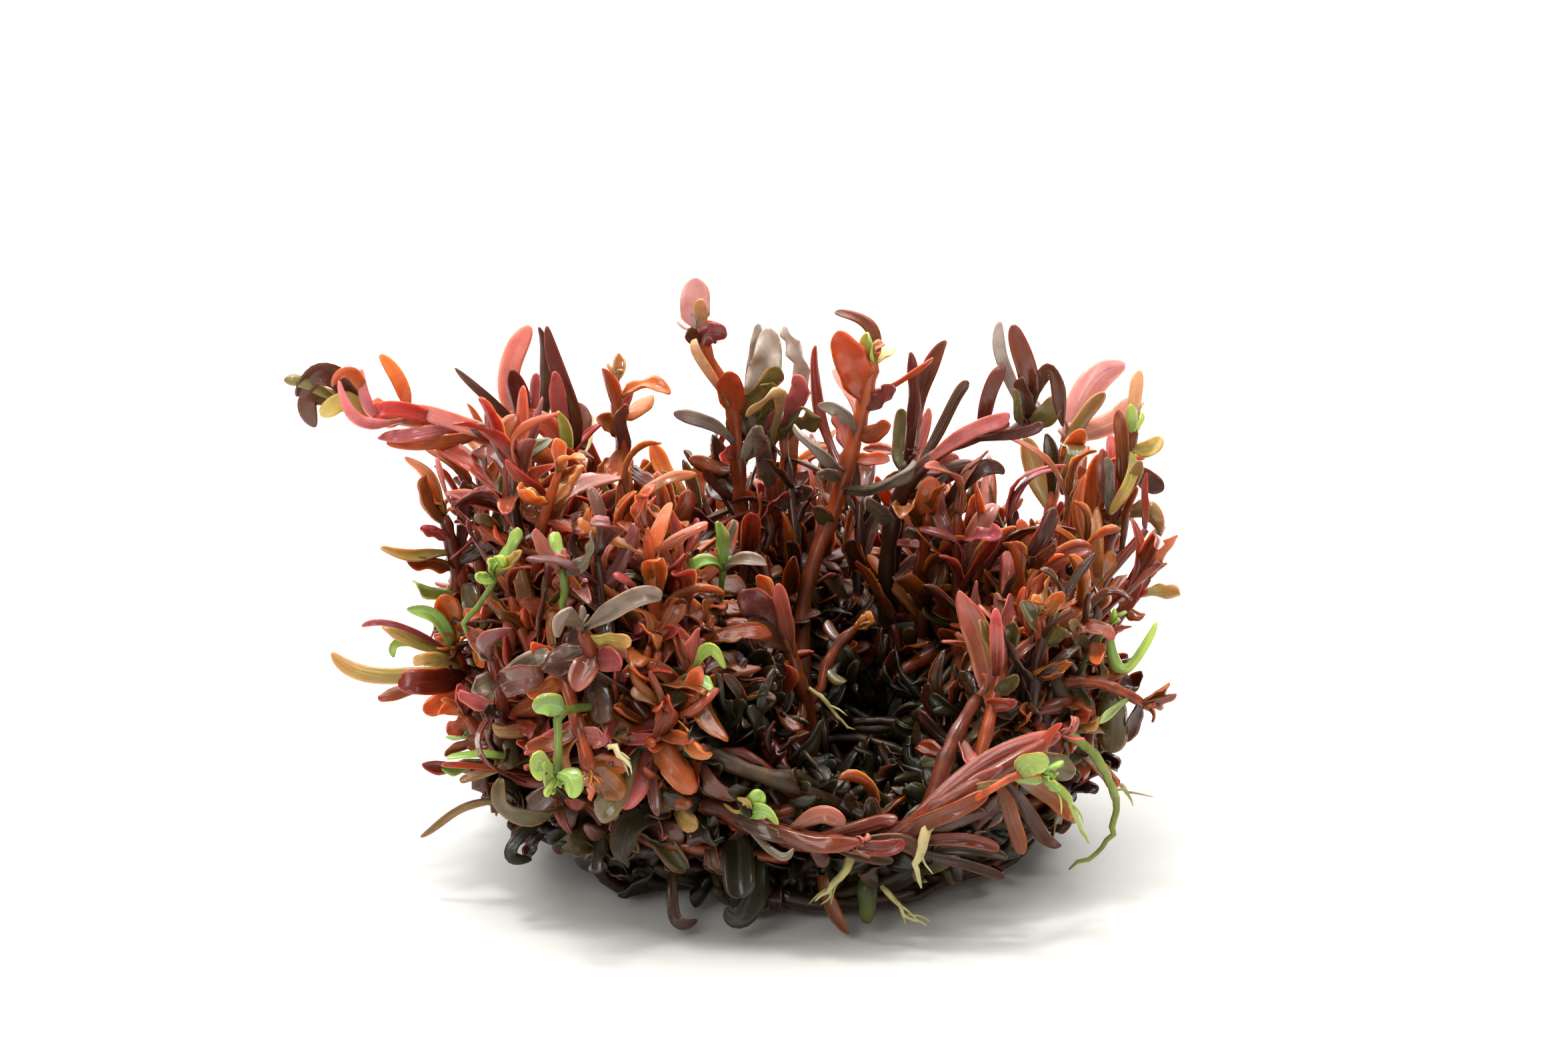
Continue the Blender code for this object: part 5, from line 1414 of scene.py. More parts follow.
        (0.7, (22.6, -19, 8.6), 1.7, 0, "O", (20.6, 11)), (0.45, (17.2, -26, 15), 0.8, 5, "T")]),
    Shoot("rim_green_sprig", [(15.4, -26, 13.8), (17.2, -26, 15), (18.6, -26, 15.4), (19.8, -26, 15.4)],
          (0.32, 0.28), "T", [
        (0.65, (20.2, -27, 16.6), 1.9, 0, "G", (18.8, 16.6)), (0.5, (20, -25, 14.6), 1.3, 10, "G"),
        (1, (21.2, -25, 13.6), 0.9, 20, "G")]),
    Shoot("red_fork_shoot", [(11.2, -21, 10.6), (12.6, -19, 14), (14, -17, 16.4), (15.2, -16, 18.2)],
          (0.88, 0.49), "P", [
        (0.64, (14.8, -21, 14), 1.6, 55, "P"), (0.99, (13.8, -14, 19.6), 1.6, 50, "M"),
        (0.42, (10.4, -16, 14), 1.6, 55, "R")]),
    Shoot("rose_leaf_shoot", [(14.2, -19, 11.2), (15.6, -18, 15), (16.4, -16, 17.6), (17, -15, 19.8),
          (17.4, -14, 21.2)], (0.66, 0.38), "A", [
        (0.62, (13.6, -14, 26.4), 2.5, 0, "P"), (0.76, (15.2, -12, 26.6), 1.6, 70, "P", (15, 22.2)),
        (0.85, (15.2, -16, 24.6), 1.6, 70, "T"), (0.69, (18.2, -17, 20.4), 1.6, 35, "L"),
        (0.99, (18, -15, 24.2), 1.6, 0, "L"), (0.97, (18, -11, 25.2), 1.6, 50, "P"),
        (0.99, (16.8, -9, 24.6), 1.6, 50, "P"), (0.92, (20.2, -12, 21.6), 1.6, 20, "O"),
        (0.45, (19, -15, 17), 1.6, 35, "M")]),
    Shoot("orange_tongue_shoot", [(20.6, -12, 19.4), (20.2, -14, 22.8), (20, -15, 24.8)],
          (0.49, 0.44), "O", [
        (0.98, (22, -16, 26.8), 1.6, 50, "A"), (0.82, (21, -12, 27.2), 1.6, 65, "O"),
        (0.7, (18.4, -17, 26.4), 1.6, 35, "L"), (0.39, (22.2, -17, 24), 1.6, 25, "L")]),
    Shoot("front_rim_stem", [(-9, -19, 11.4), (-5.4, -22, 11), (-1.6, -24, 10.2), (1.6, -25, 9.4),
          (5, -26, 9.6)], (0.77, 0.66), "R", [
        (0.66, (4.4, -25.6, 10.8), 1.5, 0, "P", (2.6, 11.6)),
        (0.72, (8.8, -26, 10.2), 1.4, 5, "R", (6.8, 9.6)), (0.75, (8.6, -24, 10.4), 1.2, 0, "R", (6.6, 10)),
        (0.85, (10.2, -25, 7.8), 1.3, 0, "M", (8, 8.6)), (0.5, (5.8, -26.4, 10), 1.3, 0, "R", (1.8, 10)),
        (0.3, (0.8, -25, 9.6), 1.3, 5, "M", (-2, 10.6)), (0.4, (0.6, -26, 9.4), 0.8, 5, "S", (-1, 8.8)),
        (0.22, (-3.6, -19, 11.8), 2, 0, "V", (-5.8, 12.2)),
        (0.42, (-1.8, -25, 13.4), 1.5, 0, "G", (-2.6, 12.6)),
        (0.45, (-0.8, -26, 11.2), 1.5, 5, "G", (-1.8, 12.4)),
        (0.4, (-3.8, -25, 13), 0.9, 5, "Y", (-2.8, 12.4)), (0.28, (-7, -21, 11.6), 1.7, 5, "B"),
        (0.09, (-8.6, -19, 12.6), 1.5, 5, "P"), (0.85, (8.4, -24, 7.4), 1.4, 5, "B"),
        (0.8, (3.2, -25, 7.4), 1.3, 10, "M")]),
    Shoot("copper_fall_shoot", [(-17.4, -20, 22.2), (-16.8, -22, 20), (-16, -24, 17.8), (-15.2, -25, 15)],
          (0.55, 0.49), "A", [
        (0.94, (-15.4, -26, 14.4), 1.6, 50, "A"), (0.13, (-20.2, -23, 21), 1.6, 20, "A"),
        (0.07, (-19.6, -22, 25), 1.6, 20, "A"), (0.88, (-12.4, -23, 14.8), 1.4, 0, "O"),
        (0.64, (-13.8, -25, 17.8), 1.6, 20, "P"), (0.58, (-20, -26, 17.2), 1.6, 45, "R"),
        (0.94, (-13, -24, 12.4), 2.2, 0, "O")]),
    Shoot("left_grey_leaf_shoot", [(-22.8, -13, 13), (-22.6, -16, 16.8), (-22.8, -18, 20.4),
          (-23.2, -19, 22.6)], (0.55, 0.44), "R", [
        (0.77, (-24.6, -20.6, 20.2), 1.7, 5, "S"), (0.8, (-18.4, -21.4, 23.8), 1.7, 5, "S", (-20.4, 22.6)),
        (0.97, (-21.4, -21, 25.6), 1.5, 10, "V", (-23.6, 24.4)), (0.98, (-25.2, -17, 24.4), 1.5, 20, "R"),
        (0.7, (-19, -22, 22.2), 2.2, 0, "V", (-20.6, 21.8)), (0.43, (-26, -16, 18.8), 1.6, 25, "P"),
        (0.3, (-19.8, -21, 17.2), 1.6, 15, "R"), (0.34, (-19.6, -20.4, 19.6), 1.8, 5, "R"),
        (0.5, (-24, -18, 17.6), 1.5, 10, "B"), (0.13, (-21.8, -17, 12.6), 1.6, 20, "L")]),
    Shoot("left_front_shoot", [(-14.8, -19, 17.8), (-15, -21, 21.4), (-15.4, -22, 24.4), (-15.8, -22, 26)],
          (0.55, 0.44), "O", [
        (0.95, (-17.6, -25, 26.2), 1.6, 20, "S", (-16.8, 27.8)),
        (0.97, (-9.6, -22, 28.2), 1.6, 0, "S", (-12.4, -23, 28.6)), (0.81, (-18.6, -23, 22.8), 2.4, 0, "V"),
        (0.74, (-16.2, -25, 21.8), 2.4, 0, "P"), (0.67, (-12.8, -25, 24.6), 2.2, 0, "P"),
        (0.84, (-12.4, -22, 23.6), 1.6, 50, "P"), (0.56, (-14.2, -24, 18.8), 2.4, 0, "M"),
        (0.91, (-12, -24, 25.4), 1.6, 50, "Y")]),
    Shoot("left_back_leaf_shoot", [(-26.8, -4, 22.4), (-27, -4, 25.2), (-27.4, -4, 27.4), (-27.8, -4, 29.6)],
          (0.55, 0.44), "R", [
        (0.98, (-31, -5, 34.8), 1.6, 60, "A"), (0.88, (-29.2, -6, 33.6), 1.6, 65, "R"),
        (0.72, (-29.4, -7, 29.6), 1.6, 75, "P"), (0.56, (-32.8, -8, 28.4), 1.4, 50, "Y"),
        (0.4, (-30.8, -6, 26.6), 1.6, 65, "R"), (0.48, (-26, -2, 32), 1.6, 50, "V"),
        (0.4, (-23.6, -7, 29), 1.6, 20, "B"), (0.08, (-30, -8, 25.2), 1.6, 65, "G")]),
    Shoot("violet_left_shoot", [(-24.4, 0, 22.8), (-24.8, 0, 26.4), (-25.2, 0, 29.2)], (0.33, 0.24), "Y", [
        (0.98, (-25, 0, 34.2), 1.4, 65, "V"), (0.95, (-27.4, 1, 31.4), 1.4, 35, "B"),
        (0.86, (-24.2, 3, 32.4), 1.4, 35, "O"), (0.86, (-27.6, -2, 29.6), 1.4, 60, "Y"),
        (0.55, (-22.8, 1, 29.4), 1.4, 35, "L")]),
    Shoot("orange_paddle_shoot", [(-26.2, -6, 16.8), (-26.6, -8, 18.6), (-27.2, -9, 20)],
          (0.44, 0.38), "A", [
        (0.97, (-27.4, -10.6, 25), 2.4, 0, "A"), (0.5, (-36.6, -11, 20.2), 1.5, 0, "Y", (-32.8, 17.8)),
        (0.6, (-32.4, -11.6, 22.6), 1.2, 10, "Y", (-30.4, 21.8)),
        (0.7, (-34, -12.2, 22.8), 0.6, 10, "P", (-31, 22.8)),
        (0.75, (-30.4, -10.6, 23.8), 1.2, 5, "G", (-28.8, 22.8)),
        (0.62, (-31.6, -11, 19.8), 0.8, 20, "G", (-30.8, 21)),
        (0.17, (-31.2, -10.4, 17.4), 2.3, 0, "R", (-29, 17)), (0.14, (-29.6, -9.2, 14.6), 1.8, 0, "A"),
        (0.2, (-33.2, -8, 15.4), 1.3, 10, "O", (-31.2, 15.8)),
        (0.3, (-29.8, -12.4, 19.6), 1.2, 10, "Y", (-28.4, 20))]),
    Shoot("lower_left_shoot", [(-22.4, -8, 7.6), (-23.8, -9, 10.4), (-25, -10, 13), (-26.2, -10, 14.6)],
          (0.6, 0.38), "T", [
        (0.99, (-28.2, -11, 15), 1.6, 50, "A"), (0.87, (-27.6, -10, 13), 1.6, 45, "O"),
        (0.99, (-26.2, -12, 18), 1.6, 60, "P"), (0.75, (-27.8, -7, 11.6), 1.6, 65, "G"),
        (0.64, (-27.8, -10, 11), 1.6, 75, "R"), (0.36, (-28.2, -11, 10.6), 1.6, 65, "G"),
        (0.29, (-29.2, -13, 11.6), 1.6, 70, "R"), (0.08, (-25.8, -12, 10.2), 1.6, 50, "G")]),
    Shoot("tan_blade_shoot", [(-18.8, -15, 6.2), (-20.4, -14, 7.2), (-22, -13, 8)], (0.6, 0.44), "L", [
        (0.99, (-29.6, -14, 5.6), 1.1, 60, "T", (-25.8, 8)), (0.89, (-24.6, -13, 9.8), 1.6, 70, "M"),
        (0.5, (-22, -14, 4.8), 1.6, 35, "B"), (0.16, (-20.8, -17, 4.8), 1.6, 60, "B"),
        (0.68, (-18.2, -19, 11.8), 2.2, 0, "V")]),
    Shoot("left_green_plantlet", [(-25.2, -17, 24), (-24.2, -18, 26.4), (-23.2, -18, 28), (-22.8, -18, 29)],
          (0.22, 0.24), "G", [
        (1, (-21, -17, 32.6), 1.4, 45, "G"), (0.98, (-20.6, -20, 31.6), 1.4, 65, "Y"),
        (0.94, (-24.2, -20, 29.6), 1.4, 50, "G"), (0.97, (-23.2, -18, 30.4), 1.4, 70, "G")]),
    Shoot("second_green_plantlet", [(-17.6, -16, 25.2), (-17.4, -17, 27.4), (-17.6, -17, 29.2)],
          (0.3, 0.27), "Y", [
        (0.97, (-19.8, -17, 32.4), 1.4, 40, "P"), (0.95, (-18.2, -15, 31.6), 1.4, 35, "G"),
        (0.92, (-15.2, -18, 32.6), 1.4, 70, "S", (-15.4, 30.2)), (0.58, (-15.8, -15, 28), 1.4, 65, "P")]),
    Shoot("bright_green_sprig", [(-17.2, -25, 20.2), (-17.6, -26, 18.8), (-17.6, -27, 17),
          (-17.8, -27, 15.6)], (0.4, 0.3), "G", [
        (0.04, (-19.4, -26, 20.6), 1.9, 0, "G", (-18.2, 21.2)),
        (0.98, (-18.8, -28, 15.6), 1.7, 0, "G", (-19.2, 17.2)),
        (0.98, (-16.6, -28, 14.2), 1.8, 0, "G", (-16.6, 15.8)), (0.9, (-18.4, -27, 14.4), 1.3, 10, "G")]),
    Shoot("centre_green_fork", [(-5.4, -9, 23.8), (-5.2, -10, 26), (-5, -10, 27)], (0.26, 0.24), "G", [
        (0.97, (-5.6, -11, 31.2), 1.4, 50, "G"), (0.97, (-1.6, -12, 28), 1.4, 50, "S", (-3.2, 28.4)),
        (0.94, (-8.4, -11, 24.2), 1.4, 60, "G", (-7, 27.4)), (0.97, (-4.4, -9, 30.8), 1.4, 65, "S")]),
    Shoot("front_green_plantlet", [(-6.8, -22, 16.8), (-7, -22, 18.6), (-7.2, -21.6, 20.4),
          (-7.2, -21, 22.2)], (0.26, 0.2), "Y", [
        (0.98, (-4.8, -23, 23), 1.4, 50, "G", (-5.8, 24.8)), (0.98, (-9, -23, 19.8), 1.4, 20, "L"),
        (0.98, (-6.2, -23, 21.2), 1.4, 70, "G"), (1, (-6.6, -22, 26), 1.4, 40, "P")]),
    Shoot("mauve_centre_shoot", [(1.6, -10, 13.6), (0.8, -11, 18.4), (0, -11, 21.2), (-1, -11, 23.8)],
          (0.71, 0.49), "A", [
        (0.79, (-3.6, -14, 26.4), 2.9, 0, "V"), (0.68, (-1.6, -14, 20.2), 2.7, 0, "V", (-2.8, 22.8)),
        (0.98, (-2.2, -11, 26.8), 1.6, 35, "A"), (0.55, (-0.6, -14, 27), 1.6, 40, "P"),
        (0.42, (-2.6, -14, 19.6), 1.6, 35, "M"), (0.42, (-3.2, -16, 18.6), 1.6, 50, "P"),
        (0.24, (0.4, -14, 15), 1.6, 50, "R")]),
    Shoot("orange_tip_shoot", [(2.2, -8, 15.2), (3.2, -7, 17.6), (4.4, -6, 19.4), (5.6, -6, 20.6)],
          (0.49, 0.38), "R", [
        (0.98, (7, -6, 21.8), 1.6, 50, "A"), (0.75, (3.4, -4, 20.6), 1.6, 55, "V"),
        (0.42, (4.8, -9, 17), 1.6, 65, "L")]),
]

ROOTS = [
    ("front_root", (0.60, 0.33),
     [(5.2, -23, 7.8), (4.8, -24, 6.6), (3.6, -24, 5.4), (2.2, -24, 4)]),
    ("rim_root", (0.49, 0.27),
     [(11.4, -24.4, 10.6), (10.8, -25, 9.4), (10.2, -25, 7.6), (10.6, -24, 5.2)]),
    ("floor_root", (0.44, 0.22),
     [(7.4, -23, 4.8), (8.6, -23.6, 3.8), (9.8, -24, 2.4), (11.2, -24, 2)]),
    ("long_green_root", (0.44, 0.27),
     [(22.2, -15, 15), (24.6, -15, 13), (26.2, -14, 9.8), (26.6, -13, 6.6), (25.6, -13, 4.2),
      (23, -14, 2.8)]),
    ("hanging_green_root", (0.44, 0.27),
     [(20.4, -23, 13.6), (22, -23, 12.2), (23, -22, 9.8), (23.8, -22, 8)]),
    ("pale_side_root", (0.27, 0.22),
     [(26.6, -11, 9.2), (27.6, -11, 8.2), (28.4, -11, 7.2)]),
    ("hollow_root", (0.38, 0.27),
     [(1.8, -11, 17.2), (3.2, -11.6, 16.2), (4.4, -12, 14.8), (5.6, -12, 14)]),
    ("left_root", (0.33, 0.27),
     [(-13.8, -26, 17.6), (-12.8, -26.4, 17.2), (-12, -26.4, 16)]),
    ("stem_stub", (0.82, 0.82),
     [(6.2, -21.8, 5), (6.4, -22, 3.4), (6.4, -22, 1.4)]),
]
GREEN_ROOTS = ("long_green_root", "hanging_green_root")

# Leaves that grow from the nest itself: foot, tip, width, tone and, for a bent leaf, its middle as above
WALL_LEAVES = [
    ((-17, -24, 16.8), (-20.4, -24, 16.2), 1.2, "P"),
    ((-17.4, -24.4, 20), (-15.6, -24.4, 14), 1.5, "O", (-17, 17.2)),
    ((-12.8, -23.6, 15.4), (-15, -23.6, 11.4), 2.2, "L", (-13.4, 12.8)),
    ((-16, -24.4, 18.6), (-13.6, -24.4, 17.6), 1.7, "P"), ((-11, -23.6, 14.6), (-12.8, -23.6, 11.6), 2, "P"),
    ((-11, -24.4, 14.4), (-10.2, -24.4, 11.2), 1.2, "V"), ((-10.4, -24, 14.2), (-8, -24, 13), 1.6, "P"),
    ((-7.6, -22.4, 12.6), (-3.6, -22.4, 13), 2.2, "V", (-5.8, 13.8)),
    ((-12.8, -23, 7.8), (-10.8, -23, 8.6), 1, "P"),
    ((-20.2, -18, 7.4), (-20.4, -18, 5.2), 1.1, "D", (-22, 6.2)),
    ((-9.4, -22, 3.8), (-7, -22, 1.6), 1.2, "M", (-8.6, 2.4)),
    ((1.2, -23, 4.8), (5, -23, 0.8), 1.6, "R", (2.6, 2.8)),
    ((-25.4, -17, 18.4), (-22.4, -17, 9.8), 1.5, "V", (-24.2, 15)),
    ((-25.2, -18, 18), (-20, -18, 14.8), 1.4, "T", (-23, 15.8)),
    ((-21.8, -16, 9.4), (-27.6, -16, 12.4), 0.7, "R"), ((-23.2, -15, 11), (-27.2, -15, 12.6), 0.9, "G"),
    ((-23, -15, 12), (-26.2, -15, 10.6), 0.8, "T"),
    ((-14.2, -23, 23.2), (-18, -23, 22.8), 2, "B", (-16.2, 23.6)),
    ((-9.2, -21, 15.8), (-6.2, -21, 14.2), 1.3, "T"), ((-6.8, -20, 20), (-5.8, -20, 13.8), 1.6, "O"),
    ((-10.2, -23, 18.4), (-12.6, -23, 19.6), 1.3, "T"),
    ((-18, -20, 8.8), (-22, -20, 13.2), 1.8, "L", (-20.6, 9.8)),
    ((-15.8, -22, 9.6), (-18, -22, 12.8), 2.4, "B"), ((-4.6, -24, 7), (-3.6, -24, 4.2), 2.6, "D"),
    ((-1.6, -23, 5.4), (-4.8, -23, 3), 2.2, "D", (-3.2, 3.2)),
    ((-11.4, -23.6, 10.6), (-13, -23.6, 7.2), 2.4, "D"), ((-8.4, -24, 10.2), (-6.8, -24, 7), 2.6, "B"),
    ((-15.8, -21, 7.4), (-14.8, -21, 5.2), 2.2, "D"), ((-6.2, -24.4, 11.6), (-3.6, -24.4, 9.2), 1.5, "R"),
    ((-6.8, -24, 11.6), (-3.2, -24, 11), 1.5, "Y"), ((26, -10, 11.2), (25.8, -10, 7.8), 1.6, "A"),
    ((24.8, -12, 12), (26.6, -12, 8.8), 1.5, "O"),
]


def middle_of(tip: Place, across: float, *rest: float) -> Vector:
    """The middle of a bent leaf, from its place across and up, or across, back and up."""
    return Vector((across, *rest) if len(rest) == 2 else (across, tip[1], *rest))


def dominant_slot(shoot: Shoot) -> str:
    """The record's slot that most leaves of a shoot take their finish from."""
    slots = [LEAF_FINISHES[Tone(row[4])].slot for row in shoot.leaves]
    return max(sorted(set(slots)), key=slots.count)


def leaf_habit(rng: random.Random) -> dict[str, float]:
    """Draw the shape of one small leaf: a strap, an oval or a paddle, more or less folded and curled."""
    full_from = rng.uniform(0.16, 0.55)
    return {
        "petiole": rng.uniform(0.28, 0.6),
        "full_from": full_from,
        "full_to": rng.uniform(max(0.45, full_from), 0.84),
        "fold": rng.choice((0.0, rng.uniform(0.2, 0.7))),
        "curl": rng.choice((1, 1, -1)) * rng.choice((rng.uniform(0.3, 1.3), rng.uniform(1.3, 3.4))),
        "ripple": rng.uniform(0.04, 0.17),
        "waves": rng.uniform(1.0, 2.6),
        "phase": rng.uniform(0, math.tau),
        "point": rng.uniform(0.36, 0.6),
    }


def sprout_pair(rng: random.Random, place: Vector, heading: Vector, cross: Vector, length: float,
                width: float, tone: Tone, spread: float, facing: Vector | None = None) -> list[Blade]:
    """Grow two leaves that face each other across a stem.

    Args:
        rng: The source of chance.
        place: Where the pair stands on the stem.
        heading: The stem's heading there.
        cross: The direction of one of the leaves, square to the stem.
        length: The leaves' length, in mm.
        width: Their width, in mm.
        tone: Their tone.
        spread: The angle between the stem and a leaf, in radians.
        facing: The direction that the leaves turn their faces to, where it isn't the stem's heading.

    Returns:
        The two leaves.
    """
    blades = []
    for way in (-1, 1):
        own = length * rng.uniform(0.7, 1.2)
        angle = spread + rng.uniform(-0.25, 0.3)
        axis = heading * math.cos(angle) + cross * way * math.sin(angle)
        axis += chance_vector(rng, 0.14, 0.14, 0.1)
        blades.append(Blade(
            foot=place,
            tip=place + axis.normalized() * own,
            width=width * rng.uniform(0.7, 1.2),
            facing=facing if facing is not None else heading + UP * 0.25,
            tone=tone,
            roll=rng.gauss(0, 0.35),
            twist=rng.gauss(0, 0.95),
            sway=rng.gauss(0, 0.06),
            seed=chance_seed(rng),
            bow=rng.uniform(-0.34, 0.2),
            **leaf_habit(rng),
        ))
    return blades


@dataclass
class ShootGrowth:
    """Builds a shoot of the table as a stem piece and a piece with its leaves, in mm.

    A roll is in degrees, and the buds' spread in radians.
    """

    shoot: Shoot
    lead_drop: float = 3.0
    lead_depth: float = 1.6
    lead_floor: float = 1.5
    stem_step: float = 0.8
    tip_share: float = 0.995
    roll_share: float = 0.75
    edge_on_roll: float = 60.0
    leaf_stations: int = 18
    bud_lengths: Span = (1.9, 1.9 * 0.7)
    bud_width: float = 0.42
    bud_spread: float = 0.5
    bud_grid: tuple[int, int] = (8, 4)

    def __post_init__(self) -> None:
        """Lay out the shoot's own curve, and the whole one with a lead that starts inside the nest."""
        self.rng = random.Random(self.shoot.name)
        route = [Vector(p) for p in self.shoot.route]
        self.own = smooth_route(route, self.stem_step)
        near, normal, _, _ = nest_tree().find_nearest(Vector(self.own[0]) - UP * self.lead_drop)
        lead = near - normal * self.lead_depth
        lead.z = max(lead.z, self.lead_floor)
        self.curve = smooth_route([lead, *route], self.stem_step)

    def stem(self) -> Sheaf:
        """Build the stem, which runs on down into the nest."""
        whole = lengths_along(self.curve)[-1]
        own = lengths_along(self.own)[-1]
        nodes = [1 - (1 - row[0]) * own / whole for row in self.shoot.leaves]
        finish = STEM_FINISHES[Tone(self.shoot.stem_tone)]
        sheaf = Sheaf(self.shoot.name + "_stem")
        sheaf.add_tube(Tube(self.curve, self.shoot.radii, nodes, self.rng.random()), finish)
        return sheaf

    def leaf(self, row: tuple) -> Blade:
        """Build one leaf of the table.

        Args:
            row: The leaf's row.

        Returns:
            The leaf.
        """
        rng = self.rng
        along, tip, width, roll, tone, *bend = row
        foot, _ = place_on(self.own, min(along, self.tip_share))
        edge_on = min(1.0, roll / self.edge_on_roll)
        return Blade(
            foot=foot,
            tip=Vector(tip),
            width=width * rng.uniform(0.92, 1.1),
            facing=self.shoot.facing,
            tone=Tone(tone),
            roll=math.radians(roll * self.roll_share) * rng.choice((-1, 1)),
            middle=middle_of(tip, *bend[0]) if bend else None,
            curl=rng.choice((1, 1, -1)) * (rng.uniform(0.7, 1.6) + edge_on * rng.uniform(0.6, 2.0)),
            twist=rng.gauss(0, 0.6),
            ripple=rng.uniform(0.04, 0.14) * self.shoot.crumple,
            petiole=rng.uniform(0.32, 0.55),
            full_from=rng.uniform(0.2, 0.45),
            full_to=rng.uniform(0.55, 0.78),
            fold=rng.choice((0.0, rng.uniform(0.1, 0.5))),
            point=rng.uniform(0.4, 0.6),
            waves=rng.uniform(1.2, 2.6) * self.shoot.crumple ** 0.6,
            phase=rng.uniform(0, math.tau),
            sway=rng.gauss(0, 0.03) * self.shoot.crumple,
            seed=chance_seed(rng),
            bow=rng.uniform(0.0, 0.14),
            stations=self.leaf_stations,
        )

    def leaves(self) -> Sheaf:
        """Build the table's leaves and the small bud at the shoot's tip."""
        sheaf = Sheaf(self.shoot.name + "_leaves")
        for row in self.shoot.leaves:
            sheaf.add_blade(self.leaf(row))
        tip, heading = place_on(self.own, self.tip_share)
        cross = heading.orthogonal().normalized()
        tone = Tone(self.shoot.leaves[0][4])
        for length in self.bud_lengths:
            for blade in sprout_pair(self.rng, tip, heading, cross, length, length * self.bud_width, tone,
                                     self.bud_spread):
                blade.stations, blade.lanes = self.bud_grid
                sheaf.add_blade(blade)
            cross = heading.cross(cross)
        return sheaf

    def build(self) -> None:
        """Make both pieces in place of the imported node."""
        self.stem().piece(STEM_FINISHES[Tone(self.shoot.stem_tone)].slot, self.shoot.name)
        self.leaves().piece(dominant_slot(self.shoot), self.shoot.name)


@dataclass
class BackShoots:
    """The ring of shoots behind the nest, which grow by one rule, in mm and degrees."""

    count: int = 8
    seed: int = 11
    first_angle: float = 22.0
    last_angle: float = 158.0
    angle_spread: float = 5.0
    radius: float = 27.5
    foot_z: float = 9.0
    foot_spread: float = 4.0
    heights: Span = (7.0, 13.0)
    leans: Span = (0.3, 1.6)
    sway: float = 3.0
    stem_radii: Span = (0.6, 0.4)
    pair_places: tuple[float, ...] = (0.15, 0.56, 0.98)
    leaf_lengths: Span = (4.0, 5.5)
    leaf_width: float = 2.3
    leaf_roll: float = 15.0
    leaf_out: float = 0.75
    leaf_up: float = 0.65
    small_pair_places: tuple[float, ...] = (0.0, 0.36, 0.77)
    small_leaf: float = 0.75
    small_leaf_back: float = 0.6
    small_leaf_up: Span = (-0.1, 0.7)
    small_leaf_roll: float = 20.0
    tones: tuple[tuple[str, str], ...] = (("R", "R"), ("O", "A"), ("M", "V"))

    def shoot(self, index: int, rng: random.Random) -> Shoot:
        """Grow one of the shoots: it rises and leans out, with leaves in crossed pairs.

        Args:
            index: The shoot's number, from 0.
            rng: The source of chance, drawn from in a fixed order.

        Returns:
            The shoot.
        """
        share = index / (self.count - 1)
        angle = self.first_angle + (self.last_angle - self.first_angle) * share
        angle = math.radians(angle + rng.uniform(-self.angle_spread, self.angle_spread))
        outward = Vector((math.cos(angle), math.sin(angle), 0.0))
        round_way = Vector((-outward.y, outward.x, 0.0))
        spread = rng.uniform(-self.foot_spread, self.foot_spread)
        foot = outward * self.radius + UP * (self.foot_z + spread)
        rise = UP * rng.uniform(*self.heights)
        lean = outward * rng.uniform(*self.leans)
        sway = round_way * rng.uniform(-self.sway, self.sway)
        route = [foot, foot + (rise + lean) * 0.5, foot + rise + lean + sway]
        placed = []
        for pair, along in enumerate(self.pair_places):
            place = foot.lerp(route[-1], along)
            across = round_way if pair % 2 == 0 else outward
            for way in (-1, 1):
                length = rng.uniform(*self.leaf_lengths)
                tip = place + across * way * length * self.leaf_out + UP * length * self.leaf_up
                placed.append((along, tuple(tip), rng.uniform(-self.leaf_roll, self.leaf_roll)))
        tones = rng.choice(self.tones)
        leaves = [(along, tip, self.leaf_width, roll, tones[k % 3 == 2])
                  for k, (along, tip, roll) in enumerate(placed)]
        name = f"back_shoot_{index + 1}"
        extra = random.Random(name)
        for along in self.small_pair_places:
            place = foot.lerp(route[-1], along)
            turn = extra.uniform(0, math.pi)
            across = round_way * math.cos(turn) + outward * math.sin(turn) * self.small_leaf_back
            for way in (-1, 1):
                length = extra.uniform(*self.leaf_lengths) * self.small_leaf
                rise = UP * length * extra.uniform(*self.small_leaf_up)
                tip = place + across * way * length * self.leaf_out + rise
                leaves.append((along, tuple(tip), self.leaf_width * self.small_leaf, self.small_leaf_roll,
                               extra.choice(tones)))
        return Shoot(name, [tuple(p) for p in route], self.stem_radii, tones[0], leaves, outward)

    def build(self) -> None:
        """Make every shoot of the ring."""
        rng = random.Random(self.seed)
        for index in range(self.count):
            ShootGrowth(self.shoot(index, rng)).build()


# The nest's underside: where its outward direction has a height below this
UNDERSIDE = -0.6


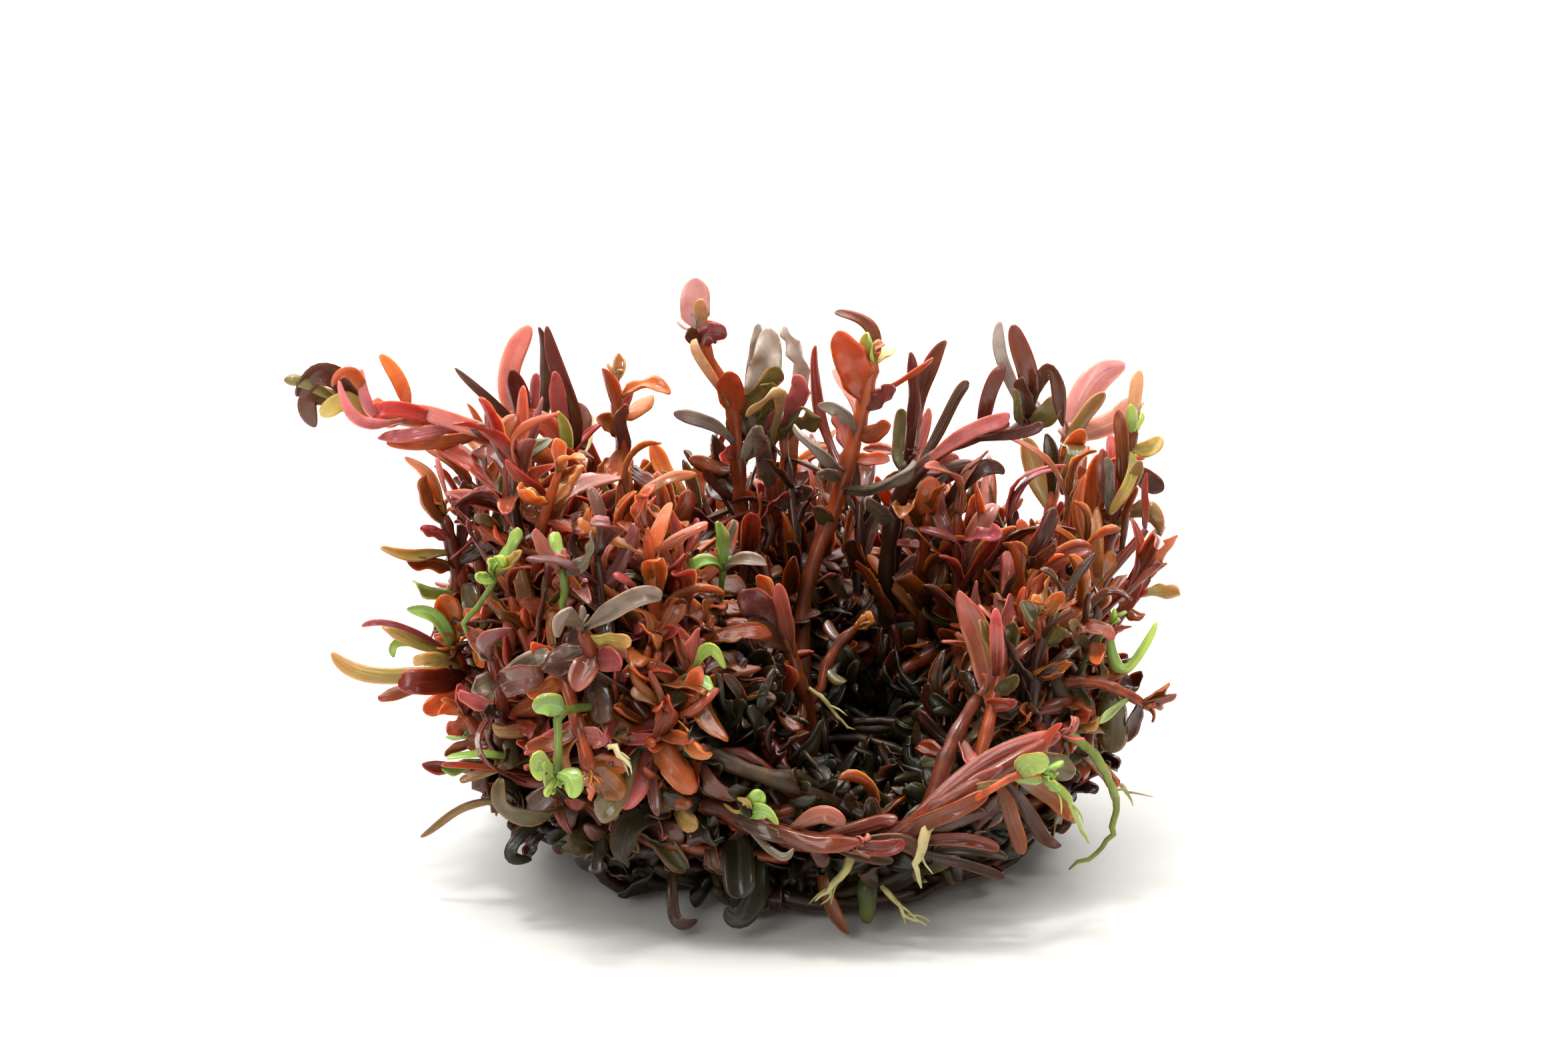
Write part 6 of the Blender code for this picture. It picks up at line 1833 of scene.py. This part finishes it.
class NestSurface:
    """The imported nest's surface, to grow the fill on."""

    def __init__(self) -> None:
        """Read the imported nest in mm."""
        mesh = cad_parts["stem_tangle"].data
        mesh.calc_loop_triangles()
        self.points = np.array([tuple(v.co) for v in mesh.vertices]) / MM
        self.triangles = np.array([tuple(t.vertices) for t in mesh.loop_triangles])
        a, b, c = (self.points[self.triangles[:, k]] for k in range(3))
        crosses = np.cross(b - a, c - a)
        self.areas = np.linalg.norm(crosses, axis=1) / 2
        self.normals = unit_rows(crosses)
        self.tree = nest_tree()

    def spots(self, count: int, rng: np.random.Generator, lift: float,
              beneath: bool = False) -> list[tuple[Vector, Vector]]:
        """Scatter places evenly over the surface, without those that face down, or only on those.

        Args:
            count: How many places are tried.
            rng: The source of chance.
            lift: How low a place may be, in mm.
            beneath: Whether only places that face down are wanted.

        Returns:
            Each place with its outward direction.
        """
        chosen = rng.choice(len(self.areas), size=count, p=self.areas / self.areas.sum())
        found = []
        for k in chosen:
            share = rng.random(2)
            if share.sum() > 1:
                share = 1 - share
            a, b, c = self.points[self.triangles[k]]
            place = a + (b - a) * share[0] + (c - a) * share[1]
            if (self.normals[k][2] > UNDERSIDE) != beneath and place[2] > lift:
                found.append((Vector(place), Vector(self.normals[k])))
        return found

    def depth(self, point: Vector) -> float:
        """How far a point is inside the nest, in mm, or below 0 outside it."""
        near, normal, _, distance = self.tree.find_nearest(point)
        return distance if (point - near).dot(normal) < 0 else -distance


# The middle of the nest's hollow and how far it reaches as seen from above, in mm
HOLLOW_CENTRE = Vector((5.5, -9.0, 0.0))
HOLLOW_RADIUS = 11.0

# The bare stretch of the front wall that takes the hollow's dark fill and its painted shade: from and to
# across it, its back end, and from and to up it, in mm
BARE_ACROSS = (-7, 3)
BARE_BACK = -13
BARE_UP = (8, 19)

# The top of the foot at the front and elsewhere, and where the front ends, then the tops of the next zones
FOOT_TOPS = (9.5, 6)
FOOT_FRONT = -8
WALL_TOP = 13
SHOULDER_TOP = 17

# The clump's sides, an eighth of a turn each, and the tones of each zone's leaves, each letter as often as
# its share; the dark tones at the foot and in the hollow are partly old leaves and partly a painted shade
SECTORS = ("right", "back_right", "back", "back_left", "left", "front_left", "front", "front_right")
ZONE_TONES = {
    Zone.FOOT: "DDDDDDDDBBBBBBLLLLVVM",
    Zone.WALL: "RRRRRRROOOOOBBBBMMMMLLAPLVTY",
    Zone.SHOULDER: "RRRRRRRROOOOOOAAMMMBBPLVTLS",
    Zone.CREST: "RRRRRRRROOOOOOAAMMMMPPLVBB",
    Zone.HOLLOW: "DDDDDDDDBBBBBMM",
}


def from_hollow(place: Vector) -> float:
    """How far a place is from the middle of the hollow as seen from above, in mm."""
    return (Vector((place.x, place.y, 0.0)) - HOLLOW_CENTRE).length


def zone_of(place: Vector) -> Zone:
    """The zone of the nest that a place is in.

    Args:
        place: The place, in mm.

    Returns:
        Its zone.
    """
    bare_stretch = BARE_ACROSS[0] < place.x < BARE_ACROSS[1] and BARE_UP[0] < place.z < BARE_UP[1]
    if from_hollow(place) < HOLLOW_RADIUS or (bare_stretch and place.y < BARE_BACK):
        return Zone.HOLLOW
    if place.z < FOOT_TOPS[place.y >= FOOT_FRONT]:
        return Zone.FOOT
    if place.z < WALL_TOP:
        return Zone.WALL
    return Zone.SHOULDER if place.z < SHOULDER_TOP else Zone.CREST


def sector_of(place: Vector) -> str:
    """The name of the side that a place is on."""
    turn = math.atan2(place.y, place.x) % math.tau / math.tau
    return SECTORS[int(turn * len(SECTORS) + 0.5) % len(SECTORS)]


@dataclass
class NestFill:
    """What the fillings of the nest share: seeded growth that is gathered in a few pieces."""

    surface: NestSurface
    seed: int = 0
    sheaves: dict[str, Sheaf] = field(default_factory=dict, init=False)

    def sheaf(self, name: str, shaded: float = 1.0) -> Sheaf:
        """The sheaf of a piece, started when it is first asked for."""
        return self.sheaves.setdefault(name, Sheaf(name, shaded))

    def slot_of(self, name: str) -> str:
        """The record's slot that a piece takes its finish from."""
        return "maroon_leaf" if "foot" in name or "hollow" in name else "red_leaf"

    def make_pieces(self) -> None:
        """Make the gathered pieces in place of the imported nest, in the order of their names."""
        for name in sorted(self.sheaves):
            self.sheaves[name].piece(self.slot_of(name), "stem_tangle")


@dataclass
class LeafyFill(NestFill):
    """What sprigs and upright shoots share: stems with crossed pairs of leaves. The sizes are in mm."""

    stem_radii: Span = (0.55, 0.34)
    leaf_lengths: Span = (4.0, 7.4)
    leaf_widths: Span = (1.2, 2.3)
    pair_gap: float = 2.3
    tip_pair: float = 0.75
    same_tone: float = 0.75
    leaf_grid: tuple[int, int] = (9, 4)

    def leaf_pairs(self, rng: random.Random, curve: np.ndarray, places: list[float], start: Vector,
                   tones: tuple[Tone, Tone], spreads: Span, broad: float = 1.0,
                   facing: Vector | None = None) -> Iterator[Blade]:
        """Grow the leaves of one stem, each pair across the one before.

        Args:
            rng: The source of chance.
            curve: The stem's curve.
            places: Where the pairs stand, as shares of its length from the tip down.
            start: The heading that the first pair is square to.
            tones: The stem's first tone and the one that some pairs have instead.
            spreads: The angle between stem and leaf at the tip pair and at the others, in radians.
            broad: How much broader than usual the leaves are.
            facing: The direction that the leaves turn their faces to, where it isn't the stem's heading.

        Returns:
            The leaves, one after the other.
        """
        cross = Matrix.Rotation(rng.uniform(0, math.pi), 3, start) @ start.orthogonal().normalized()
        length = rng.uniform(*self.leaf_lengths)
        width = rng.uniform(*self.leaf_widths) * broad
        for k, share in enumerate(places):
            spot, way = place_on(curve, min(max(share, 0.02), 0.98))
            size = self.tip_pair if k == 0 else 1.0
            tone = tones[rng.random() >= self.same_tone]
            for blade in sprout_pair(rng, spot, way, cross, length * size, width * size, tone,
                                     spreads[k > 0], facing):
                blade.stations, blade.lanes = self.leaf_grid
                yield blade
            cross = way.cross(cross).normalized()


@dataclass
class FillSprigs(LeafyFill):
    """The small leafy shoots that the nest is thick with, in mm and radians."""

    seed: int = 5
    tries: int = 820
    lowest: float = 1.6
    depths: Span = (2.5, 4.5)
    reach: float = 2.4
    crest_reach: float = 2.6
    broad_at_foot: float = 1.35
    shaded_at_foot: float = 0.6

    # The share of places left empty and how strongly a sprig turns up, by zone, and the front right part
    # of the wall, whose sprigs don't turn up
    left_empty = {Zone.HOLLOW: 0.25, Zone.FOOT: 0.35}
    rises = {Zone.FOOT: 0.0, Zone.WALL: 0.5, Zone.SHOULDER: 0.8, Zone.CREST: 1.0, Zone.HOLLOW: 0.5}
    level_front: Span = (-6, -14)

    # How far a leaf's tip may stand off the nest: above this height, and below it at the floor and for
    # each mm up to the last height
    high_tip: float = 15
    high_limit: float = 4.4
    low_limits: tuple[float, float, float] = (1.6, 0.16, 10.0)

    def heading(self, rng: random.Random, place: Vector, normal: Vector, zone: Zone) -> Vector:
        """Choose the way that a sprig grows: up and out, or along the wall at the foot and in the hollow.

        Args:
            rng: The source of chance.
            place: Where the sprig comes out of the nest.
            normal: The nest's outward direction there.
            zone: The zone it is in.

        Returns:
            The heading.
        """
        chance = chance_vector(rng, 1, 1, 1)
        level = place.x > self.level_front[0] and place.y < self.level_front[1]
        rise = 0.0 if level else self.rises[zone]
        if zone not in (Zone.FOOT, Zone.HOLLOW):
            return (normal * 0.7 + UP * rise + chance * 0.42).normalized()
        along = UP.cross(normal) if abs(normal.z) < 0.9 else Vector((chance.x, chance.y, 0.0))
        along = along.normalized() * rng.choice((-1, 1)) * rng.uniform(0.5, 1.0)
        return (along + UP * rng.uniform(-0.7, 0.5) + normal * 0.12).normalized()

    def grow(self, rng: random.Random, place: Vector, normal: Vector) -> None:
        """Grow one sprig out of the nest.

        Args:
            rng: The source of chance.
            place: Where it comes out of the nest.
            normal: The nest's outward direction there.
        """
        zone = zone_of(place)
        if rng.random() < self.left_empty.get(zone, 0.0):
            return
        heading = self.heading(rng, place, normal, zone)
        reach = rng.uniform(0.0, self.reach) + (self.crest_reach if zone is Zone.CREST else 0.0)
        depth = rng.uniform(*self.depths)
        start = place - normal * depth - UP * min(depth * 0.5, max(place.z - 2.5, 0))
        end = place + heading * reach
        curve = smooth_route([start, start.lerp(end, 0.5) + chance_vector(rng, 0.5, 0.5, 0.4), end], 1.1)
        whole = float(lengths_along(curve)[-1])
        tones = (Tone(rng.choice(ZONE_TONES[zone])), Tone(rng.choice(ZONE_TONES[zone])))
        name = "hollow_sprigs" if zone is Zone.HOLLOW else f"{sector_of(place)}_{zone.value}_sprigs"
        sheaf = self.sheaf(name, self.shaded_at_foot if zone is Zone.FOOT else 1.0)
        pairs = max(2, round(whole / self.pair_gap))
        places = [1 - k * self.pair_gap / whole for k in range(pairs) if k * self.pair_gap < whole * 0.8]
        tube = Tube(curve, self.stem_radii, places, rng.random(), sides=6)
        if not sheaf.add_tube(tube, STEM_FINISHES[tones[0]]):
            return
        lying = zone in (Zone.FOOT, Zone.HOLLOW)
        for blade in self.leaf_pairs(rng, curve, places, heading, tones,
                                     (0.35, 0.6) if lying else (0.75, 1.15),
                                     self.broad_at_foot if zone is Zone.FOOT else 1.0,
                                     normal if lying else None):
            self.fit(sheaf, blade)

    def fit(self, sheaf: Sheaf, blade: Blade) -> None:
        """Add a leaf, or a shorter one where it would reach too far out of the nest.

        Args:
            sheaf: The piece's sheaf.
            blade: The leaf.
        """
        least, step, top = self.low_limits
        limit = self.high_limit if blade.tip.z > self.high_tip else least + min(blade.tip.z, top) * step
        for _ in range(3):
            if self.surface.depth(blade.tip) > -limit:
                sheaf.add_blade(blade)
                return
            blade.tip = blade.foot.lerp(blade.tip, 0.8)

    def build(self) -> None:
        """Grow all sprigs and make their pieces."""
        rng = random.Random(self.seed)
        for place, normal in self.surface.spots(self.tries, np.random.default_rng(self.seed), self.lowest):
            self.grow(rng, place, normal)
        self.make_pieces()


@dataclass
class CrestShoots(LeafyFill):
    """The upright leafy shoots that stand thick on the nest's wall, between the listed ones."""

    seed: int = 41
    tries: int = 430
    lowest: float = 12.0
    stem_radii: Span = (0.62, 0.36)
    leaf_lengths: Span = (4.8, 9.0)
    pair_gap: float = 3.3
    tip_pair: float = 0.8
    same_tone: float = 0.7
    leaf_grid: tuple[int, int] = (11, 4)
    widest: float = 30.2
    below_top: float = 3.0
    shortest: float = 2.5
    root_depth: float = 3.0

    # Where no shoot grows, so that the hollow shows: from and to across, and how far back, in mm
    clear_across: Span = (-8, 16)
    clear_back: float = -5

    def grow(self, rng: random.Random, place: Vector, normal: Vector) -> None:
        """Grow one upright shoot.

        Args:
            rng: The source of chance.
            place: Where it comes out of the nest.
            normal: The nest's outward direction there.
        """
        sheaf = self.sheaf(f"{sector_of(place)}_upright_shoots")
        top = float(thick_height(place.x, place.y))
        height = (top - place.z) * rng.uniform(0.3, 0.95) - self.below_top
        if height < self.shortest:
            return
        outward = Vector((place.x, place.y, 0.0)).normalized()
        lean = outward * rng.uniform(-0.05, 0.32) + chance_vector(rng, 0.16, 0.16)
        foot = place - normal * 1.5 - UP * self.root_depth
        middle = place + (UP + lean * 0.4) * height * 0.5
        curve = smooth_route([foot, place, middle, place + (UP + lean) * height], 1.0)
        whole = float(lengths_along(curve)[-1])
        pairs = int((whole - self.root_depth) / self.pair_gap) + 1
        places = [1 - k * self.pair_gap * rng.uniform(0.85, 1.1) / whole for k in range(pairs)]
        tones = (Tone(rng.choice(ZONE_TONES[Zone.CREST])), Tone(rng.choice(ZONE_TONES[Zone.CREST])))
        tube = Tube(curve, self.stem_radii, places, rng.random(), sides=7)
        if not sheaf.add_tube(tube, STEM_FINISHES[tones[0]]):
            return
        _, heading = place_on(curve, 0.9)
        for blade in self.leaf_pairs(rng, curve, places, heading, tones, (0.35, 0.8)):
            if abs(blade.tip.x) < self.widest:
                sheaf.add_blade(blade)

    def build(self) -> None:
        """Grow all upright shoots and make their pieces."""
        rng = random.Random(self.seed)
        for place, normal in self.surface.spots(self.tries, np.random.default_rng(self.seed), self.lowest):
            in_front = place.y < self.clear_back and self.clear_across[0] < place.x < self.clear_across[1]
            if normal.z > 0.25 and from_hollow(place) > HOLLOW_RADIUS + 1.5 and not in_front:
                self.grow(rng, place, normal)
        self.make_pieces()


@dataclass
class WovenStems(NestFill):
    """The old stems that the nest is woven of, in mm."""

    seed: int = 23
    count: int = 380
    lengths: Span = (12.0, 28.0)
    radii: Span = (0.7, 0.54)
    sizes: Span = (0.75, 1.15)
    size_in_hollow: float = 0.6
    depths: Span = (-0.9, 2.2)
    count_beneath: int = 420
    beneath_depths: Span = (0.8, 2.4)
    stride: float = 3.0
    shortest_stride: float = 1.2
    joints: tuple[float, ...] = (0.2, 0.4, 0.6, 0.8)
    shaded: float = 0.4
    # Low down and in the hollow the stems take dull dark finishes, partly old stems and partly a painted
    # shade
    dull_below: float = 7.0
    dull: tuple[StemFinish, ...] = (WOVEN_STEM, WOVEN_STEM, WOVEN_STEM, DARK_STEM)
    warm: tuple[StemFinish, ...] = (WOVEN_STEM, DARK_STEM, RED_STEM, RED_STEM, YOUNG_STEM)

    def slot_of(self, name: str) -> str:
        """The record's slot that a piece takes its finish from."""
        return "woven_stems"

    def strand(self, rng: random.Random, place: Vector, normal: Vector) -> np.ndarray | None:
        """Lead one old stem along just under the nest's surface.

        Args:
            rng: The source of chance.
            place: Where the stem starts.
            normal: The nest's outward direction there.

        Returns:
            The stem's curve, or None where it can't keep under the surface.
        """
        depth = rng.uniform(*(self.depths if normal.z > UNDERSIDE else self.beneath_depths))
        round_way = UP.cross(normal)
        if round_way.length < 0.2:
            round_way = chance_vector(rng, 1, 1)
        climb = rng.gauss(0.25, 0.55)
        way = rng.choice((-1, 1))
        if place.y < 0 and place.x < 4:
            way, climb = 1, -abs(climb) - 0.15
        heading = (round_way.normalized() * way * rng.uniform(0.3, 1.0) + UP * climb).normalized()
        point = place - normal * depth
        route = [point]
        for _ in range(int(rng.uniform(*self.lengths) / self.stride)):
            near, face, _, _ = self.surface.tree.find_nearest(point + heading * self.stride)
            ahead = near - face * depth
            ahead.z = max(ahead.z, 1.0)
            if (ahead - point).length < self.shortest_stride:
                break
            heading = (ahead - point).normalized()
            heading += chance_vector(rng, 0.2, 0.2, 0.22)
            heading.normalize()
            point = ahead
            route.append(point)
        return smooth_route(route, 1.2) if len(route) > 2 else None

    def build(self) -> None:
        """Weave the stems and make their pieces."""
        chance = np.random.default_rng(self.seed)
        rng = random.Random(self.seed)
        places = self.surface.spots(self.count, chance, 0.8)
        places += self.surface.spots(self.count_beneath, chance, -1.0, beneath=True)
        for place, normal in places:
            curve = self.strand(rng, place, normal)
            if curve is None:
                continue
            in_hollow = zone_of(place) is Zone.HOLLOW
            size = rng.uniform(*self.sizes) * (self.size_in_hollow if in_hollow else 1.0)
            radii = (self.radii[0] * size, self.radii[1] * size)
            finish = rng.choice(self.dull if place.z < self.dull_below or in_hollow else self.warm)
            sheaf = self.sheaf(f"{sector_of(place)}_woven_stems", self.shaded)
            sheaf.add_tube(Tube(curve, radii, self.joints, rng.random(), sides=7), finish)
        self.make_pieces()


@dataclass
class MattedHeart:
    """The matted body that the woven stems close round: the nest's own shape drawn in, in mm."""

    name: str = "matted_heart"
    levels: int = 3
    drawn_in: float = 2.6
    lump: float = 0.22

    # What every point of it carries for its finish, with a fixed share of the painted shade of buried growth
    marks = {"along": 0.2, "across": 0.0, "leaf_seed": 0.3, "under": 0.0, "node_ring": 0.0, "buried": 0.3}

    def refined(self) -> bpy.types.Object:
        """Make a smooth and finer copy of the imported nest."""
        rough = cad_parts["stem_tangle"].data.copy()
        thing = bpy.data.objects.new(self.name, rough)
        bpy.context.scene.collection.objects.link(thing)
        refine = thing.modifiers.new("finer", "SUBSURF")
        refine.levels = self.levels
        graph = bpy.context.evaluated_depsgraph_get()
        fine = bpy.data.meshes.new_from_object(thing.evaluated_get(graph))
        thing.modifiers.clear()
        thing.data = fine
        bpy.data.meshes.remove(rough)
        fine.name = self.name
        return thing

    def drawn(self, mesh: bpy.types.Mesh) -> np.ndarray:
        """Draw the surface in, with the ends of packed stems as lumps.

        Args:
            mesh: The refined nest.

        Returns:
            The new place of each point, in mm.
        """
        reads = []
        for what in ("co", "normal"):
            values = np.empty(len(mesh.vertices) * 3, np.float32)
            mesh.vertices.foreach_get(what, values)
            reads.append(values.reshape(-1, 3))
        points = reads[0] / MM
        angle = np.arctan2(points[:, 1], points[:, 0])
        lumps = (np.sin(angle * 46 + points[:, 2] * 1.1) + np.sin(angle * 31 - points[:, 2] * 1.9 + 1)
                 + 0.7 * np.sin(points[:, 0] * 2.3 + points[:, 2] * 1.3))
        drawn = points - reads[1] * (self.drawn_in - self.lump * lumps)[:, None]
        drawn[:, 2] = np.maximum(drawn[:, 2], FLOOR_GAP)
        return drawn

    def build(self) -> None:
        """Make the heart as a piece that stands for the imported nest."""
        thing = self.refined()
        mesh = thing.data
        mesh.vertices.foreach_set("co", (self.drawn(mesh) * MM).astype(np.float32).ravel())
        for name, value in self.marks.items():
            set_mark(mesh, name, np.full(len(mesh.vertices), value))
        mesh.materials.clear()
        mesh.materials.append(MATTED_HEART.material())
        mesh.shade_smooth()
        mesh.update()
        hand_over(thing, "woven_stems", "stem_tangle")


@dataclass
class WallLeaves:
    """The leaves that stand out on the nest's own outside in the photo, placed one by one."""

    surface: NestSurface
    lift: float = 1.1
    middle_lifts: Span = (0.5, 0.9)
    sunk: float = 0.9
    far: float = 4.0

    def laid(self, point: Place | Vector, lift: float) -> Vector:
        """Lay a point on the nest, unless it stands far off it.

        Args:
            point: The point, in mm.
            lift: How far off the nest it is laid.

        Returns:
            The laid point.
        """
        near, normal, _, distance = self.surface.tree.find_nearest(Vector(point))
        if distance > self.far and lift > 0:
            return Vector(point)
        return near + normal * lift

    def build(self) -> None:
        """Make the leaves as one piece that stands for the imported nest."""
        sheaf = Sheaf("wall_leaves", 0.3)
        rng = random.Random("wall_leaves")
        for foot, tip, width, tone, *bend in WALL_LEAVES:
            start = self.laid(foot, -self.sunk)
            end = self.laid(tip, self.lift)
            _, normal, _, _ = self.surface.tree.find_nearest(end)
            middle = start.lerp(end, 0.5) + normal * self.middle_lifts[1]
            if bend:
                middle = self.laid(middle_of(tip, *bend[0]), self.lift + self.middle_lifts[0])
            sheaf.add_blade(Blade(
                foot=start, tip=end, width=width, facing=normal, tone=Tone(tone), middle=middle,
                twist=rng.gauss(0, 0.4), sway=rng.gauss(0, 0.04), seed=chance_seed(rng),
                stations=16, **(leaf_habit(rng) | {"curl": rng.uniform(0.3, 1.2)})))
        sheaf.piece("pink_leaf", "stem_tangle")


@dataclass
class Roots:
    """The fine roots that hang from the rim, and the cut stub of a stem, in mm."""

    step: float = 0.7
    waver: float = 0.1
    root_taper: Span = (0.85, 0.42)
    stub_taper: Span = (0.8, 0.8)
    stub_node: float = 0.3
    hairs: int = 3
    hair_radii: Span = (0.12, 0.06)
    hair_lengths: Span = (1.0, 2.4)
    hair_drop: float = 0.3

    def build(self) -> None:
        """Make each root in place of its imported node."""
        for name, radii, route in ROOTS:
            rng = random.Random(name)
            curve = smooth_route([Vector(p) for p in route], self.step)
            bends = np.array([[rng.gauss(0, self.waver) for _ in range(3)] for _ in curve])
            sheaf = Sheaf(name + "_strand")
            if name == "stem_stub":
                finish = STUB_STEM
                ends = tuple(radius * share for radius, share in zip(radii, self.stub_taper))
                sheaf.add_tube(Tube(curve, ends, [self.stub_node], rng.random()), finish)
            else:
                finish = GREEN_ROOT if name in GREEN_ROOTS else PALE_ROOT
                ends = tuple(radius * share for radius, share in zip(radii, self.root_taper))
                sheaf.add_tube(Tube(curve + bends, ends, [], rng.random(), swelling=0.1, ridge=0.3), finish)
                self.side_hairs(rng, sheaf, curve, finish)
            sheaf.piece(finish.slot, name)

    def side_hairs(self, rng: random.Random, sheaf: Sheaf, curve: np.ndarray, finish: StemFinish) -> None:
        """Grow a few hair-thin side roots.

        Args:
            rng: The source of chance.
            sheaf: The root's sheaf.
            curve: The root's curve.
            finish: The root's finish.
        """
        for _ in range(self.hairs):
            place, heading = place_on(curve, rng.uniform(0.1, 0.7))
            aim = heading + chance_vector(rng, 0.7, 0.3, 0.4)
            along = aim.normalized() * rng.uniform(*self.hair_lengths)
            middle = place + along * 0.5 + Vector((rng.gauss(0, 0.2), 0, rng.gauss(0, 0.2)))
            hair = smooth_route([place, middle, place + along - UP * self.hair_drop], 0.4)
            sheaf.add_tube(Tube(hair, self.hair_radii, [], rng.random(), sides=5), finish)


@dataclass
class Studio:
    """The pale sweep, the soft lights and the camera, in mm, watts and degrees."""

    floor_tone: Tint = (214, 213, 210)
    floor_dimming: float = 0.985
    floor_roughness: float = 0.9
    floor_reach: float = 3000.0
    world_tone: Tint = (255, 247, 236)
    world_strength: float = 0.44
    target: Place = (-0.2, 0.0, 27.8)
    camera_place: Place = (-0.2, -334.7, 130.1)
    lens: float = 97.5
    sensor: float = 36.0
    seen: Span = (10.0, 20000.0)

    # Each lamp's name, place, side and power
    lamps: tuple[tuple[str, Place, float, float], ...] = (
        ("overhead_softbox", (-60.0, 300.0, 620.0), 1150.0, 15.5),
        ("front_fill", (-260.0, -520.0, 380.0), 300.0, 1.4),
        ("glint_lamp", (-120.0, -40.0, 520.0), 70.0, 1.1),
        ("side_glint_lamp", (240.0, -160.0, 440.0), 100.0, 0.5),
    )

    def floor(self) -> None:
        """Lay the floor."""
        reach = self.floor_reach * MM
        corners = [(-reach, -reach, 0), (reach, -reach, 0), (reach, reach, 0), (-reach, reach, 0)]
        mesh = bpy.data.meshes.new("sweep")
        mesh.from_pydata(corners, [], [(0, 1, 2, 3)])
        thing = bpy.data.objects.new("sweep", mesh)
        bpy.context.scene.collection.objects.link(thing)
        material, desk, shader = principled("white_sweep")
        tone = linear(*self.floor_tone)
        dim = (*(channel * self.floor_dimming for channel in tone[:3]), 1.0)
        desk.feed(shader.inputs["Base Color"], desk.blend(desk.noise(6.0, 2.0), tone, dim))
        desk.feed(shader.inputs["Roughness"], self.floor_roughness)
        mesh.materials.append(material)
        thing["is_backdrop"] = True

    def aimed(self, data: bpy.types.ID, place: Place) -> bpy.types.Object:
        """Hang a lamp or a camera so that it looks at the clump.

        Args:
            data: The lamp's or camera's data.
            place: Where it hangs, in mm.

        Returns:
            The new object.
        """
        thing = bpy.data.objects.new(data.name, data)
        bpy.context.scene.collection.objects.link(thing)
        thing.location = Vector(place) * MM
        aim = Vector(self.target) * MM - thing.location
        thing.rotation_mode = "QUATERNION"
        thing.rotation_quaternion = aim.to_track_quat("-Z", "Y")
        return thing

    def light(self) -> None:
        """Hang the soft square lamps and light the air."""
        for name, place, side, power in self.lamps:
            data = bpy.data.lights.new(name, "AREA")
            data.shape = "SQUARE"
            data.size = side * MM
            data.energy = power
            self.aimed(data, place)
        world = bpy.data.worlds.new("studio_air")
        world.use_nodes = True
        air = world.node_tree.nodes["Background"]
        air.inputs["Color"].default_value = linear(*self.world_tone)
        air.inputs["Strength"].default_value = self.world_strength
        bpy.context.scene.world = world

    def camera(self) -> None:
        """Set up the camera at the photo's viewing angle."""
        data = bpy.data.cameras.new("studio_camera")
        data.sensor_width = self.sensor
        data.lens = self.lens
        data.clip_start, data.clip_end = (length * MM for length in self.seen)
        bpy.context.scene.camera = self.aimed(data, self.camera_place)

    def build(self) -> None:
        """Set up floor, light and camera."""
        self.floor()
        self.light()
        self.camera()
        bpy.context.scene.view_settings.view_transform = "Standard"


def write_sizes() -> None:
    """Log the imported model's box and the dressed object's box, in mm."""
    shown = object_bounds()
    for name, (low, high) in (("packed", CAD_BOX), ("dressed", shown)):
        LOG.info("%s box in mm: %s to %s", name, [round(c / MM, 2) for c in low],
                 [round(c / MM, 2) for c in high])


def main() -> None:
    """Build the clump from the inside out, then the studio."""
    logging.basicConfig(level=logging.INFO, format="%(name)s: %(message)s")
    surface = NestSurface()
    WovenStems(surface).build()
    MattedHeart().build()
    WallLeaves(surface).build()
    FillSprigs(surface).build()
    CrestShoots(surface).build()
    for shoot in SHOOTS:
        ShootGrowth(shoot).build()
    BackShoots().build()
    Roots().build()
    Studio().build()
    write_sizes()


if __name__ == "__main__":
    main()
